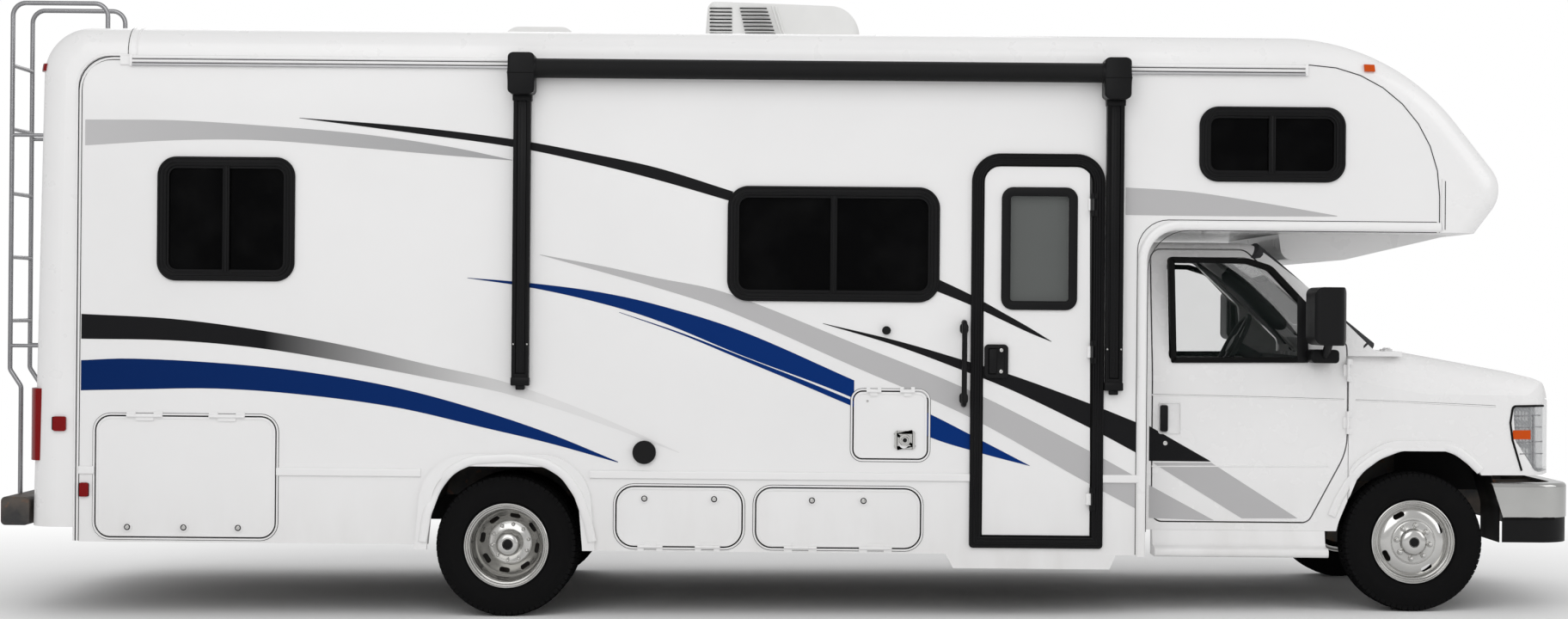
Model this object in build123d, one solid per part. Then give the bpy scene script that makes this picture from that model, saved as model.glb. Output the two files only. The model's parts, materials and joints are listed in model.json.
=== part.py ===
from build123d import *
import math
import os

os.makedirs("parts", exist_ok=True)

# The motorhome stands along X with its nose at +X, its left side at +Y and Z up from the ground.
# Everything but the wheels, knuckles and axles is drawn level and then turned nose down by RAKE.
RAKE = 0.5
REAR_AXLE_X = -1494.0
WHEELBASE = 4826.0
FRONT_AXLE_X = REAR_AXLE_X + WHEELBASE

# Clearances
DOOR_GAP = 8.0
PIN_GAP = 0.3
SEAT_GAP = 0.3

# Beyond every outline
FAR = 6000.0

# Tyres and wheels
TYRE_R = 372.0
TYRE_WIDTH = 223.0
BEAD_R = 206.0
LIP_R = 222.0
LIP_THICK = 13.0
BARREL_WALL = 10.0
BARREL_HALF = 84.0
FRONT_TYRE_Y = 876.0
REAR_OUTER_Y = 1085.0
REAR_INNER_Y = 800.0
DISC_WALL = 10.0
HUB_R = 75.0
SPINDLE_R = 30.0
HAND_HOLE_R = 24.0
NUT_CIRCLE_R = 105.0
NUT_R = 13.0
NUT_LENGTH = 28.0
REAR_DISC_Y = 960.0
REAR_FLANGE_R = 125.0
REAR_DOME_R = 62.0
REAR_DOME_Y = 1120.0
FRONT_DOME_R = 68.0
FRONT_DOME_Y = 1002.0
REAR_SLOTS = 8
FRONT_HAND_HOLES = 4
DRUM_R = 165.0

# Steering and axles
KINGPIN_Y = 740.0
KINGPIN_R = 14.0
EYE_R = 34.0
EYE_LOW_Z = 336.0
EYE_HIGH_Z = 408.0
KNUCKLE_ARM = 30.0
BEAM_END_Z = (352.0, 392.0)
BEAM_DROP = 60.0
KNUCKLE_FACE_Y = 800.0
SPINDLE_END_Y = 935.0
AXLE_TUBE_R = 58.0
AXLE_TUBE_END_Y = 640.0
DIFF_R = 165.0

# Chassis
RAIL_OUTER_Y = 432.0
RAIL_FLANGE = 64.0
RAIL_WALL = 8.0
RAIL_LOW_Z = 530.0
RAIL_HIGH_Z = 700.0
RAIL_REAR_X = -3880.0
RAIL_FRONT_X = 3960.0
CROSS_X = (-3300.0, -2300.0, -700.0, 500.0, 1900.0)
EXHAUST_CROSS_X = (-700.0, 500.0, 1900.0)
CROSS_Z = 620.0
LEAF_REAR_X = -2150.0
LEAF_FRONT_X = -838.0
LEAF_INNER_Y = 470.0
LEAF_OUTER_Y = 550.0
LEAF_EYE_Z = 570.0
COIL_Y = 520.0
COIL_R = 60.0
COIL_TURNS = 6
TOWER_Z = 640.0
ENGINE_LOW_Z = 560.0
ENGINE_HALF = 280.0
GEARBOX_END_X = 2050.0
GEARBOX_HALF = 110.0
ENGINE_LINE = [
    (3640.0, ENGINE_LOW_Z, 0.0),
    (3640.0, 1130.0, 60.0),
    (3000.0, 1130.0, 60.0),
    (2995.0, 690.0, 0.0),
    (GEARBOX_END_X, 640.0, 30.0),
    (GEARBOX_END_X, 480.0, 30.0),
    (2880.0, 480.0, 40.0),
    (2960.0, ENGINE_LOW_Z, 0.0),
]
ENGINE_PLAN = [
    (2860.0, 150.0, 40.0),
    (2990.0, ENGINE_HALF, 40.0),
    (3640.0, ENGINE_HALF, 0.0),
]
ENGINE_SEAT = (3180.0, 3260.0, 40.0)
RADIATOR = (3885.0, 3925.0, 360.0, 630.0, 1090.0)
RADIATOR_SEAT = (3860.0, 3960.0, 590.0)
SHAFT_R = 45.0
SHAFT_Z = 560.0
DIFF_NOSE_X = REAR_AXLE_X + 1.25 * DIFF_R
DIFF_NOSE_Z = TYRE_R + 30.0
TANK_SECTION = [(-330.0, 420.0, 60.0), (330.0, 420.0, 60.0)]
TANK_X = (-3560.0, -2420.0)
PIPE_R = 30.0
PIPE_BEND = 80.0
PIPE_ROUTE = [
    (2850.0, -250.0, 480.0),
    (-2150.0, -250.0, 480.0),
    (-2400.0, -550.0, 440.0),
    (-2400.0, -1180.0, 420.0),
]
MUFFLER_R = 85.0
MUFFLER_X = (300.0, 1000.0)

# House body
HOUSE_HALF = 1250.0
WALL = 50.0
REAR_FACE_X = -4000.0
REAR_TOP_X = -3957.0
ROOF_Z = 3085.0
ROOF_CORNER_R = 150.0
CAP_SEAM_X = -3726.0
CAP_ROOF_SEAM_X = -3460.0
CAP_BOTTOM_Z = 457.0
CAP_TOP_R = 255.0
SKIRT_REAR_Z = 382.0
SKIRT_Z = 357.0
STEP_DROP_Z = 282.0
STEP_DROP_X = (853.0, 812.0, 1672.0, 1705.0)
HOUSE_FRONT_X = 1844.0
BUNK_Z = 2060.0
BUNK_CORNER_R = 170.0
NOSE_BROW = (3148.0, 1156.0)
NOSE_TIP = (3775.0, 2294.0, 180.0)
NOSE_HEEL_X = 3601.0
NOSE_HEEL_R = 110.0
NOSE_SEAM_X = 3384.0
NOSE_SEAM_R = 680.0
RAIL_Z = 2903.0
RAIL_TALL = 55.0
RAIL_PROUD = 12.0
SIDE_TOP_Z = RAIL_Z + RAIL_TALL / 2
RAIL_END_X = 2681.0
BELT_Z = 756.0
BELT_TALL = 45.0
BELT_PROUD = 12.0
FLOOR_LOW_Z = 700.0
FLOOR_HIGH_Z = 760.0
BELLY_HALF = 760.0
BELLY_LINE = [(2640.0, 0.0), (2660.0, 60.0), (2990.0, 120.0), (3560.0, 0.0)]
BELLY_LOW_Z = 1922.0

# Side windows: rear x, front x, low z, high z, corner radius, divider x
WINDOWS = [
    (-3326.0, -2606.0, 1751.0, 2401.0, 100.0, -2966.0),
    (-342.0, 769.0, 1670.0, 2273.0, 110.0, 214.0),
    (2123.0, 2888.0, 2316.0, 2710.0, 100.0, 2503.0),
]
FRAME_WIDE = 47.0
FRAME_PROUD = 12.0
DIVIDER_WIDE = 34.0
PANE_THICK = 6.0
PANE_SET = 10.0
PANE_Y = HOUSE_HALF - PANE_SET

# Entry door
ENTRY_FRAME = (935.0, 1633.0, 390.0, 2454.0, 150.0)
ENTRY_FRAME_WIDE = 60.0
ENTRY_PANE = (1093.0, 1489.0, 1637.0, 2278.0, 60.0)
ENTRY_PANE_FRAME = 45.0
ENTRY_LATCH = (1010.0, 1129.0, 1281.0, 1452.0, 18.0)
LATCH_PROUD = 14.0

# Compartments: name, rear x, front x, low z, high z, corner radius, depth, hinge edge, latch x list, latch z
LOCKERS = [
    ("trunk_door", -3636.0, -2700.0, 412.0, 1038.0, 75.0, 740.0, "top", (-3470.0, -3175.0, -2890.0), 460.0),
    ("rear_locker_door", -909.0, -257.0, 385.0, 691.0, 90.0, 600.0, "bottom", (-765.0, -400.0), 632.0),
    ("front_locker_door", -178.0, 677.0, 386.0, 690.0, 80.0, 600.0, "bottom", (112.0, 382.0), 630.0),
    ("utility_door", 328.0, 710.0, 854.0, 1200.0, 45.0, 300.0, "top", (590.0,), 930.0),
]
LEAF_THICK = 30.0
BOX_WALL = 8.0
BOX_DEEPER = 20.0
LATCH_R = 24.0
LATCH_LIP = 6.0
HINGE_R = 8.0
HINGE_LONG = 60.0
HINGE_TAB = 24.0
HOOD_HINGE_Y = 620.0
DOOR_HINGE_SINK = 28.0
HINGE_SINK = 6.0
LEAF_SHY = 5.0

# Wheel arch of the house
ARCH_HALF_TOP = 370.0
ARCH_HALF_LOW = 420.0
ARCH_TOP_Z = 794.0
ARCH_WIDE = 65.0
ARCH_R = 200.0
ARCH_PROUD = 20.0
WELL_INNER_Y = 640.0
WELL_WALL = 12.0
WELL_LOW_Z = 600.0

# Cab
CAB_HALF = 1000.0
CAB_WALL = 60.0
CLIP_WALL = 22.0
CAB_REAR_X = 1850.0
CAB_LOW_Z = 471.0
CAB_ROOF_Z = 2009.0
CAB_WAIST_Z = 1300.0
CAB_TUMBLE = 130.0
CAB_ROOF_R = 90.0
WINDSHIELD_TOP = (2470.0, 2009.0, 150.0)
WINDSHIELD_MID = (2790.0, 1757.0, 1500.0)
WINDSHIELD_LOW = (3118.0, 1432.0, 60.0)
HOOD_BACK = (3300.0, 1431.0, 300.0)
HOOD_MID = (3807.0, 1338.0, 1500.0)
HOOD_FRONT = (4075.0, 1272.0, 190.0)
CLIP_FRONT = (4118.0, 1150.0, 60.0)
CLIP_LOW = (4128.0, 775.0)
HOOD_REAR_HALF = 868.0
HOOD_FRONT_HALF = 800.0
HOOD_EDGE_Z = 1182.0
HOOD_HINGE_X = 3262.0
FIREWALL_X = 2985.0
FLOOR_TOP_Z = 740.0
DOOR_OUTLINE = [
    (1922.0, 511.0, 60.0),
    (1922.0, 1975.0, 60.0),
    (2435.0, 1975.0, 80.0),
    (2972.0, 1470.0, 60.0),
    (2972.0, 900.0, 350.0),
    (2765.0, 511.0, 60.0),
]
DOOR_PANE = [
    (2014.0, 1375.0, 30.0),
    (2014.0, 1930.0, 50.0),
    (2445.0, 1930.0, 50.0),
    (2725.0, 1672.0, 40.0),
    (2748.0, 1375.0, 30.0),
]
DOOR_HINGE_Z = (1050.0, 1330.0)
DOOR_FRONT_X = DOOR_OUTLINE[3][0]
DOOR_REACH = 815.0
COWL_Z = 1405.0
HOOD_FALL = 0.1775
PANE_DEEP = 24.0
WINDSHIELD_DEEP = 8.0
WINDSHIELD_HALF = (CAB_HALF - 200.0, CAB_HALF - 285.0)
WINDSHIELD_Z = (1490.0, 1935.0)
ARCH_LIP = 55.0
ARCH_LIP_PROUD = 12.0
ARCH_LINE = [
    (2860.0, 250.0, 0.0),
    (2925.0, 520.0, 300.0),
    (3040.0, 800.0, 180.0),
    (3200.0, 902.0, 170.0),
    (3560.0, 902.0, 170.0),
    (3690.0, 780.0, 60.0),
    (3720.0, 600.0, 0.0),
    (3720.0, 250.0, 0.0),
]
LINER_LINE = ARCH_LINE[:4] + [
    (3580.0, 902.0, 170.0),
    (3720.0, 790.0, 60.0),
    (3775.0, 600.0, 60.0),
    (3775.0, 250.0, 0.0),
]
PILLAR_DEEP = 58.0
PILLAR_Y = (860.0, 955.0)
PILLAR_RISE = 40.0
LINER_THICK = 6.0
LINER_INNER_Y = 560.0
LINER_OFFSET = 30.0

# Front end
LAMP_LINE = [
    (3860.0, 1150.0, 30.0),
    (4200.0, 1150.0, 0.0),
    (4200.0, 792.0, 0.0),
    (3990.0, 792.0, 40.0),
    (3875.0, 960.0, 60.0),
]
LAMP_INNER_Y = 500.0
LAMP_EDGE = 14.0
GRILLE_HALF = 470.0
GRILLE_LOW_Z = 806.0
GRILLE_HIGH_Z = 1125.0
GRILLE_RIM = 32.0
GRILLE_BARS = 4
GRILLE_BAR = 26.0
GRILLE_SLATS = 14
GRILLE_SLAT = 8.0
BUMPER_LINE = [
    (3700.0, 1005.0, 0.0),
    (4186.0, 1005.0, 200.0),
    (4202.0, 260.0, 500.0),
]
BUMPER_LOW_Z = 552.0
BUMPER_HIGH_Z = 735.0
BUMPER_WALL = 10.0
BUMPER_FLANGE = 90.0
BUMPER_TOP_R = 22.0
BUMPER_REAR_LOW_X = 3802.0
BUMPER_REAR_HIGH_X = 3742.0
VALANCE_LOW_Z = 419.0
VALANCE_INSET = 6.0
VALANCE_REAR_X = 3800.0
STEP_BOARD = (1930.0, 2850.0, 337.0, 440.0)
STEP_BOARD_DEEP = 170.0

# Mirrors
MIRROR = (2705.0, 2893.0, 1150.0, 1420.0, 1465.0, 1768.0)
MIRROR_R = 45.0
MIRROR_ARM_Z = 1400.0
MIRROR_ARM_X = (MIRROR[0] + MIRROR[1]) / 2
MIRROR_SEAT = 40.0
MIRROR_ARM_R = 22.0

# Roof units: rear x, front x, half width
COOLER = (-503.0, 372.0, 350.0)
COOLER_TOP_Z = 3349.0
DOME_VENT = (-1654.0, -1217.0, 216.0, 3213.0)
LOW_VENT = (1921.0, 2166.0, 180.0, 3125.0)
ROOF_TOP_Z = 3086.0

# Awning
AWNING_X = (-1418.0, 1681.0)
AWNING_SEAT = 0.3
AWNING_ROLL_Z = 2873.0
AWNING_ROLL_R = 51.0
AWNING_ROLL_Y = -HOUSE_HALF - 72.0
AWNING_ARM_WIDE = 90.0
AWNING_ARM_DEEP = 46.0
AWNING_CHANNEL_WALL = 14.0
AWNING_ARM_LOW_Z = 1220.0
AWNING_HEAD = (139.0, 2737.0, 2950.0, 120.0)

# Ladder
LADDER_Y = (-900.0, -550.0)
LADDER_R = 12.5
RUNG_R = 11.0
STANDOFF_R = 10.0
LADDER_X = -4200.3
LADDER_LOW_X = -4140.0
LADDER_JOG_Z = (1180.0, 1270.0)
LADDER_TOP_Z = 3240.0
LADDER_ROOF_X = -3690.0
LADDER_BEND_R = 70.0
RUNG_Z = (2904.0, 2562.0, 2216.0, 1874.0, 1532.0)
STANDOFF_Z = (2530.0, 1398.0)

# Rear bumper and hitch
REAR_BUMPER = (-4165.0, REAR_FACE_X - 16.0, 455.0, 605.0)
REAR_BUMPER_HALF = HOUSE_HALF - 100.0
REAR_BUMPER_R = 25.0
HITCH_OUTER = 63.5
HITCH_INNER = 50.8
HITCH_Z = 400.0
HITCH_REAR_X = -4190.0
HITCH_FRONT_X = -3850.0
HITCH_PIN_R = 8.0
HITCH_PIN_X = HITCH_REAR_X + 64.0

# Lamps: rear x, front x, low z, high z
SIDE_REDS = [
    (-3862.0, -3794.0, 959.0, 1036.0),
    (-3720.0, -3674.0, 617.0, 691.0),
]
LAMP_PROUD = 14.0
LAMP_DEEP = 80.0
TAIL_FROM_SIDE = (230.0, 35.0)
TAIL_Z = (802.0, 1180.0)
LAMP_ROW_INSET = 110.0
LAMP_ROW_PITCH = 220.0
ROW_LAMP_LONG = 90.0
ROW_LAMP_TALL = 38.0
ROW_LAMP_DEEP = 56.0
HIGH_LAMP_Z = 2888.0
BROW_LAMP_X = 2985.0
BROW_LAMP_Z = 2900.0
BROW_TOP_Z = 2960.0

# Fittings on the door side: x, z, radius, and a grab handle's x and ends
FILLER = (-768.0, 874.0, 61.0)
KNOB = (494.0, 1523.0, 22.0)
GRAB = (900.0, 1139.0, 1568.0)

# Steering wheel
WHEEL_X = 2614.0
WHEEL_Y = 450.0
WHEEL_Z = 1445.0
WHEEL_R = 190.0
WHEEL_LEAN = 0.5


def rounded_wire(corners, place):
    """Closed outline through corners (u, v, radius), with each round corner as one arc."""
    starts = []
    middles = []
    ends = []
    for index, (u, v, radius) in enumerate(corners):
        before = corners[index - 1]
        after = corners[(index + 1) % len(corners)]
        to_before = (before[0] - u, before[1] - v)
        to_after = (after[0] - u, after[1] - v)
        length_before = math.hypot(*to_before)
        length_after = math.hypot(*to_after)
        a = (to_before[0] / length_before, to_before[1] / length_before)
        b = (to_after[0] / length_after, to_after[1] / length_after)
        if radius == 0:
            starts.append((u, v))
            middles.append(None)
            ends.append((u, v))
            continue
        half = math.acos(a[0] * b[0] + a[1] * b[1]) / 2
        run = radius / math.tan(half)
        rise = radius / math.sin(half) - radius
        bisector = (a[0] + b[0], a[1] + b[1])
        size = math.hypot(*bisector)
        starts.append((u + a[0] * run, v + a[1] * run))
        middles.append((u + bisector[0] / size * rise, v + bisector[1] / size * rise))
        ends.append((u + b[0] * run, v + b[1] * run))
    edges = []
    for index, middle in enumerate(middles):
        if middle is not None:
            edges.append(ThreePointArc(place(*starts[index]), place(*middle), place(*ends[index])))
        following = starts[(index + 1) % len(starts)]
        edges.append(Line(place(*ends[index]), place(*following)))
    return Wire(edges)


def grown(face, grow):
    """The same flat face, larger or smaller all round."""
    if grow == 0:
        return face
    return offset(face, amount=grow)


def side_prism(corners, y_low, y_high, grow=0):
    """Outline seen from the side, carried across from y_low to y_high."""
    face = grown(Face(rounded_wire(corners, lambda x, z: (x, y_low, z))), grow)
    return extrude(face, amount=y_high - y_low, dir=(0, 1, 0))


def plan_prism(corners, z_low, z_high, grow=0):
    """Outline seen from above, carried up from z_low to z_high."""
    face = grown(Face(rounded_wire(corners, lambda x, y: (x, y, z_low))), grow)
    return extrude(face, amount=z_high - z_low, dir=(0, 0, 1))


def section_prism(corners, x_low, x_high, grow=0, fall=0):
    """Outline seen from the front, carried from x_low to x_high while it falls by a slope."""
    face = grown(Face(rounded_wire(corners, lambda y, z: (x_low, y, z))), grow)
    run = x_high - x_low
    return extrude(face, amount=run * math.hypot(1, fall), dir=(1, 0, -fall))


def block(x_low, x_high, y_low, y_high, z_low, z_high):
    """A plain block between its limits."""
    centre = ((x_low + x_high) / 2, (y_low + y_high) / 2, (z_low + z_high) / 2)
    return Pos(*centre) * Box(abs(x_high - x_low), abs(y_high - y_low), abs(z_high - z_low))


def span(side, near, far):
    """Low and high y of a stretch between two distances from the middle, on one side."""
    return sorted((side * near, side * far))


def frame_corners(x_low, x_high, z_low, z_high, radius, foot=None):
    """Rectangle with round corners; foot is the radius of the two lower ones."""
    low = radius if foot is None else foot
    return [
        (x_low, z_low, low),
        (x_low, z_high, radius),
        (x_high, z_high, radius),
        (x_high, z_low, low),
    ]


def corner_waste(before, corner, after, radius):
    """What rounding a sharp corner of a side outline takes away, right across the body."""
    to_before = (before[0] - corner[0], before[1] - corner[1])
    to_after = (after[0] - corner[0], after[1] - corner[1])
    a = [part / math.hypot(*to_before) for part in to_before]
    b = [part / math.hypot(*to_after) for part in to_after]
    half = math.acos(a[0] * b[0] + a[1] * b[1]) / 2
    run = radius / math.tan(half)
    reach = radius / math.sin(half) / math.hypot(a[0] + b[0], a[1] + b[1])
    centre_x = corner[0] + (a[0] + b[0]) * reach
    centre_z = corner[1] + (a[1] + b[1]) * reach
    start = (corner[0] + a[0] * run, corner[1] + a[1] * run, 0)
    end = (corner[0] + b[0] * run, corner[1] + b[1] * run, 0)
    wedge = side_prism([start, (corner[0], corner[1], 0), end], -FAR, FAR)
    return wedge - rod((centre_x, -FAR, centre_z), (centre_x, FAR, centre_z), radius)


def mirrored(corners):
    """A plan or front outline finished on the other side of the middle."""
    other = [(u, -v, radius) for u, v, radius in reversed(corners)]
    return other + list(corners)


def turned(corners, axle_x, side):
    """Profile of (distance from the middle, radius, corner radius) turned about an axle."""
    wire = rounded_wire(corners, lambda y, r: (axle_x, side * y, TYRE_R + r))
    return revolve(Face(wire), axis=Axis((axle_x, 0, TYRE_R), (0, 1, 0)))


def rod(start, end, radius):
    """Round bar between two points."""
    path = Line(start, end)
    return extrude(Plane(origin=start, z_dir=path % 0) * Circle(radius), amount=path.length)


def tube(points, bends, radius):
    """Round tube along straight runs joined by tangent arcs."""
    path = FilletPolyline(*points, radius=bends)
    return sweep(Plane(origin=path @ 0, z_dir=path % 0) * Circle(radius), path=path)


def disc_pattern(count, ring_r, axle_x, y, turn=0):
    """Places on a ring round an axle."""
    for index in range(count):
        angle = math.radians(turn + 360 * index / count)
        yield (axle_x + ring_r * math.sin(angle), y, TYRE_R + ring_r * math.cos(angle))


def raked(shape):
    """Turn a level shape nose down about the rear axle."""
    return shape.rotate(Axis((REAR_AXLE_X, 0, TYRE_R), (0, 1, 0)), RAKE)


def raked_z(x, z):
    """Height above the ground of a level point once the body is turned."""
    angle = math.radians(RAKE)
    return TYRE_R + (z - TYRE_R) * math.cos(angle) - (x - REAR_AXLE_X) * math.sin(angle)


def write(name, shapes, level=True):
    """Write one piece's solids to its file."""
    solids = []
    for shape in shapes:
        placed = raked(shape) if level else shape
        solids.extend(placed.solids())
    whole = solids[0] if len(solids) == 1 else Compound(solids)
    export_step(whole, f"parts/{name}.step")


# House envelope, its panels and where they part

def house_corners():
    """Side outline of the house, from the rear foot over the roof to the skirt."""
    return [
        (REAR_FACE_X, CAP_BOTTOM_Z, 0),
        (REAR_TOP_X, ROOF_Z, CAP_TOP_R),
        (NOSE_BROW[0], ROOF_Z, NOSE_BROW[1]),
        NOSE_TIP,
        (NOSE_HEEL_X, BUNK_Z, 0),
        (HOUSE_FRONT_X, BUNK_Z, BUNK_CORNER_R),
        (HOUSE_FRONT_X, SKIRT_Z, 0),
        (STEP_DROP_X[3], SKIRT_Z, 0),
        (STEP_DROP_X[2], STEP_DROP_Z, 0),
        (STEP_DROP_X[0], STEP_DROP_Z, 0),
        (STEP_DROP_X[1], SKIRT_Z, 0),
        (REAR_AXLE_X, SKIRT_Z, 0),
        (REAR_AXLE_X, SKIRT_REAR_Z, 0),
        (CAP_SEAM_X, SKIRT_REAR_Z, 0),
        (CAP_SEAM_X, CAP_BOTTOM_Z, 0),
    ]


def round_house_edges(body, half, radius):
    """Round the long edges where the sides meet the roof, the rear and the nose."""
    edges = []
    for edge in body.edges():
        middle = edge.center()
        on_side = abs(abs(middle.Y) - half) < 1 and edge.length > 1
        along_top = middle.Z > NOSE_TIP[1] - 60
        along_back = middle.X < REAR_TOP_X + WALL + 10 and middle.Z > CAP_BOTTOM_Z + 100
        on_nose = middle.X > NOSE_HEEL_X and middle.Z > BUNK_Z + 20
        if on_side and (along_top or along_back or on_nose):
            edges.append(edge)
    return fillet(edges, radius)


def house_envelope(wall):
    """The house's outer form, or the same form lying deeper by a wall."""
    corners = house_corners()
    half = HOUSE_HALF - wall
    body = side_prism(corners, -half, half, grow=-wall)
    if wall:
        low = block(REAR_FACE_X + wall, HOUSE_FRONT_X - wall, -half, half, 0, BUNK_Z - BUNK_CORNER_R)
        body = body + low
    return round_house_edges(body, half, ROOF_CORNER_R - wall)


def arch_corners():
    """Side outline of the rear wheel opening."""
    low_z = SKIRT_Z - 150
    return [
        (REAR_AXLE_X - ARCH_HALF_LOW, low_z, 0),
        (REAR_AXLE_X - ARCH_HALF_TOP, ARCH_TOP_Z, ARCH_R),
        (REAR_AXLE_X + ARCH_HALF_TOP, ARCH_TOP_Z, ARCH_R),
        (REAR_AXLE_X + ARCH_HALF_LOW, low_z, 0),
    ]


heel_waste = corner_waste(NOSE_TIP, (NOSE_HEEL_X, BUNK_Z), (HOUSE_FRONT_X, BUNK_Z), NOSE_HEEL_R)
house_outer = house_envelope(0) - heel_waste
house_inner = house_envelope(WALL)
house_shell = house_outer - house_inner

rear_region = side_prism(
    [
        (-FAR, 0, 0),
        (CAP_SEAM_X, 0, 0),
        (CAP_SEAM_X, SIDE_TOP_Z, BUNK_CORNER_R),
        (CAP_ROOF_SEAM_X, SIDE_TOP_Z, 0),
        (CAP_ROOF_SEAM_X, FAR, 0),
        (-FAR, FAR, 0),
    ],
    -FAR,
    FAR,
)
nose_region = side_prism(
    [
        (NOSE_SEAM_X, BUNK_Z - 100, 0),
        (NOSE_SEAM_X, SIDE_TOP_Z, NOSE_SEAM_R),
        (RAIL_END_X, SIDE_TOP_Z, 0),
        (RAIL_END_X, FAR, 0),
        (FAR, FAR, 0),
        (FAR, BUNK_Z - 100, 0),
    ],
    -FAR,
    FAR,
)
rear_cap = house_shell & rear_region
nose_skin = house_shell & nose_region
between = house_shell - rear_region - nose_region
roof = between & block(-FAR, FAR, -FAR, FAR, SIDE_TOP_Z, FAR)
below_roof = between & block(-FAR, FAR, -FAR, FAR, 0, SIDE_TOP_Z)
inside_walls = HOUSE_HALF - WALL
front_floor = below_roof & block(-FAR, FAR, -inside_walls, inside_walls, 0, FAR)

# The roof skin rises a little to its middle
crown_half = HOUSE_HALF - ROOF_CORNER_R - 20
crown = section_prism(
    [
        (-crown_half, ROOF_Z - 10, 0),
        (-crown_half, ROOF_Z + 1, 0),
        (0, ROOF_Z + 32, 15000),
        (crown_half, ROOF_Z + 1, 0),
        (crown_half, ROOF_Z - 10, 0),
    ],
    CAP_ROOF_SEAM_X + 5,
    RAIL_END_X - 60,
)
write("roof", [roof + crown])

# The front wall is open between the cab and the house
walk_through = block(HOUSE_FRONT_X - WALL - 5, HOUSE_FRONT_X + 5, -750, 750, FLOOR_HIGH_Z, 1900)
front_floor = front_floor - walk_through
front_floor = front_floor - block(HOUSE_FRONT_X - WALL - 5, HOUSE_FRONT_X + 5, -750, 750, 0, FLOOR_LOW_Z)
belly_heights = (BUNK_Z, BELLY_LOW_Z, BELLY_LOW_Z, BUNK_Z)
belly_corners = [(x, z, radius) for (x, radius), z in zip(BELLY_LINE, belly_heights)]
belly = side_prism(belly_corners, -BELLY_HALF, BELLY_HALF)

frames = []
panes = []
mouldings = []
walls = {}
for side in (-1, 1):
    y_low, y_high = span(side, inside_walls, HOUSE_HALF + 100)
    wall = below_roof & block(-FAR, FAR, y_low, y_high, 0, FAR)
    wall = wall - side_prism(arch_corners(), y_low, y_high)
    frame_y = span(side, inside_walls, HOUSE_HALF + FRAME_PROUD)
    for x_low, x_high, z_low, z_high, radius, divider in WINDOWS:
        corners = frame_corners(x_low, x_high, z_low, z_high, radius)
        wall = wall - side_prism(corners, y_low, y_high)
        hole = side_prism(corners, *frame_y, grow=-FRAME_WIDE)
        frame = side_prism(corners, *frame_y) - hole
        bar_y = span(side, PANE_Y, HOUSE_HALF + FRAME_PROUD)
        bar = block(divider - DIVIDER_WIDE / 2, divider + DIVIDER_WIDE / 2, *bar_y, z_low, z_high)
        frames.append(frame + (bar & hole))
        panes.append(side_prism(corners, *span(side, PANE_Y - PANE_THICK, PANE_Y), grow=-FRAME_WIDE))
    walls[side] = wall

# Right side: entry door, compartments
x_low, x_high, z_low, z_high, radius = ENTRY_FRAME
entry = frame_corners(x_low, x_high, z_low, z_high, radius, foot=20)
wall_y = (-HOUSE_HALF - 50, -inside_walls)
walls[-1] = walls[-1] - side_prism(entry, *wall_y)
entry_y = (-HOUSE_HALF - FRAME_PROUD, -inside_walls)
entry_ring = side_prism(entry, *entry_y) - side_prism(entry, *entry_y, grow=-ENTRY_FRAME_WIDE)
leaf_inset = ENTRY_FRAME_WIDE + DOOR_GAP
leaf_y = (-HOUSE_HALF, -inside_walls - LEAF_SHY)
entry_leaf = side_prism(entry, *leaf_y, grow=-leaf_inset)
pane_corners = frame_corners(*ENTRY_PANE)
entry_leaf = entry_leaf - side_prism(pane_corners, *wall_y)
pane_ring_y = (-HOUSE_HALF - LATCH_PROUD / 2, -inside_walls - LEAF_SHY)
pane_ring = side_prism(pane_corners, *pane_ring_y)
pane_ring = pane_ring - side_prism(pane_corners, *pane_ring_y, grow=-ENTRY_PANE_FRAME)
latch = side_prism(frame_corners(*ENTRY_LATCH), -HOUSE_HALF - LATCH_PROUD, -HOUSE_HALF)


def barrel(start, end, y):
    """One knuckle of a hinge that lies along a panel's outer face."""
    return rod((start[0], y, start[1]), (end[0], y, end[1]), HINGE_R)


def upright_hinge(x, z, fixed_y, moving_y, toward_fixed, sink=0):
    """Fixed and moving knuckles of an upright hinge that stands on two faces beside a gap."""
    side = math.copysign(1, fixed_y)
    y = fixed_y + side * (HINGE_R + PIN_GAP)
    half = HINGE_LONG / 2
    fixed = []
    for step in (-1, 1):
        low, high = sorted((z + step * (half + PIN_GAP), z + step * (2 * half + PIN_GAP)))
        tab_x = sorted((x, x + toward_fixed * HINGE_TAB))
        tab = block(*tab_x, *sorted((fixed_y - side * sink, y)), low, high)
        fixed.append(barrel((x, low), (x, high), y) + tab)
    tab_x = sorted((x, x - toward_fixed * HINGE_TAB))
    tab = block(*tab_x, *sorted((moving_y - side * sink, y)), z - half, z + half)
    moving = barrel((x, z - half), (x, z + half), y) + tab
    return fixed, moving


entry_hinge_x = x_high - ENTRY_FRAME_WIDE - DOOR_GAP / 2
entry_fixed = entry_ring
for z in (650, 1420, 2190):
    fixed, moving = upright_hinge(entry_hinge_x, z, -HOUSE_HALF - FRAME_PROUD, -HOUSE_HALF, 1)
    entry_fixed = entry_fixed + fixed[0] + fixed[1]
    entry_leaf = entry_leaf + moving
frames.append(entry_fixed)
write("entry_door", [entry_leaf + latch + pane_ring])
entry_glass_y = (-HOUSE_HALF + 20, -HOUSE_HALF + 20 + PANE_THICK)
write("entry_door_glass", [side_prism(pane_corners, *entry_glass_y, grow=-ENTRY_PANE_FRAME)])

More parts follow.
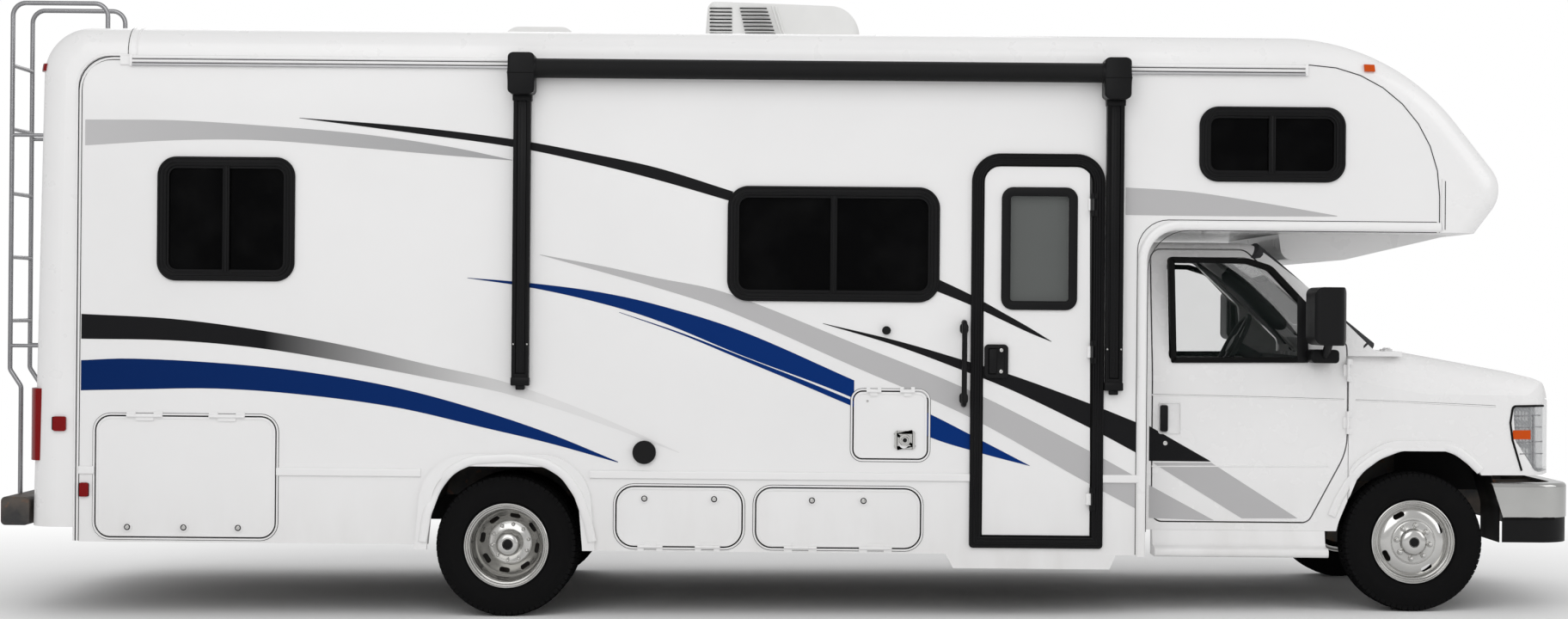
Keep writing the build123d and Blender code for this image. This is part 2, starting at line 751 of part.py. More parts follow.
boxes = []
floor_cuts = []
for name, x_low, x_high, z_low, z_high, radius, depth, edge, latches, latch_z in LOCKERS:
    corners = frame_corners(x_low, x_high, z_low, z_high, radius)
    walls[-1] = walls[-1] - side_prism(corners, *wall_y, grow=DOOR_GAP)
    leaf = side_prism(corners, -HOUSE_HALF, -HOUSE_HALF + LEAF_THICK)
    for latch_x in latches:
        start = (latch_x, -HOUSE_HALF, latch_z)
        leaf = leaf + rod(start, (latch_x, -HOUSE_HALF - LATCH_LIP, latch_z), LATCH_R)
    hinge_z = z_high + DOOR_GAP / 2 if edge == "top" else z_low - DOOR_GAP / 2
    hinge_y = -HOUSE_HALF - HINGE_R - PIN_GAP
    out = 1 if edge == "top" else -1
    long = (x_high - x_low) / 5
    for share in (0.27, 0.73):
        middle = x_low + share * (x_high - x_low)
        moving = barrel((middle - long / 4, hinge_z), (middle + long / 4, hinge_z), hinge_y)
        tab_z = sorted((hinge_z, hinge_z - out * HINGE_TAB))
        tab = block(middle - long / 4, middle + long / 4, hinge_y, -HOUSE_HALF, *tab_z)
        leaf = leaf + moving + tab
        for step in (-1, 1):
            near = middle + step * (long / 4 + PIN_GAP)
            far = near + step * long / 4
            fixed = barrel((min(near, far), hinge_z), (max(near, far), hinge_z), hinge_y)
            tab_z = sorted((hinge_z, hinge_z + out * HINGE_TAB))
            tab = block(near, far, hinge_y, -HOUSE_HALF, *tab_z)
            walls[-1] = walls[-1] + fixed + tab
    write(name, [leaf])
    room = (x_low - BOX_DEEPER, x_high + BOX_DEEPER)
    tall = (z_low - BOX_DEEPER, z_high + BOX_DEEPER)
    deep = (-inside_walls, -inside_walls + depth)
    outer = block(room[0] - BOX_WALL, room[1] + BOX_WALL, deep[0], deep[1] + BOX_WALL,
                  tall[0] - BOX_WALL, tall[1] + BOX_WALL)
    boxes.append(outer - block(*room, *deep, *tall))
    floor_cuts.append(outer)

write("wall_right", [walls[-1]])
left_skirt = block(-FAR, FAR, 0, FAR, 0, SKIRT_Z)
write("wall_left", [walls[1] - left_skirt])

# Floor, wheel wells and entry steps
floor = house_inner & block(-FAR, FAR, -FAR, FAR, FLOOR_LOW_Z, FLOOR_HIGH_Z)
for cut in floor_cuts:
    floor = floor - cut
for side in (-1, 1):
    y_out = span(side, WELL_INNER_Y, inside_walls)
    y_in = span(side, WELL_INNER_Y + WELL_WALL, inside_walls)
    outside = side_prism(arch_corners(), *y_out, grow=WELL_WALL)
    inside = side_prism(arch_corners(), *y_in)
    well = (outside - inside) & block(-FAR, FAR, -FAR, FAR, WELL_LOW_Z, FAR)
    floor = (floor - outside) + well
step_x = (ENTRY_FRAME[0] + ENTRY_FRAME_WIDE, ENTRY_FRAME[1] - ENTRY_FRAME_WIDE)
steps = [(-inside_walls, -900.0, 410.0), (-900.0, -650.0, 570.0)]
floor = floor - block(*step_x, -inside_walls, -650, 0, FAR)
for y_low, y_high, tread_z in steps:
    floor = floor + block(*step_x, y_low, y_high, tread_z, tread_z + 30)
    floor = floor + block(*step_x, y_high - 10, y_high, tread_z, tread_z + 190)
for x in step_x:
    floor = floor + block(x - 10, x + 10, -inside_walls, -640, 410, FLOOR_HIGH_Z)
write("house_floor", [floor])
write("locker_boxes", boxes)
write("window_frames", frames)
write("window_glass", panes)


# Mouldings on the house sides
def strip(x_low, x_high, z_mid, tall, proud, side):
    """A flat moulding with rounded edges along one side of the house."""
    y_in = HOUSE_HALF
    corners = [
        (side * y_in, z_mid - tall / 2, 0),
        (side * (y_in + proud), z_mid - tall / 2 + 4, proud / 2),
        (side * (y_in + proud), z_mid + tall / 2 - 4, proud / 2),
        (side * y_in, z_mid + tall / 2, 0),
    ]
    return section_prism(corners, x_low, x_high)


arch_feet = ARCH_HALF_TOP + ARCH_WIDE
for side in (-1, 1):
    mouldings.append(strip(CAP_SEAM_X + 200, RAIL_END_X, RAIL_Z, RAIL_TALL, RAIL_PROUD, side))
    runs = [
        (CAP_SEAM_X, REAR_AXLE_X - arch_feet - 8),
        (REAR_AXLE_X + arch_feet + 8, HOUSE_FRONT_X),
    ]
    if side < 0:
        runs = [
            (CAP_SEAM_X, LOCKERS[0][1] - DOOR_GAP),
            (LOCKERS[0][2] + DOOR_GAP, runs[0][1]),
            (runs[1][0], ENTRY_FRAME[0]),
            (ENTRY_FRAME[1], HOUSE_FRONT_X),
        ]
    for x_low, x_high in runs:
        mouldings.append(strip(x_low, x_high, BELT_Z, BELT_TALL, BELT_PROUD, side))
    flare_y = span(side, HOUSE_HALF, HOUSE_HALF + ARCH_PROUD)
    flare = side_prism(arch_corners(), *flare_y, grow=ARCH_WIDE) - side_prism(arch_corners(), *flare_y)
    low_z = min(SKIRT_Z, SKIRT_REAR_Z)
    mouldings.append(flare & block(-FAR, FAR, -FAR, FAR, low_z, FAR))
write("body_mouldings", mouldings)


# Cab and front end envelope
def cab_side(rear_x, low_z):
    """Side outline of the cab and the front end."""
    lean = (CLIP_FRONT[0] - CLIP_LOW[0]) / (CLIP_FRONT[1] - CLIP_LOW[1])
    corners = [
        (rear_x, low_z, 0),
        (rear_x, CAB_ROOF_Z, 0),
        WINDSHIELD_TOP,
        WINDSHIELD_MID,
        WINDSHIELD_LOW,
        HOOD_BACK,
        HOOD_MID,
        HOOD_FRONT,
        CLIP_FRONT,
    ]
    if low_z > 0:
        corners.append((*CLIP_LOW, 0))
        corners.append((ARCH_LINE[-2][0] - 60, CLIP_LOW[1], 0))
        corners.append((ARCH_LINE[-2][0] - 60, low_z, 0))
    else:
        corners.append((CLIP_LOW[0] - lean * (CLIP_LOW[1] - low_z), low_z, 0))
    return corners


def cab_plan(rear_x):
    """Outline of the cab and the front end from above."""
    return [
        (rear_x, -CAB_HALF, 0),
        (rear_x, CAB_HALF, 0),
        (3400, CAB_HALF, 900),
        (4010, CAB_HALF - 45, 160),
        (CLIP_LOW[0], 700, 200),
        (CLIP_LOW[0], -700, 200),
        (4010, -CAB_HALF + 45, 160),
        (3400, -CAB_HALF, 900),
    ]


def cab_section():
    """Outline of the cab from the front, narrower towards its roof."""
    top = CAB_HALF - CAB_TUMBLE
    return [
        (-CAB_HALF, -FAR, 0),
        (-CAB_HALF, CAB_WAIST_Z, 600),
        (-top, CAB_ROOF_Z, CAB_ROOF_R),
        (top, CAB_ROOF_Z, CAB_ROOF_R),
        (CAB_HALF, CAB_WAIST_Z, 600),
        (CAB_HALF, -FAR, 0),
    ]


def cab_envelope(inset):
    """The cab's outer form, or the same form lying deeper by an inset, open behind and below."""
    rear_x = CAB_REAR_X if inset <= 0 else CAB_REAR_X - 400
    low_z = CAB_LOW_Z if inset <= 0 else -200
    side = side_prism(cab_side(rear_x, low_z), -FAR / 2, FAR / 2, grow=-inset)
    plan = plan_prism(cab_plan(rear_x - 100), -FAR / 2, FAR, grow=-inset)
    section = section_prism(cab_section(), rear_x - 200, CLIP_FRONT[0] + 100, grow=-inset)
    return side & plan & section


def hood_form(inset):
    """The rounded shoulders of the hood, which fall with it to the front."""
    top = HOOD_BACK[1] + (HOOD_BACK[0] - FIREWALL_X) * HOOD_FALL
    corners = [
        (-CAB_HALF - 5, -FAR, 0),
        (-CAB_HALF - 5, top - 215, 150),
        (-CAB_HALF + 90, top - 4, 130),
        (CAB_HALF - 90, top - 4, 130),
        (CAB_HALF + 5, top - 215, 150),
        (CAB_HALF + 5, -FAR, 0),
    ]
    return section_prism(corners, FIREWALL_X - 10, CLIP_FRONT[0] + 200, grow=-inset, fall=HOOD_FALL)


cab_outer = cab_envelope(0)
cab_inner = cab_envelope(CAB_WALL)
clip_inner = cab_envelope(CLIP_WALL) & hood_form(CLIP_WALL)
cab_region = side_prism(
    [
        (0, -FAR / 2, 0),
        (DOOR_FRONT_X, -FAR / 2, 0),
        (DOOR_FRONT_X, COWL_Z, 0),
        (HOOD_HINGE_X, COWL_Z, 0),
        (HOOD_HINGE_X, FAR, 0),
        (0, FAR, 0),
    ],
    -FAR,
    FAR,
)
cab_body = (cab_outer & cab_region) - cab_inner
write("nose_cap", [(nose_skin + front_floor + belly) - cab_outer])
clip_body = ((cab_outer - cab_region) & hood_form(0)) - clip_inner

# Cab floor, the wall behind the engine and the pillars that carry the door hinges
cab_room = cab_envelope(CAB_WALL + DOOR_GAP)
firewall_x = (FIREWALL_X - 27, FIREWALL_X - 7)
cab_floor = block(HOUSE_FRONT_X, FIREWALL_X - 20, -CAB_HALF, CAB_HALF, FLOOR_LOW_Z, FLOOR_TOP_Z)
firewall = block(*firewall_x, -CAB_HALF, CAB_HALF, FLOOR_LOW_Z, COWL_Z)
door_rear_x = DOOR_OUTLINE[0][0] - DOOR_GAP
rear_floor = block(CAB_REAR_X, door_rear_x, -CAB_HALF, CAB_HALF, FLOOR_LOW_Z, FLOOR_TOP_Z) & cab_outer
cab_frame = ((cab_floor + firewall) & cab_room) + rear_floor
pillar_room = cab_envelope(CLIP_WALL + SEAT_GAP) & hood_form(CLIP_WALL + SEAT_GAP)
for side in (-1, 1):
    pillar_y = span(side, *PILLAR_Y)
    pillar_x = (DOOR_FRONT_X, DOOR_FRONT_X + PILLAR_DEEP)
    pillar = block(*pillar_x, *pillar_y, FLOOR_LOW_Z, COWL_Z) & pillar_room
    pillar = pillar + block(*pillar_x, *pillar_y, COWL_Z, COWL_Z + PILLAR_RISE)
    liner_y = span(side, LINER_INNER_Y, CAB_HALF - CAB_WALL)
    liner_room = side_prism(LINER_LINE, *liner_y, grow=LINER_OFFSET + LINER_THICK)
    arch_room = side_prism(ARCH_LINE, *span(side, LINER_INNER_Y, CAB_HALF + 200))
    cab_frame = (cab_frame + pillar) - liner_room - arch_room
    cab_body = cab_body - liner_room - arch_room
    clip_body = clip_body - arch_room

# Cab doors with their panes and mirrors
pane_skin = cab_envelope(PANE_DEEP) - cab_envelope(PANE_DEEP + PANE_THICK)
DOOR_NAMES = {-1: "right", 1: "left"}
for side in (-1, 1):
    y_low, y_high = span(side, DOOR_REACH, CAB_HALF + 200)
    opening = side_prism(DOOR_OUTLINE, y_low, y_high)
    leaf = cab_body & side_prism(DOOR_OUTLINE, y_low, y_high, grow=-DOOR_GAP)
    cab_body = cab_body - opening
    window = side_prism(DOOR_PANE, y_low, y_high)
    leaf = leaf - window
    glass = pane_skin & side_prism(DOOR_PANE, y_low, y_high)
    hinge_x = DOOR_OUTLINE[4][0] - DOOR_GAP / 2
    for z in DOOR_HINGE_Z:
        fixed, moving = upright_hinge(hinge_x, z, side * CAB_HALF, side * CAB_HALF, 1, sink=DOOR_HINGE_SINK)
        clip_body = clip_body + fixed[0] + fixed[1]
        leaf = leaf + moving
    name = DOOR_NAMES[side]
    write(f"cab_door_{name}", [leaf])
    write(f"cab_door_glass_{name}", [glass])
    x_low, x_high, y_near, y_far, z_low, z_high = MIRROR
    head = side_prism(frame_corners(x_low, x_high, z_low, z_high, MIRROR_R), *span(side, y_near, y_far))
    plan = [
        (x_low, side * y_near, 30),
        (x_low, side * y_far, 30),
        (x_high - 40, side * y_far, 40),
        (x_high, side * (y_far - 130), 60),
        (x_high - 20, side * y_near, 40),
    ]
    head = head & plan_prism(plan, z_low - 10, z_high + 10)
    arm = tube(
        [
            (MIRROR_ARM_X, side * (CAB_HALF - MIRROR_SEAT), MIRROR_ARM_Z),
            (MIRROR_ARM_X + 20, side * 1130, MIRROR_ARM_Z + 10),
            (MIRROR_ARM_X + 20, side * 1240, MIRROR_ARM_Z + 90),
        ],
        60,
        MIRROR_ARM_R,
    )
    write(f"mirror_{name}", [(head + arm) - cab_outer])

# Windshield
windshield_region = section_prism(
    [
        (-WINDSHIELD_HALF[0], WINDSHIELD_Z[0], 70),
        (-WINDSHIELD_HALF[1], WINDSHIELD_Z[1], 70),
        (WINDSHIELD_HALF[1], WINDSHIELD_Z[1], 70),
        (WINDSHIELD_HALF[0], WINDSHIELD_Z[0], 70),
    ],
    2300,
    3400,
)
cab_body = (cab_body - windshield_region) + cab_frame
hood_barrels = []
hinge_x = HOOD_HINGE_X + DOOR_GAP / 2
hinge_z = HOOD_BACK[1] + HINGE_R + PIN_GAP
for side in (-1, 1):
    y = side * HOOD_HINGE_Y
    half = HINGE_LONG / 2
    tab = block(hinge_x, hinge_x + HINGE_TAB, y - half, y + half, HOOD_BACK[1] - HINGE_SINK, hinge_z)
    hood_barrels.append(rod((hinge_x, y - half, hinge_z), (hinge_x, y + half, hinge_z), HINGE_R) + tab)
    for step in (-1, 1):
        y_low, y_high = sorted((y + step * (half + PIN_GAP), y + step * 2 * half))
        tab = block(hinge_x - HINGE_TAB, hinge_x, y_low, y_high, HOOD_BACK[1], hinge_z)
        tab = tab + block(hinge_x - HINGE_TAB, HOOD_HINGE_X, y_low, y_high, HOOD_BACK[1] - HINGE_SINK, hinge_z)
        cab_body = cab_body + rod((hinge_x, y_low, hinge_z), (hinge_x, y_high, hinge_z), HINGE_R) + tab
shield = (cab_envelope(WINDSHIELD_DEEP) - cab_envelope(WINDSHIELD_DEEP + PANE_THICK)) & windshield_region
write("windshield", [shield])
write("cab_shell", [cab_body])


def hood_region(grow):
    """The part of the front end that the hood takes up: its plan, above its front edge."""
    corners = [
        (HOOD_HINGE_X + DOOR_GAP - grow, HOOD_REAR_HALF + grow, 0),
        (CLIP_LOW[0], HOOD_FRONT_HALF + grow, 0),
        (FAR, HOOD_FRONT_HALF + grow, 0),
    ]
    return plan_prism(mirrored(corners), HOOD_EDGE_Z - grow, FAR)


hood = clip_body & hood_region(0)
fenders = clip_body - hood_region(DOOR_GAP)
for moving in hood_barrels:
    hood = hood + moving

# Lamps and grille set into the front
lamps = []
for side in (-1, 1):
    lamp_region = side_prism(LAMP_LINE, *span(side, LAMP_INNER_Y, CAB_HALF + 100))
    lens = fenders & side_prism(LAMP_LINE, *span(side, LAMP_INNER_Y, CAB_HALF + 100), grow=-LAMP_EDGE)
    fenders = fenders - lamp_region
    lamps.append(lens)
    rim = (cab_outer & lamp_region) - clip_inner
    lamps.append(rim - side_prism(LAMP_LINE, *span(side, LAMP_INNER_Y, CAB_HALF + 100), grow=-LAMP_EDGE))
grille_region = section_prism(
    [(y, z, 40) for y, z in (
        (-GRILLE_HALF, GRILLE_LOW_Z),
        (-GRILLE_HALF, GRILLE_HIGH_Z),
        (GRILLE_HALF, GRILLE_HIGH_Z),
        (GRILLE_HALF, GRILLE_LOW_Z),
    )],
    3900,
    FAR,
)
grille_stock = fenders & grille_region
fenders = fenders - grille_region
grille_hole = section_prism(
    [(y, z, 20) for y, z in (
        (-GRILLE_HALF + GRILLE_RIM, GRILLE_LOW_Z + GRILLE_RIM),
        (-GRILLE_HALF + GRILLE_RIM, GRILLE_HIGH_Z - GRILLE_RIM),
        (GRILLE_HALF - GRILLE_RIM, GRILLE_HIGH_Z - GRILLE_RIM),
        (GRILLE_HALF - GRILLE_RIM, GRILLE_LOW_Z + GRILLE_RIM),
    )],
    3900,
    FAR,
)
grille = grille_stock - grille_hole
pitch = (GRILLE_HIGH_Z - GRILLE_LOW_Z - 2 * GRILLE_RIM) / GRILLE_BARS
for index in range(1, GRILLE_BARS):
    z = GRILLE_LOW_Z + GRILLE_RIM + index * pitch
    bar = block(3900, FAR, -GRILLE_HALF, GRILLE_HALF, z - GRILLE_BAR / 2, z + GRILLE_BAR / 2)
    grille = grille + (grille_stock & bar)
pitch = 2 * (GRILLE_HALF - GRILLE_RIM) / GRILLE_SLATS
for index in range(1, GRILLE_SLATS):
    y = -GRILLE_HALF + GRILLE_RIM + index * pitch
    slat = block(3900, FAR, y - GRILLE_SLAT / 2, y + GRILLE_SLAT / 2, GRILLE_LOW_Z, GRILLE_HIGH_Z)
    grille = grille + (grille_stock & slat)
write("grille", [grille])
write("headlamps", lamps)

write("hood", [hood])

# Arch lips and liners
lips = []
liners = []
skin_out = cab_envelope(-ARCH_LIP_PROUD)
for side in (-1, 1):
    y_out = span(side, DOOR_REACH, CAB_HALF + 100)
    lip = side_prism(ARCH_LINE, *y_out, grow=ARCH_LIP) - side_prism(ARCH_LINE, *y_out)
    lip = (lip & skin_out) - cab_outer - block(-FAR, FAR, -FAR, FAR, -FAR, CAB_LOW_Z)
    lip = lip - block(FRONT_AXLE_X, FAR, -FAR, FAR, -FAR, CLIP_LOW[1])
    lips.append(lip - block(0, DOOR_FRONT_X + DOOR_GAP, -FAR, FAR, 0, FAR))
    y_in = span(side, LINER_INNER_Y, CAB_HALF - CAB_WALL)
    liner = side_prism(LINER_LINE, *y_in, grow=LINER_OFFSET + LINER_THICK)
    liner = liner - side_prism(LINER_LINE, *y_in, grow=LINER_OFFSET)
    liners.append((liner & cab_inner) - block(-FAR, FAR, -FAR, FAR, -FAR, CAB_LOW_Z - 60))
write("front_fenders", [fenders] + lips)


# Bumpers, valance and running boards
def front_ring(inset, wall, z_low, z_high):
    """Band round the front along the bumper's line, open behind."""
    outline = mirrored(BUMPER_LINE)
    outer = plan_prism(outline, z_low, z_high, grow=-inset)
    inner = plan_prism(outline, z_low - 1, z_high + 1, grow=-inset - wall)
    behind = block(0, BUMPER_LINE[0][0] + inset + wall + 5, -FAR, FAR, 0, FAR)
    ring = outer - inner
    low, high = z_low - 1, z_high + 1
    return ring - (behind & block(0, FAR, -CAB_HALF + 40, CAB_HALF - 40, low, high))


bumper_form = plan_prism(mirrored(BUMPER_LINE), BUMPER_LOW_Z, BUMPER_HIGH_Z)
rear_edge_x = BUMPER_LINE[0][0] + 1
top_edges = [edge for edge in bumper_form.faces().sort_by(Axis.Z)[-1].edges() if edge.center().X > rear_edge_x]
bumper_form = fillet(top_edges, BUMPER_TOP_R)
plate = front_ring(0, BUMPER_WALL, BUMPER_LOW_Z, BUMPER_HIGH_Z)
flange = front_ring(0, BUMPER_FLANGE, BUMPER_HIGH_Z - BUMPER_WALL, BUMPER_HIGH_Z)
bumper = (plate + flange) & bumper_form
bumper_side = side_prism(
    [
        (BUMPER_REAR_LOW_X, BUMPER_LOW_Z, 0),
        (BUMPER_REAR_HIGH_X, BUMPER_HIGH_Z, 0),
        (FAR, BUMPER_HIGH_Z, 0),
        (FAR, BUMPER_LOW_Z, 0),
    ],
    -FAR,
    FAR,
)
write("front_bumper", [bumper & bumper_side])
valance = front_ring(VALANCE_INSET, BUMPER_WALL, VALANCE_LOW_Z, BUMPER_LOW_Z - SEAT_GAP)
valance = valance - block(0, VALANCE_REAR_X, -FAR, FAR, 0, FAR)
write("splash_guards", [valance] + liners)

boards = []
x_low, x_high, z_low, z_high = STEP_BOARD
for side in (-1, 1):
    corners = [
        (side * (CAB_HALF - 60), z_low, 10),
        (side * (CAB_HALF + STEP_BOARD_DEEP - 60), z_low, 20),
        (side * (CAB_HALF + STEP_BOARD_DEEP - 60), z_low + 45, 20),
        (side * (CAB_HALF + 25), z_low + 55, 20),
        (side * (CAB_HALF + 5), CAB_LOW_Z - SEAT_GAP, 0),
        (side * (CAB_HALF - 60), CAB_LOW_Z - SEAT_GAP, 0),
    ]
    boards.append(section_prism(corners, x_low, x_high))
write("running_boards", boards)

# The chassis rails reach the rear bumper through the foot of the rear cap
cap_notches = None
for side in (-1, 1):
    notch = block(-FAR, RAIL_REAR_X, *span(side, RAIL_OUTER_Y - 60, RAIL_OUTER_Y + 12), 0, RAIL_HIGH_Z - 20)
    cap_notches = notch if cap_notches is None else cap_notches + notch
write("rear_cap", [rear_cap - cap_notches])

# Chassis
rails = None
for side in (-1, 1):
    web = RAIL_OUTER_Y - RAIL_WALL
    tip = RAIL_OUTER_Y - RAIL_FLANGE
    low = RAIL_LOW_Z
    high = RAIL_HIGH_Z
    channel = [(RAIL_OUTER_Y, low, 8), (RAIL_OUTER_Y, high, 8), (tip, high, 0), (tip, high - RAIL_WALL, 0),
               (web, high - RAIL_WALL, 0), (web, low + RAIL_WALL, 0), (tip, low + RAIL_WALL, 0), (tip, low, 0)]
    corners = [(side * y, z, r) for y, z, r in channel]
    rail = section_prism(corners, RAIL_REAR_X, RAIL_FRONT_X)
    horn_y = span(side, web - 40, RAIL_OUTER_Y)
    rear_horn = block(REAR_BUMPER[1], RAIL_REAR_X + 100, *horn_y, low + 10, high - 30)
    corner, nose = BUMPER_LINE[1], BUMPER_LINE[2]
    share = (corner[1] - RAIL_OUTER_Y) / (corner[1] - nose[1])
    horn_end = corner[0] + (nose[0] - corner[0]) * share - BUMPER_WALL - 1
    front_horn = block(RAIL_FRONT_X - 100, horn_end, *horn_y, BUMPER_LOW_Z + 20, BUMPER_HIGH_Z - 20)
    rail = rail + rear_horn + front_horn
    for x in (LEAF_REAR_X, LEAF_FRONT_X):
        hanger = block(x - 30, x + 30, *span(side, web, LEAF_OUTER_Y), LEAF_EYE_Z, high - 60)
        rail = rail + hanger
    tower = block(FRONT_AXLE_X - 70, FRONT_AXLE_X + 70, *span(side, web, COIL_Y + 60), TOWER_Z, high)
    rail = rail + tower
    rails = rail if rails is None else rails + rail
for x in CROSS_X:
    web = RAIL_OUTER_Y - RAIL_WALL
    rails = rails + block(x - 40, x + 40, -web, web, CROSS_Z, CROSS_Z + 60)
x_low, x_high, deep = ENGINE_SEAT
web = RAIL_OUTER_Y - RAIL_WALL
engine_seat = block(x_low, x_high, -web, web, ENGINE_LOW_Z - deep, ENGINE_LOW_Z)
rails = rails + engine_seat
x_low, x_high, z_low = RADIATOR_SEAT
radiator_seat = block(x_low, x_high, -RAIL_OUTER_Y, RAIL_OUTER_Y, z_low, RADIATOR[3])
rails = rails + radiator_seat
write("frame_rails", [rails])

engine = side_prism(ENGINE_LINE, -ENGINE_HALF, ENGINE_HALF)
slim = plan_prism(mirrored([(GEARBOX_END_X, GEARBOX_HALF, 20)] + ENGINE_PLAN), 0, FAR)
write("engine_block", [engine & slim])
x_low, x_high, half, z_low, z_high = RADIATOR
write("radiator", [block(x_low, x_high, -half, half, z_low, z_high)])

shaft_ends = ((GEARBOX_END_X - 3, 0, SHAFT_Z), (DIFF_NOSE_X + 1, 0, DIFF_NOSE_Z))
write("propeller_shaft", [rod(*shaft_ends, SHAFT_R)])

tank_top = [(y, CROSS_Z - SEAT_GAP, 30) for y, z, radius in reversed(TANK_SECTION)]
write("fuel_tank", [section_prism(TANK_SECTION + tank_top, *TANK_X)])

pipe = tube([(x, y, z) for x, y, z in PIPE_ROUTE], PIPE_BEND, PIPE_R)
pipe_y, pipe_z = PIPE_ROUTE[0][1:]
muffler = rod((MUFFLER_X[0], pipe_y, pipe_z), (MUFFLER_X[1], pipe_y, pipe_z), MUFFLER_R)
straps = None
for x in EXHAUST_CROSS_X:
    strap = block(x - 12, x + 12, pipe_y - 6, pipe_y + 6, pipe_z, CROSS_Z - SEAT_GAP)
    straps = strap if straps is None else straps + strap
write("exhaust", [pipe + muffler + straps])

springs = []
for side in (-1, 1):
    y_low, y_high = span(side, LEAF_INNER_Y, LEAF_OUTER_Y)
    seat_z = TYRE_R + AXLE_TUBE_R + SEAT_GAP
    leaf = side_prism(
        [
            (LEAF_REAR_X - 30, LEAF_EYE_Z - SEAT_GAP, 0),
            (LEAF_REAR_X + 30, LEAF_EYE_Z - SEAT_GAP, 0),
            (REAR_AXLE_X, seat_z + 45, 1500),
            (LEAF_FRONT_X - 30, LEAF_EYE_Z - SEAT_GAP, 0),
            (LEAF_FRONT_X + 30, LEAF_EYE_Z - SEAT_GAP, 0),
            (LEAF_FRONT_X + 30, LEAF_EYE_Z - 18, 0),
            (REAR_AXLE_X + 260, seat_z + 12, 400),
            (REAR_AXLE_X + 90, seat_z, 0),
            (REAR_AXLE_X - 90, seat_z, 0),
            (REAR_AXLE_X - 260, seat_z + 12, 400),
            (LEAF_REAR_X - 30, LEAF_EYE_Z - 18, 0),
        ],
        y_low,
        y_high,
    )
    springs.append(raked(leaf))

for side in (-1, 1):
    top = raked_z(FRONT_AXLE_X, TOWER_Z) - 2 * SEAT_GAP - 0.6
    low = BEAM_END_Z[1] + SEAT_GAP
    turns = COIL_TURNS
    pitch = (top - low) / turns
    corners = [(0, low, 0), (0, top, 0), (COIL_R, top, 0)]
    for index in range(turns):
        z = top - index * pitch
        corners.append((COIL_R, z - 0.5 * pitch, 0))
        corners.append((COIL_R - 18, z - 0.75 * pitch, 0))
    corners.append((COIL_R, low, 0))
    wire = rounded_wire(corners, lambda r, z: (FRONT_AXLE_X + r, side * COIL_Y, z))
    springs.append(revolve(Face(wire), axis=Axis((FRONT_AXLE_X, side * COIL_Y, 0), (0, 0, 1))))
write("springs", springs, level=False)

beam_corners = [
    (KINGPIN_Y - EYE_R + 6, BEAM_END_Z[0], 0),
    (COIL_Y - 70, BEAM_END_Z[0], 40),
    (COIL_Y - 160, BEAM_END_Z[0] - BEAM_DROP, 60),
]
low_side = [(y, z, r) for y, z, r in beam_corners]
high_side = [(y, z + BEAM_END_Z[1] - BEAM_END_Z[0], r) for y, z, r in reversed(beam_corners)]
outline = low_side + [(-y, z, r) for y, z, r in reversed(low_side)]
outline = outline + [(-y, z, r) for y, z, r in reversed(high_side)] + high_side
beam = section_prism(outline, FRONT_AXLE_X - 30, FRONT_AXLE_X + 30)
for side in (-1, 1):
    centre = (FRONT_AXLE_X, side * KINGPIN_Y)
    eye = rod((*centre, EYE_LOW_Z), (*centre, EYE_HIGH_Z), EYE_R)
    pad = rod((FRONT_AXLE_X, side * COIL_Y, BEAM_END_Z[0]), (FRONT_AXLE_X, side * COIL_Y, BEAM_END_Z[1]), 66)
    hole = rod((*centre, EYE_LOW_Z - 50), (*centre, EYE_HIGH_Z + 50), KINGPIN_R + PIN_GAP)
    beam = beam + eye + pad - hole
write("front_axle", [beam], level=False)

centre = (REAR_AXLE_X, 0, TYRE_R)
axle = rod((REAR_AXLE_X, -AXLE_TUBE_END_Y, TYRE_R), (REAR_AXLE_X, AXLE_TUBE_END_Y, TYRE_R), AXLE_TUBE_R)
for side in (-1, 1):
    axle = axle + rod((REAR_AXLE_X, side * 600, TYRE_R), (REAR_AXLE_X, side * SPINDLE_END_Y, TYRE_R), SPINDLE_R)
    plate_y = side * AXLE_TUBE_END_Y
    axle = axle + rod((REAR_AXLE_X, plate_y - side * 10, TYRE_R), (REAR_AXLE_X, plate_y, TYRE_R), DRUM_R)
axle = axle + turned([(-120, 0, 0), (-150, 90, 30), (-60, DIFF_R, 60), (60, DIFF_R, 60), (150, 90, 30), (120, 0, 0)],
                     REAR_AXLE_X, 1)
nose_end = (DIFF_NOSE_X, 0, DIFF_NOSE_Z)
axle = axle + rod((REAR_AXLE_X, 0, TYRE_R + 20), nose_end, 60)
write("rear_axle", [axle], level=False)

# Knuckles, wheels and tyres
tyre_profile = [
    (-TYRE_WIDTH / 2 + 27.5, BEAD_R, 0),
    (-TYRE_WIDTH / 2 + 27.5, LIP_R + 2, 0),
    (-TYRE_WIDTH / 2 + 10, LIP_R + 8, 8),
    (-TYRE_WIDTH / 2, 290, 90),
    (-TYRE_WIDTH / 2 + 12, TYRE_R - 14, 14),
    (-TYRE_WIDTH / 2 + 32, TYRE_R, 8),
    (TYRE_WIDTH / 2 - 32, TYRE_R, 8),
    (TYRE_WIDTH / 2 - 12, TYRE_R - 14, 14),
    (TYRE_WIDTH / 2, 290, 90),
    (TYRE_WIDTH / 2 - 10, LIP_R + 8, 8),
    (TYRE_WIDTH / 2 - 27.5, LIP_R + 2, 0),
    (TYRE_WIDTH / 2 - 27.5, BEAD_R, 0),
]


def tyre(axle_x, side, centre_y):
    """One plain tyre about an axle."""
    return turned([(centre_y + y, r, c) for y, r, c in tyre_profile], axle_x, side)


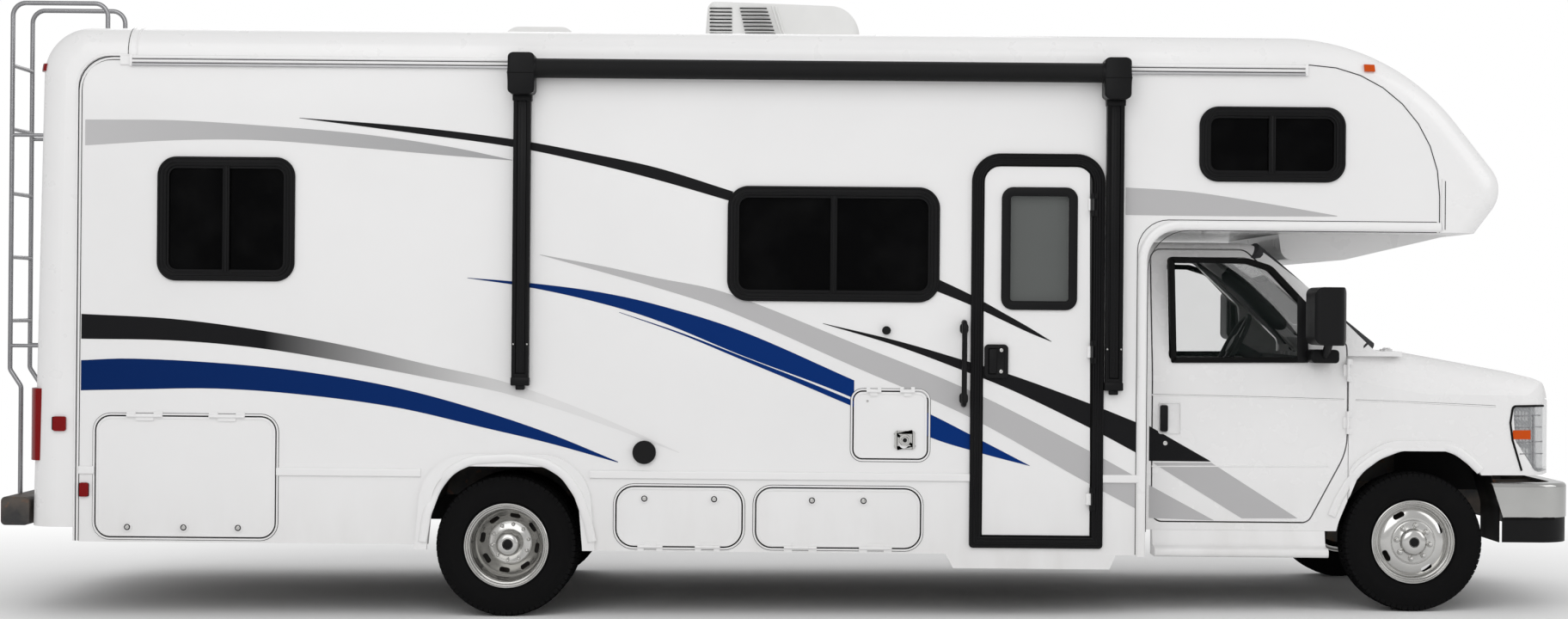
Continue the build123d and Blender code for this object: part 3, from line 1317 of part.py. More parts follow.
def barrel_profile(centre_y):
    """Profile of a rim with its two lips."""
    half = BARREL_HALF
    lip = half + LIP_THICK
    outer = BEAD_R - PIN_GAP
    inner = outer - BARREL_WALL
    return [
        (centre_y - lip, LIP_R - 12, 0),
        (centre_y - lip, LIP_R, 0),
        (centre_y - half - 0.3, LIP_R, 0),
        (centre_y - half - 0.3, outer, 0),
        (centre_y + half + 0.3, outer, 0),
        (centre_y + half + 0.3, LIP_R, 0),
        (centre_y + lip, LIP_R, 0),
        (centre_y + lip, LIP_R - 12, 0),
        (centre_y + half - 30, inner, 0),
        (centre_y - half + 30, inner, 0),
    ]


def pocket(axle_x, side, y, spindle_r, end_y):
    """The bearing hole that a spindle turns in."""
    start = (axle_x, side * y, TYRE_R)
    return rod(start, (axle_x, side * end_y, TYRE_R), spindle_r + PIN_GAP)


def front_wheel(side):
    """Front rim with its disc, hand holes, nuts and domed hub."""
    x = FRONT_AXLE_X
    inner = BEAD_R - PIN_GAP - BARREL_WALL
    wheel = turned(barrel_profile(FRONT_TYRE_Y), x, side)
    disc = [(930, inner + 4, 0), (966, 130, 60), (970, 60, 0), (956, 60, 0), (952, 125, 60), (915, inner + 4, 0)]
    wheel = wheel + turned(disc, x, side)
    for place in disc_pattern(FRONT_HAND_HOLES, 150, x, 0, turn=45):
        start = (place[0], side * 900, place[2])
        wheel = wheel - rod(start, (place[0], side * 1000, place[2]), HAND_HOLE_R)
    for place in disc_pattern(8, NUT_CIRCLE_R - 20, x, 0):
        wheel = wheel + rod((place[0], side * 955, place[2]), (place[0], side * 988, place[2]), NUT_R)
    hub = [(KNUCKLE_FACE_Y + PIN_GAP, 0, 0), (KNUCKLE_FACE_Y + PIN_GAP, DRUM_R, 0), (830, DRUM_R, 0), (830, HUB_R, 0),
           (FRONT_DOME_Y - 30, FRONT_DOME_R, 0), (FRONT_DOME_Y, FRONT_DOME_R - 20, 20), (FRONT_DOME_Y, 0, 0)]
    wheel = wheel + turned(hub, x, side)
    return wheel - pocket(x, side, KNUCKLE_FACE_Y - 10, SPINDLE_R, SPINDLE_END_Y + 5)


def rear_wheels(side):
    """The two rear rims of one side, bolted together on one hub."""
    x = REAR_AXLE_X
    inner = BEAD_R - PIN_GAP - BARREL_WALL
    wheels = turned(barrel_profile(REAR_OUTER_Y), x, side) + turned(barrel_profile(REAR_INNER_Y), x, side)
    y = REAR_DISC_Y
    outer_disc = [(REAR_OUTER_Y - 62, inner + 4, 0), (y + 12, REAR_FLANGE_R, 20), (y + 12, 60, 0), (y, 60, 0),
                  (y, REAR_FLANGE_R, 20), (REAR_OUTER_Y - 76, inner + 4, 0)]
    inner_disc = [(REAR_INNER_Y + 76, inner + 4, 0), (y, REAR_FLANGE_R, 20), (y, 60, 0), (y - 12, 60, 0),
                  (y - 12, REAR_FLANGE_R, 20), (REAR_INNER_Y + 62, inner + 4, 0)]
    wheels = wheels + turned(outer_disc, x, side) + turned(inner_disc, x, side)
    for place in disc_pattern(REAR_SLOTS, 158, x, 0):
        start = (place[0], side * (y - 120), place[2])
        wheels = wheels - rod(start, (place[0], side * (y + 90), place[2]), 15)
    for place in disc_pattern(8, NUT_CIRCLE_R - 7, x, 0, turn=22.5):
        start = (place[0], side * (y + 5), place[2])
        wheels = wheels + rod(start, (place[0], side * (y + 12 + NUT_LENGTH), place[2]), NUT_R)
    start_y = AXLE_TUBE_END_Y + PIN_GAP
    hub = [(start_y, 0, 0), (start_y, DRUM_R, 0), (start_y + 110, DRUM_R, 0), (start_y + 110, HUB_R, 0),
           (REAR_DOME_Y - 40, REAR_DOME_R, 0), (REAR_DOME_Y, REAR_DOME_R - 20, 20), (REAR_DOME_Y, 0, 0)]
    wheels = wheels + turned(hub, x, side)
    return wheels - pocket(x, side, AXLE_TUBE_END_Y - 10, SPINDLE_R, SPINDLE_END_Y + 5)


def knuckle(side):
    """Steering knuckle with its kingpin and spindle."""
    x = FRONT_AXLE_X
    web_y = span(side, KINGPIN_Y + EYE_R + 6, KNUCKLE_FACE_Y)
    part = block(x - 36, x + 36, *web_y, EYE_LOW_Z - KNUCKLE_ARM, EYE_HIGH_Z + KNUCKLE_ARM)
    arms = [(EYE_HIGH_Z + PIN_GAP, EYE_HIGH_Z + KNUCKLE_ARM), (EYE_LOW_Z - KNUCKLE_ARM, EYE_LOW_Z - PIN_GAP)]
    for z_low, z_high in arms:
        part = part + rod((x, side * KINGPIN_Y, z_low), (x, side * KINGPIN_Y, z_high), EYE_R)
        part = part + block(x - EYE_R, x + EYE_R, *span(side, KINGPIN_Y, KNUCKLE_FACE_Y), z_low, z_high)
    pin_z = (EYE_LOW_Z - KNUCKLE_ARM, EYE_HIGH_Z + KNUCKLE_ARM)
    part = part + rod((x, side * KINGPIN_Y, pin_z[0]), (x, side * KINGPIN_Y, pin_z[1]), KINGPIN_R)
    spindle = rod((x, side * (KNUCKLE_FACE_Y - 10), TYRE_R), (x, side * SPINDLE_END_Y, TYRE_R), SPINDLE_R)
    return part + spindle


for side in (-1, 1):
    name = DOOR_NAMES[side]
    write(f"knuckle_{name}", [knuckle(side)], level=False)
    write(f"front_tyre_{name}", [tyre(FRONT_AXLE_X, side, FRONT_TYRE_Y)], level=False)
    write(f"front_wheel_{name}", [front_wheel(side)], level=False)
    pair = [tyre(REAR_AXLE_X, side, REAR_OUTER_Y), tyre(REAR_AXLE_X, side, REAR_INNER_Y)]
    write(f"rear_tyres_{name}", pair, level=False)
    write(f"rear_wheels_{name}", [rear_wheels(side)], level=False)

# Cab interior
seats = []
for side in (-1, 1):
    y_low, y_high = span(side, 190, 690)
    cushion = side_prism(
        [(1975, 990, 20), (1975, 1120, 30), (2470, 1140, 60), (2480, 1000, 50)], y_low, y_high)
    back = side_prism([(1865, 990, 20), (1865, 1330, 40), (1975, 1330, 40), (1985, 1100, 20), (1985, 990, 0)],
                      y_low + 20, y_high - 20)
    base = block(1980, 2400, y_low + 60, y_high - 60, FLOOR_TOP_Z, 995)
    seats.append(cushion + back + base)
write("seats", seats)

dash = side_prism(
    [
        (FIREWALL_X - 27 - SEAT_GAP, 950, 0),
        (FIREWALL_X - 27 - SEAT_GAP, 1385, 30),
        (2800, 1395, 60),
        (2730, 1330, 50),
        (2760, 1000, 40),
    ],
    -CAB_HALF,
    CAB_HALF,
)
dash = dash & cab_inner
dash = dash & block(0, FAR, -CAB_HALF + CAB_WALL + 25, CAB_HALF - CAB_WALL - 25, 0, FAR)
wheel_centre = (WHEEL_X, WHEEL_Y, WHEEL_Z)
lean = Plane(origin=wheel_centre, z_dir=(-math.cos(WHEEL_LEAN), 0, math.sin(WHEEL_LEAN)))
rim = lean * Torus(WHEEL_R, 14)
spokes = lean * (Cylinder(55, 30) + Box(2 * WHEEL_R, 40, 14))
column_end = (WHEEL_X + 260 * math.cos(WHEEL_LEAN), WHEEL_Y, WHEEL_Z - 260 * math.sin(WHEEL_LEAN))
column = rod(wheel_centre, column_end, 35)
write("cockpit", [dash + column + rim + spokes])

# Awning
awning = []
for x in AWNING_X:
    wide, low, high, deep = AWNING_HEAD
    y_wall = -HOUSE_HALF
    y_arm = y_wall - AWNING_ARM_DEEP
    y_seat = y_wall - AWNING_SEAT
    half = AWNING_ARM_WIDE / 2
    arm = block(x - half, x + half, y_arm, y_seat, AWNING_ARM_LOW_Z, low + 20)
    groove_half = half - AWNING_CHANNEL_WALL
    groove = block(x - groove_half, x + groove_half, y_arm - 1, y_arm + 18, AWNING_ARM_LOW_Z + 60, low - 10)
    head = side_prism(frame_corners(x - wide / 2, x + wide / 2, low, high, 25), y_wall - deep, y_seat)
    awning.append(arm - groove + head)
roll_x = (AWNING_X[0] + 60, AWNING_X[1] - 60)
roll = rod((roll_x[0], AWNING_ROLL_Y, AWNING_ROLL_Z), (roll_x[1], AWNING_ROLL_Y, AWNING_ROLL_Z), AWNING_ROLL_R)
rail_y = (-HOUSE_HALF - RAIL_PROUD - SEAT_GAP, -HOUSE_HALF)
rail_room = block(-FAR, FAR, *rail_y, RAIL_Z - RAIL_TALL, RAIL_Z + RAIL_TALL)
write("awning_arms", [arm - roll - rail_room for arm in awning])
write("awning_roll", [roll])

# Roof units
x_low, x_high, half = COOLER
cooler = side_prism(
    [
        (x_low, ROOF_TOP_Z, 0),
        (x_low + 20, COOLER_TOP_Z, 45),
        (x_high - 5, COOLER_TOP_Z - 22, 170),
        (x_high, ROOF_TOP_Z, 0),
    ],
    -half,
    half,
)
cooler = cooler & plan_prism(
    [(x_low, -half, 70), (x_low, half, 70), (x_high, half - 30, 120), (x_high, -half + 30, 120)], 0, FAR)
seat = roof + crown
units = [cooler - seat]
x_low, x_high, half, top = DOME_VENT
dome = side_prism(
    [(x_low, ROOF_TOP_Z, 0), (x_low + 30, top, 90), (x_high - 30, top, 90), (x_high, ROOF_TOP_Z, 0)], -half, half)
units.append((dome & plan_prism(
    [(x_low, -half, 50), (x_low, half, 50), (x_high, half, 50), (x_high, -half, 50)], 0, FAR)) - seat)
x_low, x_high, half, top = LOW_VENT
units.append(block(x_low, x_high, -half, half, ROOF_TOP_Z, top) - seat)
write("roof_units", units)

# Ladder
def rear_face_x(z):
    """Where the rear face lies at a height."""
    return REAR_FACE_X + (REAR_TOP_X - REAR_FACE_X) * (z - CAP_BOTTOM_Z) / (ROOF_Z - CAP_BOTTOM_Z)


def cap_top_z(x):
    """Height of the rounded top edge of the rear cap."""
    lean = math.atan2(REAR_TOP_X - REAR_FACE_X, ROOF_Z - CAP_BOTTOM_Z)
    middle_x = REAR_TOP_X + CAP_TOP_R * math.tan(math.pi / 4 - lean / 2)
    if x > middle_x:
        return ROOF_Z
    return ROOF_Z - CAP_TOP_R + math.sqrt(CAP_TOP_R ** 2 - (middle_x - x) ** 2)


ladder = None
for y in LADDER_Y:
    points = [
        (LADDER_LOW_X, y, REAR_BUMPER[3] + SEAT_GAP),
        (LADDER_LOW_X, y, LADDER_JOG_Z[0]),
        (LADDER_X, y, LADDER_JOG_Z[1]),
        (LADDER_X, y, LADDER_TOP_Z),
        (LADDER_ROOF_X, y, LADDER_TOP_Z),
        (LADDER_ROOF_X, y, cap_top_z(LADDER_ROOF_X + LADDER_R) + SEAT_GAP),
    ]
    rail = tube(points, [40, 40, LADDER_BEND_R, LADDER_BEND_R], LADDER_R)
    for z in STANDOFF_Z:
        rail = rail + rod((LADDER_X, y, z), (rear_face_x(z - STANDOFF_R) - SEAT_GAP, y, z), STANDOFF_R)
    ladder = rail if ladder is None else ladder + rail
for z in RUNG_Z:
    ladder = ladder + rod((LADDER_X, LADDER_Y[0], z), (LADDER_X, LADDER_Y[1], z), RUNG_R)
write("ladder", [ladder])

# Rear bumper and hitch receiver
x_low, x_high, z_low, z_high = REAR_BUMPER
beam_face = [(x_low, z_low, REAR_BUMPER_R), (x_low, z_high, REAR_BUMPER_R),
             (x_high, z_high, REAR_BUMPER_R), (x_high, z_low, REAR_BUMPER_R)]
rear_bumper = side_prism(beam_face, -REAR_BUMPER_HALF, REAR_BUMPER_HALF)
half = HITCH_OUTER / 2
bore = HITCH_INNER / 2
socket = block(HITCH_REAR_X, HITCH_FRONT_X, -half, half, HITCH_Z - half, HITCH_Z + half)
post = block(x_low + 20, x_high - 20, -40, 40, HITCH_Z + half - 2, z_low + 5)
rear_bumper = rear_bumper + socket + post
rear_bumper = rear_bumper - block(HITCH_REAR_X - 1, HITCH_FRONT_X + 1, -bore, bore, HITCH_Z - bore, HITCH_Z + bore)
rear_bumper = rear_bumper - rod((HITCH_PIN_X, -60, HITCH_Z), (HITCH_PIN_X, 60, HITCH_Z), HITCH_PIN_R)
write("rear_bumper", [rear_bumper])

# Lamps follow the skin that they stand on
lamp_skin = house_envelope(-LAMP_PROUD)


def lamp(region):
    """A lens over the part of the house's outside that lies in a region."""
    return (lamp_skin & region) - house_outer


row_half = HOUSE_HALF - LAMP_ROW_INSET
row_places = (-row_half, -LAMP_ROW_PITCH, 0, LAMP_ROW_PITCH, row_half)
reds = []
ambers = []
for side in (-1, 1):
    for x_low, x_high, z_low, z_high in SIDE_REDS:
        corners = frame_corners(x_low, x_high, z_low, z_high, 12)
        reds.append(lamp(side_prism(corners, *span(side, HOUSE_HALF / 2, FAR))))
    tail_y = span(side, HOUSE_HALF - TAIL_FROM_SIDE[0], HOUSE_HALF - TAIL_FROM_SIDE[1])
    reds.append(lamp(block(-FAR, REAR_TOP_X + LAMP_DEEP, *tail_y, *TAIL_Z)))
for y in row_places:
    lamp_y = (y - ROW_LAMP_LONG / 2, y + ROW_LAMP_LONG / 2)
    reds.append(lamp(block(-FAR, REAR_TOP_X + LAMP_DEEP, *lamp_y, HIGH_LAMP_Z - ROW_LAMP_TALL, HIGH_LAMP_Z)))
    low_z = BROW_LAMP_Z if abs(y) == row_half else BROW_TOP_Z
    high_z = BROW_LAMP_Z + ROW_LAMP_TALL if abs(y) == row_half else FAR
    outward = span(math.copysign(1, y), HOUSE_HALF - 100, FAR) if abs(y) == row_half else lamp_y
    ambers.append(lamp(block(BROW_LAMP_X, BROW_LAMP_X + ROW_LAMP_DEEP, *outward, low_z, high_z)))
write("red_lamps", reds)
write("amber_lamps", ambers)

# Fittings on the door side
fittings = [
    rod((FILLER[0], -HOUSE_HALF, FILLER[1]), (FILLER[0], -HOUSE_HALF - 22, FILLER[1]), FILLER[2]),
    rod((KNOB[0], -HOUSE_HALF, KNOB[1]), (KNOB[0], -HOUSE_HALF - 30, KNOB[1]), KNOB[2]),
]
x, low, high = GRAB
grab = tube(
    [(x, -HOUSE_HALF, low), (x, -HOUSE_HALF - 60, low), (x, -HOUSE_HALF - 60, high), (x, -HOUSE_HALF, high)], 30, 14)
write("side_fittings", fittings + [grab])
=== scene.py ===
"""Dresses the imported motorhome: a finish for every node, and the modelled wheels, trim and fittings."""

from __future__ import annotations

import json
import logging
import math
from dataclasses import dataclass, field
from enum import Enum
from typing import Callable, Iterable, Optional, Sequence

import bpy
from mathutils import Matrix, Vector

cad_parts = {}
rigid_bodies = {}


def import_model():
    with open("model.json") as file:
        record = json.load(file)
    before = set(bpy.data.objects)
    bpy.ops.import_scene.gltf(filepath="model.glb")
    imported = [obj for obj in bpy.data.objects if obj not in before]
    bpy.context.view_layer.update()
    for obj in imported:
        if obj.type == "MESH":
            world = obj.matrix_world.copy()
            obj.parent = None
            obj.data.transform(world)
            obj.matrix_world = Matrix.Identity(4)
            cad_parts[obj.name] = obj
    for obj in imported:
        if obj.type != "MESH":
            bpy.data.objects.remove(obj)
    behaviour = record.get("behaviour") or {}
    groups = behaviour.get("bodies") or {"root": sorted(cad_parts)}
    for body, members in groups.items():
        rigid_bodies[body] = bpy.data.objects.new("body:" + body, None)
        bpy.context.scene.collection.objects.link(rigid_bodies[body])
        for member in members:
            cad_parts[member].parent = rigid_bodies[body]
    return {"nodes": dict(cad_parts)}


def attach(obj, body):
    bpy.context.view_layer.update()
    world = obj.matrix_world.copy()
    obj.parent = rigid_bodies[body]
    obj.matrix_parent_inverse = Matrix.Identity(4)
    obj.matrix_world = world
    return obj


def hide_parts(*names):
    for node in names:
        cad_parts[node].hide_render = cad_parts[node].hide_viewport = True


LOG = logging.getLogger("motorhome")

Colour = tuple[float, float, float]
Point = tuple[float, float, float]
Flat = tuple[float, float]

# The body stands nose down by RAKE about the rear axle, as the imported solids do.
RAKE = math.radians(0.5)
REAR_AXLE_X = -1.494
FRONT_AXLE_X = 3.332
AXLE_Z = 0.372
WALL_Y = 1.25
PIVOT = Matrix.Translation((REAR_AXLE_X, 0, AXLE_Z))
LEVEL_TO_ROAD = PIVOT @ Matrix.Rotation(RAKE, 4, "Y") @ PIVOT.inverted()

# The photograph's frame and the distance that it was taken from
PHOTO_WIDE = 1824
PHOTO_TALL = 720
FOCAL_PIXELS = 2889.0
SENSOR_MM = 36.0
CAMERA_X = -0.032
CAMERA_Y = -14.25
CAMERA_Z = 1.615
WALL_SCALE = (abs(CAMERA_Y) - WALL_Y) / FOCAL_PIXELS


# The bodies that carry a piece of the right side and its mirror image
CAB_DOORS = ("cab_door_right", "cab_door_left")
HOUSE_SIDES = ("motorhome", "motorhome")


class Side(Enum):
    """The two sides of the vehicle, by the sign of y."""

    RIGHT = -1
    LEFT = 1

    @property
    def word(self) -> str:
        """The side's name as the nodes spell it."""
        return self.name.lower()


class Axis(Enum):
    """Axes that a piece is turned about."""

    Y = (0.0, 1.0, 0.0)


# Finishes

# The part of a noise's range that most of its values lie in
MIDDLE_NOISE = (0.3, 0.7)
ROAD_DUST = (0.42, 0.39, 0.35)


class NodeSheet:
    """A material under work, with its shader and short ways to add and join nodes."""

    def __init__(self, name: str) -> None:
        """Start a material.

        Args:
            name: The material's name.
        """
        self.material = bpy.data.materials.new(name)
        self.material.use_nodes = True
        self.tree = self.material.node_tree
        self.shader = self.tree.nodes["Principled BSDF"]
        self._place: Optional[bpy.types.NodeSocket] = None

    def add(self, kind: str, sockets: Optional[dict] = None, **settings: object) -> bpy.types.Node:
        """Add a node.

        Args:
            kind: The node's type.
            sockets: Input values by name or number; a socket as a value is linked.
            **settings: The node's own properties.

        Returns:
            The new node.
        """
        node = self.tree.nodes.new(kind)
        for key, value in settings.items():
            setattr(node, key, value)
        for key, value in (sockets or {}).items():
            if isinstance(value, bpy.types.NodeSocket):
                self.tree.links.new(value, node.inputs[key])
            else:
                node.inputs[key].default_value = value
        return node

    def place(self) -> bpy.types.NodeSocket:
        """The object coordinates' socket."""
        if self._place is None:
            self._place = self.add("ShaderNodeTexCoord").outputs["Object"]
        return self._place

    def noise(
        self, scale: float, detail: float = 3.0, stretch: Point = (1.0, 1.0, 1.0)
    ) -> bpy.types.NodeSocket:
        """Smooth noise over the object.

        Args:
            scale: Waves to a metre.
            detail: Octaves.
            stretch: How much denser the noise is along each axis.

        Returns:
            The noise's value.
        """
        mapped = self.add("ShaderNodeMapping", {"Vector": self.place(), "Scale": stretch})
        node = self.add(
            "ShaderNodeTexNoise", {"Vector": mapped.outputs[0], "Scale": scale, "Detail": detail}
        )
        return node.outputs["Fac"]

    def height(self) -> bpy.types.NodeSocket:
        """Height above the ground."""
        return self.add("ShaderNodeSeparateXYZ", {0: self.place()}).outputs["Z"]

    def spread(self, value: bpy.types.NodeSocket, before: Flat, after: Flat) -> bpy.types.NodeSocket:
        """Carry a value from one range to another and hold it inside.

        Args:
            value: The socket to carry over.
            before: Its range.
            after: The range that it gets.

        Returns:
            The new value.
        """
        sockets = {0: value, 1: before[0], 2: before[1], 3: after[0], 4: after[1]}
        return self.add("ShaderNodeMapRange", sockets).outputs[0]

    def mix(self, share: bpy.types.NodeSocket, first: object, second: object) -> bpy.types.NodeSocket:
        """Mix two colours.

        Args:
            share: How much of the second shows.
            first: A colour or a socket.
            second: A colour or a socket.

        Returns:
            The mixed colour.
        """
        node = self.add("ShaderNodeMix", data_type="RGBA")
        self.tree.links.new(share, node.inputs[0])
        for number, value in ((6, first), (7, second)):
            if isinstance(value, bpy.types.NodeSocket):
                self.tree.links.new(value, node.inputs[number])
            else:
                node.inputs[number].default_value = (*value, 1.0)
        return node.outputs[2]

    def bump(self, height: bpy.types.NodeSocket, depth: float, strength: float = 0.5) -> None:
        """Raise the surface by a height, after any bump that is there.

        Args:
            height: The height's socket.
            depth: Metres from low to high.
            strength: How much of it shows.
        """
        node = self.add("ShaderNodeBump", {"Height": height, "Distance": depth, "Strength": strength})
        before = self.shader.inputs["Normal"].links
        if before:
            self.tree.links.new(before[0].from_socket, node.inputs["Normal"])
        self.tree.links.new(node.outputs[0], self.shader.inputs["Normal"])

    def wander_gloss(self, scale: float, low: float, high: float, detail: float = 3.0) -> None:
        """Let the roughness drift between two values over the surface."""
        self.feed("Roughness", self.spread(self.noise(scale, detail), MIDDLE_NOISE, (low, high)))

    def wander_tone(self, scale: float, first: Colour, second: Colour) -> None:
        """Let patches of a second colour show through the first."""
        share = self.spread(self.noise(scale), (0.4, 0.8), (0.0, 0.6))
        self.feed("Base Color", self.mix(share, first, second))

    def feed(self, name: str, value: object) -> None:
        """Set or link one input of the shader."""
        if isinstance(value, bpy.types.NodeSocket):
            self.tree.links.new(value, self.shader.inputs[name])
        elif isinstance(value, tuple) and len(value) == 3:
            self.shader.inputs[name].default_value = (*value, 1.0)
        else:
            self.shader.inputs[name].default_value = value


@dataclass(frozen=True)
class Finish:
    """A surface finish: its colour and gloss, and the record's slot that it belongs to."""

    name: str
    slot: str
    colour: Colour
    roughness: float

    def material(self) -> bpy.types.Material:
        """The finish's material, made once."""
        made = bpy.data.materials.get(f"{self.name}_finish")
        if made is None:
            sheet = NodeSheet(f"{self.name}_finish")
            sheet.feed("Base Color", self.colour)
            sheet.feed("Roughness", self.roughness)
            self.detail(sheet)
            made = sheet.material
        return made

    def detail(self, sheet: NodeSheet) -> None:
        """Add what sets the finish apart from a flat colour."""


@dataclass(frozen=True)
class Paint(Finish):
    """Enamel or gel coat: a clear top layer, a fine ripple, and road film low down."""

    ripple: float = 0.0006
    film: float = 0.25
    coat: float = 0.35
    coat_roughness: float = 0.06
    dulled_share: float = 0.93
    # Heights in metres where the road film ends and where it is full
    film_heights: Flat = (0.75, 0.28)

    def detail(self, sheet: NodeSheet) -> None:
        """Add the top layer, the ripple, slow changes of tone and the road film."""
        sheet.feed("Coat Weight", self.coat)
        sheet.feed("Coat Roughness", self.coat_roughness)
        dulled = tuple(value * self.dulled_share for value in self.colour)
        tone = sheet.mix(sheet.spread(sheet.noise(1.3), (0.35, 0.75), (0.0, 0.5)), self.colour, dulled)
        low = sheet.spread(sheet.height(), self.film_heights, (0.0, self.film))
        streaks = sheet.spread(sheet.noise(7.0, 6.0, (1.0, 1.0, 0.25)), (0.3, 0.8), (0.0, 1.0))
        share = sheet.add("ShaderNodeMath", {0: low, 1: streaks}, operation="MULTIPLY").outputs[0]
        sheet.feed("Base Color", sheet.mix(share, tone, ROAD_DUST))
        sheet.wander_gloss(9.0, self.roughness, self.roughness + 0.08)
        sheet.bump(sheet.noise(2.2, 2.0), self.ripple, 0.25)


@dataclass(frozen=True)
class EntryPaint(Paint):
    """Wall enamel that turns black along the entry door's hinge edge."""

    hinge_x: float = 1.569
    hinge_black: Colour = (0.006, 0.006, 0.0065)

    def detail(self, sheet: NodeSheet) -> None:
        """Add the enamel and then the black of the hinges."""
        super().detail(sheet)
        base = sheet.shader.inputs["Base Color"].links[0].from_socket
        split = sheet.add("ShaderNodeSeparateXYZ", {0: sheet.place()})
        beyond = sheet.add(
            "ShaderNodeMath", {0: split.outputs["X"], 1: self.hinge_x}, operation="GREATER_THAN"
        )
        sheet.feed("Base Color", sheet.mix(beyond.outputs[0], base, self.hinge_black))


@dataclass(frozen=True)
class Metal(Finish):
    """Bare or plated metal with faint smears, and drawn lines where it is brushed."""

    brushed: float = 0.0
    smear: float = 0.08
    worn_share: float = 0.86

    def detail(self, sheet: NodeSheet) -> None:
        """Add the smears and the drawn lines."""
        sheet.feed("Metallic", 1.0)
        smears = sheet.noise(14.0, 5.0, (1.0, 1.0, 2.0))
        sheet.feed(
            "Roughness", sheet.spread(smears, (0.35, 0.75), (self.roughness, self.roughness + self.smear))
        )
        worn = tuple(value * self.worn_share for value in self.colour)
        sheet.wander_tone(5.0, self.colour, worn)
        if self.brushed:
            sheet.bump(sheet.noise(60.0, 2.0, (1.0, 1.0, 40.0)), self.brushed, 0.4)


@dataclass(frozen=True)
class Rubber(Finish):
    """Tyre rubber: fine grain, and dust that lightens it in patches."""

    dust: Colour = (0.011, 0.0105, 0.01)
    grain: float = 0.0004

    def detail(self, sheet: NodeSheet) -> None:
        """Add grain and dust."""
        dust = sheet.spread(sheet.noise(11.0, 6.0), (0.42, 0.75), (0.0, 0.3))
        sheet.feed("Base Color", sheet.mix(dust, self.colour, self.dust))
        sheet.wander_gloss(23.0, self.roughness - 0.1, self.roughness)
        sheet.feed("Specular IOR Level", 0.0)
        sheet.bump(sheet.noise(900.0, 2.0), self.grain, 0.35)


@dataclass(frozen=True)
class Moulded(Finish):
    """Moulded plastic or powder coat with a fine leathery grain."""

    grain: float = 0.0003
    pitch: float = 700.0
    shine: float = 0.12

    def detail(self, sheet: NodeSheet) -> None:
        """Add the grain and slow changes of gloss and tone."""
        sheet.feed("Specular IOR Level", self.shine)
        cells = sheet.add("ShaderNodeTexVoronoi", {"Vector": sheet.place(), "Scale": self.pitch})
        sheet.bump(cells.outputs["Distance"], self.grain, 0.3)
        sheet.wander_gloss(6.0, self.roughness - 0.06, self.roughness + 0.06, 4.0)
        faded = tuple(min(1.0, value * 1.2 + 0.002) for value in self.colour)
        sheet.wander_tone(2.5, self.colour, faded)


@dataclass(frozen=True)
class Glazing(Finish):
    """Tinted pane: how much it hides, and a film of dust along its foot."""

    cover: float = 0.9
    shine: float = 0.5
    dust: Colour = (0.25, 0.25, 0.25)

    def detail(self, sheet: NodeSheet) -> None:
        """Add the tint's cover and a trace of dust."""
        sheet.feed("Specular IOR Level", self.shine)
        dust = sheet.spread(sheet.noise(4.0, 5.0), (0.45, 0.85), (0.0, 0.015))
        share = sheet.add("ShaderNodeMath", {0: dust, 1: self.cover}, operation="ADD", use_clamp=True)
        sheet.feed("Alpha", share.outputs[0])
        sheet.feed("Base Color", sheet.mix(dust, self.colour, self.dust))
        sheet.bump(sheet.noise(1.1, 1.0), 0.0008, 0.15)


@dataclass(frozen=True)
class Lens(Finish):
    """Lamp lens with ribs moulded inside it."""

    cover: float = 1.0
    ribs: float = 90.0
    rib_depth: float = 0.0008
    deep_share: float = 0.55

    def detail(self, sheet: NodeSheet) -> None:
        """Add the ribs and the clear layer over them."""
        sheet.feed("Coat Weight", 0.05)
        sheet.feed("Specular IOR Level", 0.12)
        sheet.feed("Alpha", self.cover)
        wave = sheet.add(
            "ShaderNodeTexWave", {"Vector": sheet.place(), "Scale": self.ribs}, bands_direction="DIAGONAL"
        )
        sheet.bump(wave.outputs["Fac"], self.rib_depth, 0.5)
        deep = tuple(value * self.deep_share for value in self.colour)
        sheet.feed("Base Color", sheet.mix(wave.outputs["Fac"], deep, self.colour))


@dataclass(frozen=True)
class Woven(Finish):
    """Woven cloth or vinyl-coated cloth: crossing threads with a soft sheen."""

    thread: float = 420.0
    depth: float = 0.0005
    sheen: float = 0.25
    dark_share: float = 0.6

    def detail(self, sheet: NodeSheet) -> None:
        """Add the threads both ways and the sheen."""
        sheet.feed("Sheen Weight", self.sheen)
        sheet.feed("Specular IOR Level", 0.15)
        heights = []
        for direction in ("X", "Z"):
            sockets = {"Vector": sheet.place(), "Scale": self.thread, "Distortion": 0.6, "Detail": 1.0}
            heights.append(
                sheet.add("ShaderNodeTexWave", sockets, bands_direction=direction).outputs["Fac"]
            )
        both = sheet.add(
            "ShaderNodeMath", {0: heights[0], 1: heights[1]}, operation="MULTIPLY"
        ).outputs[0]
        sheet.bump(both, self.depth, 0.6)
        dark = tuple(value * self.dark_share for value in self.colour)
        sheet.feed("Base Color", sheet.mix(both, dark, self.colour))


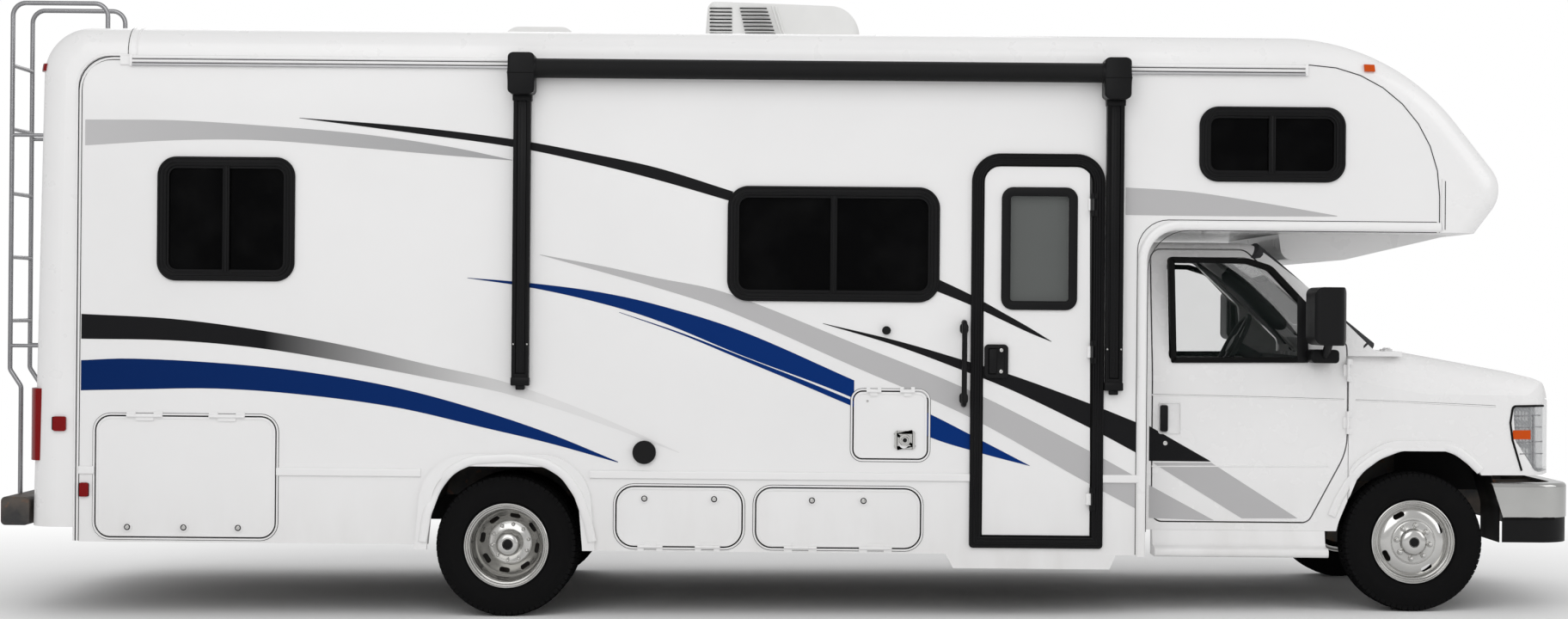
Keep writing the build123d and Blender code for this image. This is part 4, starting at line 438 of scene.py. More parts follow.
@dataclass(frozen=True)
class Underbody(Finish):
    """Chassis paint with road dirt and rust at its edges."""

    dirt: Colour = (0.16, 0.13, 0.105)
    rust: Colour = (0.21, 0.085, 0.035)
    pits: float = 0.0008

    def detail(self, sheet: NodeSheet) -> None:
        """Add the dirt, the rust and a pitted surface."""
        dirt = sheet.spread(sheet.noise(6.0, 7.0), (0.4, 0.75), (0.0, 0.8))
        rust = sheet.spread(sheet.noise(19.0, 5.0), (0.62, 0.75), (0.0, 0.7))
        grimy = sheet.mix(dirt, self.colour, self.dirt)
        sheet.feed("Base Color", sheet.mix(rust, grimy, self.rust))
        sheet.feed("Roughness", sheet.spread(dirt, (0.0, 1.0), (self.roughness, 0.95)))
        sheet.bump(sheet.noise(240.0, 4.0), self.pits, 0.5)


@dataclass(frozen=True)
class Vinyl(Finish):
    """Vinyl film whose colour may run into another along x."""

    end_colour: Colour = (0.5, 0.5, 0.5)
    fade: Flat = (9.0, 10.0)
    shine: float = 0.07

    def detail(self, sheet: NodeSheet) -> None:
        """Add the run from one colour to the other and the film's gloss."""
        along = sheet.add("ShaderNodeSeparateXYZ", {0: sheet.place()}).outputs["X"]
        sheet.feed(
            "Base Color",
            sheet.mix(sheet.spread(along, self.fade, (0.0, 1.0)), self.colour, self.end_colour),
        )
        sheet.wander_gloss(8.0, self.roughness, self.roughness + 0.08)
        sheet.feed("Specular IOR Level", self.shine)
        sheet.bump(sheet.noise(2.2, 2.0), 0.0006, 0.25)


ENAMEL = (0.815, 0.81, 0.81)
WALL_WHITE = Paint("wall_enamel", "white_metal", ENAMEL, 0.3)
ENTRY_WHITE = EntryPaint("entry_enamel", "white_metal", ENAMEL, 0.3)
CAB_WHITE = Paint("cab_enamel", "cab_paint", (0.825, 0.82, 0.82), 0.22, ripple=0.0002)
SHELL_WHITE = Paint("shell_gel_coat", "gel_coat", (0.83, 0.825, 0.825), 0.26, ripple=0.001)
VENT_WHITE = Moulded("vent_moulding", "white_plastic", (0.78, 0.78, 0.77), 0.42)
FRAME_BLACK = Moulded("frame_powder_coat", "black_frame", (0.006, 0.006, 0.0065), 0.36, grain=0.0002)
PART_BLACK = Moulded("black_moulding", "black_plastic", (0.0075, 0.0075, 0.008), 0.42)
# Black rubber for seals, also used as painted shade in the louvre openings and the wheel arches.
SEAL_AND_SHADE_BLACK = Moulded("rubber_seal", "black_plastic", (0.004, 0.004, 0.004), 0.7, shine=0.1)
# Dark lines: real joints, and also painted shade along the cab's creases and the lockers' raised frames.
JOINT_AND_SHADE_LINE = Moulded("dark_joint", "black_plastic", (0.05, 0.05, 0.052), 0.8, shine=0.0)
DASH_GREY = Moulded(
    "dash_moulding", "dark_plastic", (0.045, 0.045, 0.048), 0.6, grain=0.0006, pitch=420.0
)
SMOKED_GLASS = Glazing(
    "smoked_glass", "tinted_glass", (0.0012, 0.0012, 0.0014), 0.05, cover=0.975, shine=0.04
)
MILKY_GLASS = Glazing("grey_glass", "tinted_glass", (0.112, 0.118, 0.115), 0.12, cover=0.97, shine=0.15)
CAB_GLASS = Glazing("cab_glass", "tinted_glass", (0.03, 0.042, 0.038), 0.02, cover=0.1, shine=0.15)
SCREEN_GLASS = Glazing("screen_glass", "tinted_glass", (0.03, 0.042, 0.038), 0.02, cover=0.55, shine=0.2)
CHROME = Metal("bumper_chrome", "chrome_plate", (0.47, 0.47, 0.46), 0.05, smear=0.05)
STAINLESS = Metal("polished_stainless", "bright_steel", (0.6, 0.595, 0.58), 0.13, smear=0.1)
LADDER_STEEL = Metal("ladder_tube", "bright_steel", (0.3, 0.3, 0.31), 0.24, brushed=0.0002)
PLAIN_ALLOY = Metal("plain_alloy", "alloy", (0.5, 0.5, 0.51), 0.38, brushed=0.0002)
CHASSIS_PAINT = Underbody("chassis_paint", "dark_steel", (0.02, 0.02, 0.021), 0.55)
CAST_IRON = Underbody("cast_iron", "cast_metal", (0.09, 0.088, 0.085), 0.6, dirt=(0.2, 0.16, 0.12))
TYRE_RUBBER = Rubber("tyre_rubber", "tyre_rubber", (0.0085, 0.0085, 0.0088), 0.62)
SEAT_CLOTH = Woven("seat_cloth", "seat_cloth", (0.19, 0.18, 0.165), 0.85)
AWNING_CLOTH = Woven(
    "awning_cloth", "awning_cloth", (0.009, 0.009, 0.0095), 0.45, thread=260.0, sheen=0.02
)
RED_LENS = Lens("red_lens", "red_lens", (0.25, 0.001, 0.002), 0.12)
AMBER_LENS = Lens("amber_lens", "amber_lens", (0.72, 0.09, 0.004), 0.15)
CLEAR_LENS = Lens("clear_lens", "lamp_lens", (0.75, 0.77, 0.79), 0.05, cover=0.28, ribs=30.0)
GREY_VINYL = Vinyl("grey_film", "white_metal", (0.46, 0.455, 0.46), 0.28)
PALE_VINYL = Vinyl(
    "pale_grey_film",
    "white_metal",
    (0.5, 0.495, 0.5),
    0.28,
    end_colour=(0.36, 0.36, 0.365),
    fade=(-3.7, -1.4),
)
BLACK_VINYL = Vinyl("black_film", "white_metal", (0.0095, 0.0095, 0.0105), 0.3)
NAVY_VINYL = Vinyl(
    "navy_film", "white_metal", (0.0, 0.0165, 0.1), 0.3, end_colour=(0.0, 0.026, 0.165), fade=(-3.7, 1.0)
)
FADING_VINYL = Vinyl(
    "fading_film",
    "white_metal",
    (0.0095, 0.0095, 0.0105),
    0.3,
    end_colour=(0.72, 0.715, 0.715),
    fade=(-2.75, -1.3),
)

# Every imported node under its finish
FINISHED_NODES: dict[Finish, tuple[str, ...]] = {
    AMBER_LENS: ("amber_lamps",),
    FRAME_BLACK: ("awning_arms", "window_frames"),
    AWNING_CLOTH: ("awning_roll",),
    WALL_WHITE: (
        "body_mouldings", "front_locker_door", "rear_locker_door", "running_boards", "trunk_door",
        "utility_door", "wall_left", "wall_right",
    ),
    CAB_GLASS: ("cab_door_glass_left", "cab_door_glass_right"),
    CAB_WHITE: ("cab_door_left", "cab_door_right", "cab_shell", "front_fenders", "hood"),
    DASH_GREY: ("cockpit",),
    CHASSIS_PAINT: (
        "springs", "frame_rails", "front_axle", "fuel_tank", "house_floor", "locker_boxes",
        "propeller_shaft", "rear_bumper",
    ),
    CAST_IRON: ("engine_block", "exhaust", "knuckle_left", "knuckle_right", "rear_axle"),
    ENTRY_WHITE: ("entry_door",),
    MILKY_GLASS: ("entry_door_glass",),
    CHROME: ("front_bumper", "grille"),
    TYRE_RUBBER: ("front_tyre_left", "front_tyre_right", "rear_tyres_left", "rear_tyres_right"),
    STAINLESS: ("front_wheel_left", "front_wheel_right", "rear_wheels_left", "rear_wheels_right"),
    CLEAR_LENS: ("headlamps",),
    LADDER_STEEL: ("ladder",),
    PART_BLACK: ("mirror_left", "mirror_right", "side_fittings", "splash_guards"),
    SHELL_WHITE: ("nose_cap", "rear_cap", "roof"),
    PLAIN_ALLOY: ("radiator",),
    RED_LENS: ("red_lamps",),
    VENT_WHITE: ("roof_units",),
    SEAT_CLOTH: ("seats",),
    SMOKED_GLASS: ("window_glass",),
    SCREEN_GLASS: ("windshield",),
}


# Outlines


def bent_route(route: Sequence[Point], radius: float, steps: int = 8) -> list[Vector]:
    """Points along straight runs whose corners are arcs.

    Args:
        route: The runs' corners.
        radius: The arcs' radius, or 0 for sharp corners.
        steps: Pieces in each arc.

    Returns:
        The points.
    """
    if not radius:
        return [Vector(point) for point in route]
    points = [Vector(route[0])]
    for before, corner, after in zip(route, route[1:], route[2:]):
        points.extend(corner_arc(Vector(before), Vector(corner), Vector(after), radius, steps))
    points.append(Vector(route[-1]))
    return points


def corner_arc(before: Vector, corner: Vector, after: Vector, radius: float, steps: int) -> list[Vector]:
    """Points of the arc that rounds one corner."""
    back = (before - corner).normalized()
    on = (after - corner).normalized()
    half = back.angle(on) / 2
    if half > math.pi / 2 - 0.01:
        return [corner]
    centre = corner + (back + on).normalized() * (radius / math.sin(half))
    start = corner + back * (radius / math.tan(half)) - centre
    end = corner + on * (radius / math.tan(half)) - centre
    whole = start.angle(end)
    points = []
    for step in range(steps + 1):
        turn = whole * step / steps
        spot = start * math.sin(whole - turn) + end * math.sin(turn)
        points.append(centre + spot / math.sin(whole))
    return points


def closed_outline(
    corners: Sequence[tuple[float, float, float]], grow: float = 0.0, steps: int = 7
) -> list[Flat]:
    """Closed outline with round corners.

    Args:
        corners: The corners as (x, z, radius).
        grow: How far outside the outline the result lies; corners' radii grow with it.
        steps: Pieces in each corner's arc.

    Returns:
        The outline's points.
    """
    flats = [Vector((x, 0, z)) for x, z, radius in corners]
    points: list[Vector] = []
    for index, (x, z, radius) in enumerate(corners):
        before = flats[index - 1]
        after = flats[(index + 1) % len(flats)]
        if radius:
            points.extend(corner_arc(before, flats[index], after, radius, steps))
        else:
            points.append(flats[index])
    if not grow:
        return [(point.x, point.z) for point in points]
    grown = []
    area = sum(a.x * b.z - b.x * a.z for a, b in zip(points, points[1:] + points[:1]))
    turn = math.copysign(1.0, area)
    for index, point in enumerate(points):
        along_before = (point - points[index - 1]).normalized()
        along_after = (points[(index + 1) % len(points)] - point).normalized()
        out = Vector((along_before.z + along_after.z, 0, -along_before.x - along_after.x)) * turn
        cosine = max(0.3, out.normalized().dot(Vector((along_before.z, 0, -along_before.x)) * turn))
        moved = point + out.normalized() * (grow / cosine)
        grown.append((moved.x, moved.z))
    return grown


def frame_outline(
    low: Flat, high: Flat, radius: float, foot: Optional[float] = None, grow: float = 0.0
) -> list[Flat]:
    """Closed rectangle with round corners; foot is the radius of the lower two."""
    lower = radius if foot is None else foot
    corners = (
        (low[0], low[1], lower), (low[0], high[1], radius), (high[0], high[1], radius),
        (high[0], low[1], lower),
    )
    return closed_outline(corners, grow)


# Modelling by operators

# Points closer than this are one, in metres
WELD = 0.00002


class Shape:
    """One mesh piece under work, shaped by edit-mode operators on what is selected by place."""

    def __init__(self, obj: bpy.types.Object, name: str) -> None:
        """Take an object that an operator has just added.

        Args:
            obj: The object.
            name: The piece's name.
        """
        self.obj = obj
        obj.name = name
        obj.data.name = name

    @staticmethod
    def clear() -> None:
        """Leave edit mode and deselect everything."""
        if bpy.context.object and bpy.context.object.mode != "OBJECT":
            bpy.ops.object.mode_set(mode="OBJECT")
        bpy.ops.object.select_all(action="DESELECT")

    @classmethod
    def box(cls, name: str, low: Point, high: Point) -> Shape:
        """Add a block between two corners."""
        cls.clear()
        centre = [(a + b) / 2 for a, b in zip(low, high)]
        size = [abs(b - a) for a, b in zip(low, high)]
        bpy.ops.mesh.primitive_cube_add(size=1, location=centre, scale=size)
        bpy.ops.object.transform_apply(location=True, rotation=True, scale=True)
        return cls(bpy.context.object, name)

    @classmethod
    def rod(
        cls,
        name: str,
        start: Point,
        end: Point,
        radius: float,
        sides: int = 24,
        far: Optional[float] = None,
    ) -> Shape:
        """Add a round bar, or a cone where its far radius differs.

        Args:
            name: The piece's name.
            start: One end's middle.
            end: The other end's middle.
            radius: The radius at the start.
            sides: Faces round it.
            far: The radius at the end.

        Returns:
            The bar.
        """
        cls.clear()
        run = Vector(end) - Vector(start)
        turn = run.to_track_quat("Z", "Y").to_euler()
        middle = (Vector(start) + Vector(end)) / 2
        bpy.ops.mesh.primitive_cone_add(
            vertices=sides,
            radius1=radius,
            radius2=radius if far is None else far,
            depth=run.length,
            location=middle,
            rotation=turn,
        )
        bpy.ops.object.transform_apply(location=True, rotation=True, scale=True)
        return cls(bpy.context.object, name)

    @classmethod
    def grid(cls, name: str, columns: int, rows: int, place: Callable[[float, float], Point]) -> Shape:
        """Add a grid and lay its points along a surface.

        Args:
            name: The piece's name.
            columns: Faces along the first way.
            rows: Faces along the second.
            place: Gives a point for two shares from 0 to 1.

        Returns:
            The sheet.
        """
        cls.clear()
        bpy.ops.mesh.primitive_grid_add(
            x_subdivisions=columns, y_subdivisions=rows, size=1, location=(0.5, 0.5, 0)
        )
        bpy.ops.object.transform_apply(location=True, rotation=True, scale=True)
        shape = cls(bpy.context.object, name)
        for vertex in shape.obj.data.vertices:
            vertex.co = place(vertex.co.x, vertex.co.y)
        return shape

    @classmethod
    def spun(
        cls, name: str, outline: Sequence[Flat], centre: Point, axis: Axis, steps: int = 96
    ) -> Shape:
        """Turn a closed outline about an axis.

        Args:
            name: The piece's name.
            outline: Points as (distance along the axis, radius).
            centre: A point on the axis.
            axis: The axis.
            steps: Faces round it.

        Returns:
            The turned ring.
        """
        cls.clear()
        bpy.ops.mesh.primitive_circle_add(vertices=len(outline), radius=1, fill_type="NOTHING")
        shape = cls(bpy.context.object, name)
        along = Vector(axis.value)
        out = Vector((1, 0, 0))
        for vertex, (run, radius) in zip(shape.obj.data.vertices, outline):
            vertex.co = Vector(centre) + along * run + out * radius
        shape.edit_all()
        bpy.ops.mesh.spin(steps=steps, angle=math.tau, center=centre, axis=axis.value)
        return shape.face_out(weld=True)

    @classmethod
    def tube(
        cls,
        name: str,
        route: Sequence[Point],
        radius: float,
        bends: float = 0.0,
        sides: int = 5,
        closed: bool = False,
    ) -> Shape:
        """Add a round tube along straight runs with rounded bends.

        Args:
            name: The piece's name.
            route: The runs' corners.
            radius: The tube's radius.
            bends: How far from a corner its bend starts.
            sides: The bevel's resolution.
            closed: Whether the end joins the start.

        Returns:
            The tube.
        """
        cls.clear()
        curve = bpy.data.curves.new(name, "CURVE")
        curve.dimensions = "3D"
        curve.bevel_depth = radius
        curve.bevel_resolution = sides
        curve.use_fill_caps = True
        points = bent_route(route, bends)
        spline = curve.splines.new("POLY")
        spline.points.add(len(points) - 1)
        spline.use_cyclic_u = closed
        for target, point in zip(spline.points, points):
            target.co = (*point, 1)
        obj = bpy.data.objects.new(name, curve)
        bpy.context.collection.objects.link(obj)
        bpy.context.view_layer.objects.active = obj
        obj.select_set(True)
        bpy.ops.object.convert(target="MESH")
        return cls(bpy.context.object, name)

    @classmethod
    def plate(
        cls, name: str, outline: Sequence[Flat], near: float, far: float, rim: float = 0.0
    ) -> Shape:
        """Add a plate that stands across y, or a ring where a rim's width is given.

        Args:
            name: The piece's name.
            outline: Closed outline as (x, z).
            near: The y of its one face.
            far: The y of its other face.
            rim: Width of the ring, or 0 for a full plate.

        Returns:
            The plate.
        """
        cls.clear()
        bpy.ops.mesh.primitive_circle_add(vertices=len(outline), radius=1, fill_type="NGON")
        shape = cls(bpy.context.object, name)
        for vertex, (x, z) in zip(shape.obj.data.vertices, outline):
            vertex.co = (x, near, z)
        shape.edit_all()
        if rim:
            bpy.ops.mesh.inset(thickness=rim, depth=0, use_even_offset=True)
            bpy.ops.mesh.delete(type="FACE")
            bpy.ops.mesh.select_all(action="SELECT")
        bpy.ops.mesh.extrude_region_move(TRANSFORM_OT_translate={"value": (0, far - near, 0)})
        return shape.face_out()

    @classmethod
    def bead(cls, name: str, outline: Sequence[Flat], y: float, radius: float, sides: int = 2) -> Shape:
        """Add a thin closed bead along an outline on the side."""
        return cls.tube(name, [(x, y, z) for x, z in outline], radius, sides=sides, closed=True)

    @classmethod
    def band(
        cls, name: str, route: Sequence[Point], wide: float, proud: float, side: float = -1.0
    ) -> Shape:
        """Add a rounded moulding along a line on the side.

        Args:
            name: The piece's name.
            route: Points along its middle, on the face that it lies on.
            wide: Its width.
            proud: How far its middle stands out.
            side: The side's sign.

        Returns:
            The moulding.
        """
        points = [Vector(point) for point in route]
        last = len(points) - 1

        def place(u: float, v: float) -> Point:
            index = round(u * last)
            along = points[min(index + 1, last)] - points[max(index - 1, 0)]
            across = Vector((-along.z, 0, along.x)).normalized()
            lift = math.sin(math.pi * min(max(v, 0.0), 1.0)) ** 0.5
            spot = points[index] + across * (wide * (v - 0.5))
            return spot.x, spot.y + side * (0.0004 + proud * lift), spot.z

        sheet = cls.grid(name, last, 8, place)
        return sheet.thicken(0.0012, 0.0)

    def activate(self) -> None:
        """Make this the only selected object."""
        self.clear()
        self.obj.select_set(True)
        bpy.context.view_layer.objects.active = self.obj

    def edit_all(self) -> None:
        """Enter edit mode on this piece with everything selected."""
        self.activate()
        bpy.ops.object.mode_set(mode="EDIT")
        bpy.ops.mesh.select_all(action="SELECT")

    def face_out(self, weld: bool = False) -> Shape:
        """Turn every face outward, with points that meet joined first if asked, and leave edit mode."""
        bpy.ops.mesh.select_all(action="SELECT")
        if weld:
            bpy.ops.mesh.remove_doubles(threshold=WELD)
        bpy.ops.mesh.normals_make_consistent(inside=False)
        self.clear()
        return self

    def unpick(self) -> bpy.types.Mesh:
        """Make this the active piece, with nothing of its mesh selected."""
        self.activate()
        mesh = self.obj.data
        for items in (mesh.vertices, mesh.edges, mesh.polygons):
            items.foreach_set("select", [False] * len(items))
        return mesh

    def pick_faces(self, test: Callable[[Vector, Vector], bool]) -> None:
        """Enter edit mode with the faces selected whose middle and normal pass a test."""
        mesh = self.unpick()
        for face in mesh.polygons:
            face.select = test(face.center, face.normal)
        bpy.ops.object.mode_set(mode="EDIT")
        bpy.ops.mesh.select_mode(type="FACE")

    def pick_edges(self, test: Callable[[Vector, Vector], bool]) -> None:
        """Enter edit mode with the edges selected whose two ends pass a test."""
        mesh = self.unpick()
        for edge in mesh.edges:
            first, second = (mesh.vertices[index].co for index in edge.vertices)
            edge.select = test(first, second)
        bpy.ops.object.mode_set(mode="EDIT")
        bpy.ops.mesh.select_mode(type="EDGE")

    def inset(self, test: Callable[[Vector, Vector], bool], rim: float, move: Point = (0, 0, 0)) -> Shape:
        """Inset the faces that pass a test and move what is left inside the rim."""
        self.pick_faces(test)
        bpy.ops.mesh.inset(thickness=rim, depth=0)
        bpy.ops.transform.translate(value=move)
        self.clear()
        return self

    def round_edges(
        self, test: Callable[[Vector, Vector], bool], width: float, segments: int = 4
    ) -> Shape:
        """Bevel the edges whose ends pass a test."""
        self.pick_edges(test)
        bpy.ops.mesh.bevel(offset=width, segments=segments, affect="EDGES", clamp_overlap=True)
        self.clear()
        return self

    def turn(self, angle: float, centre: Point, axis: Axis) -> Shape:
        """Turn the piece about an axis through a point."""
        middle = Matrix.Translation(centre)
        self.obj.data.transform(
            middle @ Matrix.Rotation(angle, 4, Vector(axis.value)) @ middle.inverted()
        )
        return self

    def soften(self, width: float, segments: int = 2, angle: float = 30.0) -> Shape:
        """Bevel every edge sharper than an angle."""
        return self.apply(
            "BEVEL", width=width, segments=segments, limit_method="ANGLE", angle_limit=math.radians(angle)
        )

    def thicken(self, thickness: float, offset: float = -1.0) -> Shape:
        """Give a sheet its thickness."""
        return self.apply("SOLIDIFY", thickness=thickness, offset=offset, use_even_offset=True)

    def cut(self, tool: Shape) -> Shape:
        """Cut another piece out of this one and drop the other."""
        self.apply("BOOLEAN", object=tool.obj, operation="DIFFERENCE", solver="EXACT")
        bpy.data.objects.remove(tool.obj)
        return self

    def apply(self, kind: str, **settings: object) -> Shape:
        """Add a modifier with its settings and apply it."""
        self.activate()
        modifier = self.obj.modifiers.new(kind.lower(), kind)
        for key, value in settings.items():
            setattr(modifier, key, value)
        bpy.ops.object.modifier_apply(modifier=modifier.name)
        return self

    def ring_of(self, count: int, centre: Point, axis: Axis) -> Shape:
        """Repeat the piece round an axis."""
        self.edit_all()
        bpy.ops.mesh.spin(steps=count, angle=math.tau, center=centre, axis=axis.value, dupli=True)
        return self.face_out(weld=True)

    def copy(self, name: str, move: Point = (0, 0, 0), across: bool = False) -> Shape:
        """Copy the piece with its own mesh, moved, or mirrored to the vehicle's other side."""
        obj = self.obj.copy()
        obj.data = self.obj.data.copy()
        bpy.context.collection.objects.link(obj)
        other = Shape(obj, name)
        if across:
            other.obj.data.transform(Matrix.Scale(-1, 4, (0, 1, 0)))
            other.edit_all()
            bpy.ops.mesh.flip_normals()
            other.clear()
        other.obj.data.transform(Matrix.Translation(move))
        return other

    def join(self, others: Iterable[Shape]) -> Shape:
        """Join other pieces into this one's mesh."""
        self.clear()
        for other in others:
            other.obj.select_set(True)
        self.obj.select_set(True)
        bpy.context.view_layer.objects.active = self.obj
        bpy.ops.object.join()
        return self

    def settle(self, body: str, finish: Finish, level: bool = True, smooth: float = 32.0) -> Shape:
        """Hand the finished piece over: its place, gloss, finish and the body that it rides on.

        Args:
            body: The body's name.
            finish: Its finish.
            level: Whether it was modelled level and still has to be turned nose down.
            smooth: Edges flatter than this many degrees are shaded smooth.

        Returns:
            The piece.
        """
        if level:
            self.obj.data.transform(LEVEL_TO_ROAD)
        self.activate()
        bpy.ops.object.shade_smooth_by_angle(angle=math.radians(smooth))
        self.obj.data.materials.clear()
        self.obj.data.materials.append(finish.material())
        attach(self.obj, body)
        self.clear()
        LOG.info("%s rides on %s", self.obj.name, body)
        return self


def on_wall(pixel: Flat) -> Flat:
    """Level x and z in metres of a pixel of the photograph that lies on the right wall."""
    x = (pixel[0] - PHOTO_WIDE / 2) * WALL_SCALE + CAMERA_X
    z = CAMERA_Z + (PHOTO_TALL / 2 - pixel[1]) * WALL_SCALE + (x - REAR_AXLE_X) * math.tan(RAKE)
    return x, z


@dataclass
class Dressing:
    """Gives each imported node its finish."""

    finishes: dict[Finish, tuple[str, ...]] = field(default_factory=lambda: FINISHED_NODES)

    def build(self, nodes: dict[str, bpy.types.Object]) -> None:
        """Put a finish on every node.

        Args:
            nodes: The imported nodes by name.
        """
        for finish, names in self.finishes.items():
            for name in names:
                materials = nodes[name].data.materials
                materials.clear()
                materials.append(finish.material())
        LOG.info("dressed %d packed nodes", len(nodes))


@dataclass(frozen=True)
class Stripe:
    """One vinyl stripe on the right side, as its upper and lower edges in the photograph's pixels."""

    name: str
    finish: Finish
    upper: tuple[Flat, ...]
    lower: tuple[Flat, ...]
    breaks: tuple[tuple[str, float, float], ...]


STRIPES = (
    Stripe(
        "roof_grey",
        PALE_VINYL,
        ((95, 139), (200, 140), (300, 146), (417, 156), (520, 171), (592, 186)),
        ((95, 169), (200, 163), (300, 163), (417, 172), (520, 181), (592, 186.6)),
        (("motorhome", 95, 592),),
    ),
    Stripe(
        "upper_black",
        BLACK_VINYL,
        ((344, 137), (470, 147), (593, 162), (680, 178), (760, 195), (850, 223)),
        ((344, 137.4), (470, 154), (593, 171), (680, 189), (760, 209), (850, 235)),
        (("motorhome", 344, 849),),
    ),
    Stripe(
        "upper_black_end",
        BLACK_VINYL,
        ((1085, 323), (1127, 343), (1165, 364), (1195, 381), (1221, 397)),
        ((1085, 338), (1127, 355), (1165, 373), (1195, 387), (1221, 397.6)),
        (("motorhome", 1086, 1131), ("entry_door", 1142, 1221)),
    ),
    Stripe(
        "rear_black",
        FADING_VINYL,
        ((92, 365), (200, 371), (300, 384), (400, 402), (500, 425), (588, 445), (690, 482), (789, 526)),
        ((92, 394), (200, 396), (300, 405), (400, 421), (500, 440), (588, 458), (690, 490), (789, 527)),
        (("motorhome", 92.5, 789),),
    ),
    Stripe(
        "rear_navy",
        NAVY_VINYL,
        ((92, 419), (147, 417), (250, 422), (350, 432), (460, 451), (560, 478), (640, 505), (718, 537)),
        ((92, 454), (147, 453), (250, 452), (350, 459), (460, 474), (560, 497), (640, 516), (718, 538)),
        (("motorhome", 92.5, 718),),
    ),
    Stripe(
        "middle_navy",
        NAVY_VINYL,
        (
            (541, 323), (612, 329), (690, 339), (760, 354), (860, 385), (991, 442), (1077, 480),
            (1140, 512), (1197, 541.6),
        ),
        (
            (541, 323.5), (612, 334), (690, 351), (760, 372), (860, 413), (991, 463), (1077, 507),
            (1140, 527), (1197, 542),
        ),
        (("motorhome", 541, 992), ("motorhome", 1076, 1131), ("entry_door", 1142, 1197)),
    ),
    Stripe(
        "fine_navy",
        NAVY_VINYL,
        ((718, 363), (790, 387), (860, 414), (930, 441), (991, 466)),
        ((718, 363.5), (790, 389), (860, 418), (930, 447), (991, 473)),
        (("motorhome", 718, 992),),
    ),
    Stripe(
        "middle_grey",
        GREY_VINYL,
        (
            (625, 296), (700, 310), (760, 323), (840, 340), (993, 400), (1126, 454), (1265, 524),
            (1325, 557),
        ),
        (
            (625, 296.5), (700, 317), (760, 334), (840, 360), (993, 427), (1126, 485), (1265, 562),
            (1325, 594),
        ),
        (("motorhome", 625, 1131), ("entry_door", 1142, 1267), ("motorhome", 1278, 1327)),
    ),
    Stripe(
        "lower_black",
        BLACK_VINYL,
        ((955, 376), (1040, 396), (1116, 418), (1180, 438), (1265, 469), (1325, 493)),
        ((955, 376.5), (1040, 402), (1116, 430), (1180, 456), (1265, 497), (1325, 529)),
        (("motorhome", 955, 1131), ("entry_door", 1142, 1267), ("motorhome", 1278, 1327)),
    ),
    Stripe(
        "bunk_grey",
        GREY_VINYL,
        ((1305, 218), (1380, 223), (1460, 235), (1552, 251)),
        ((1305, 250), (1380, 251), (1460, 251.6), (1552, 251.8)),
        (("motorhome", 1306, 1552),),
    ),
)


def smooth_line(points: Sequence[Flat], at: float) -> float:
    """Height of a smooth line through points at a place along it.

    Args:
        points: The points, in order along the first number.
        at: The place.

    Returns:
        The line's second number there.
    """
    last = len(points) - 1
    index = max(i for i in range(last) if points[i][0] <= at or i == 0)
    slopes = []
    for middle in (index, index + 1):
        before = points[max(middle - 1, 0)]
        after = points[min(middle + 1, last)]
        slopes.append((after[1] - before[1]) / (after[0] - before[0]))
    (x0, y0), (x1, y1) = points[index], points[index + 1]
    run = x1 - x0
    t = (at - x0) / run
    start = (2 * t ** 3 - 3 * t ** 2 + 1) * y0 + (t ** 3 - 2 * t ** 2 + t) * run * slopes[0]
    return start + (3 * t ** 2 - 2 * t ** 3) * y1 + (t ** 3 - t ** 2) * run * slopes[1]


@dataclass
class Graphics:
    """The vinyl stripes along the sides."""

    film: float = 0.0012
    columns: int = 40
    cab_y: float = 1.0
    cab_scale: float = 1.0194
    # Films on the cab doors: name, finish, then corners in pixels
    cab_panels: tuple = (
        ("cab_black", BLACK_VINYL, ((1335.5, 498), (1335.5, 539.5), (1407, 540.2), (1407, 539.6))),
        ("cab_grey_rear", GREY_VINYL, ((1336, 568), (1336, 607), (1412, 610), (1372, 588))),
        ("cab_grey_front", GREY_VINYL, ((1340, 541.5), (1444, 607.5), (1509, 607.5), (1408, 541.5))),
    )

    def build(self) -> None:
        """Lay every stripe on the wall, the entry door and the cab door."""
        for stripe in STRIPES:
            for number, (body, start, end) in enumerate(stripe.breaks):
                self.film_of(stripe, start, end, str(number)).settle(body, stripe.finish)
            whole = self.film_of(stripe, stripe.breaks[0][1], stripe.breaks[-1][2], "whole")
            left = whole.copy(f"stripe_{stripe.name}_left", (0, 0, 0), True)
            bpy.data.objects.remove(whole.obj)
            left.settle("motorhome", stripe.finish)
        for name, finish, corners in self.cab_panels:
            self.lay_panel(name, finish, corners)

    def film_of(self, stripe: Stripe, start: float, end: float, word: str) -> Shape:
        """Model one stretch of a stripe on the right wall.

        Args:
            stripe: The stripe.
            start: Its first column of pixels.
            end: Its last column.
            word: The stretch's own word in its name.

        Returns:
            The film.
        """

        def place(u: float, v: float) -> Point:
            column = start + (end - start) * u
            low = smooth_line(stripe.lower, column)
            high = smooth_line(stripe.upper, column)
            x, z = on_wall((column, low + (high - low) * v))
            return x, -WALL_Y - self.film, z

        sheet = Shape.grid(f"stripe_{stripe.name}_{word}", self.columns, 1, place)
        sheet.thicken(self.film * 0.6)
        return sheet

    def lay_panel(self, name: str, finish: Finish, corners: Sequence[Flat]) -> None:
        """Lay a four-cornered film on the cab door, and its mirror image on the other."""
        spots = []
        for pixel in corners:
            x, z = on_wall(pixel)
            x = CAMERA_X + (x - CAMERA_X) * self.cab_scale
            spots.append((x, z))

        def place(u: float, v: float) -> Point:
            a, b, c, d = spots
            top = (a[0] + (d[0] - a[0]) * u, a[1] + (d[1] - a[1]) * u)
            foot = (b[0] + (c[0] - b[0]) * u, b[1] + (c[1] - b[1]) * u)
            z = foot[1] + (top[1] - foot[1]) * v
            return foot[0] + (top[0] - foot[0]) * v, -self.cab_y - self.film, z

        sheet = Shape.grid(f"stripe_{name}", 8, 1, place)
        sheet.thicken(self.film * 0.6)
        both_sides(sheet, CAB_DOORS, finish)


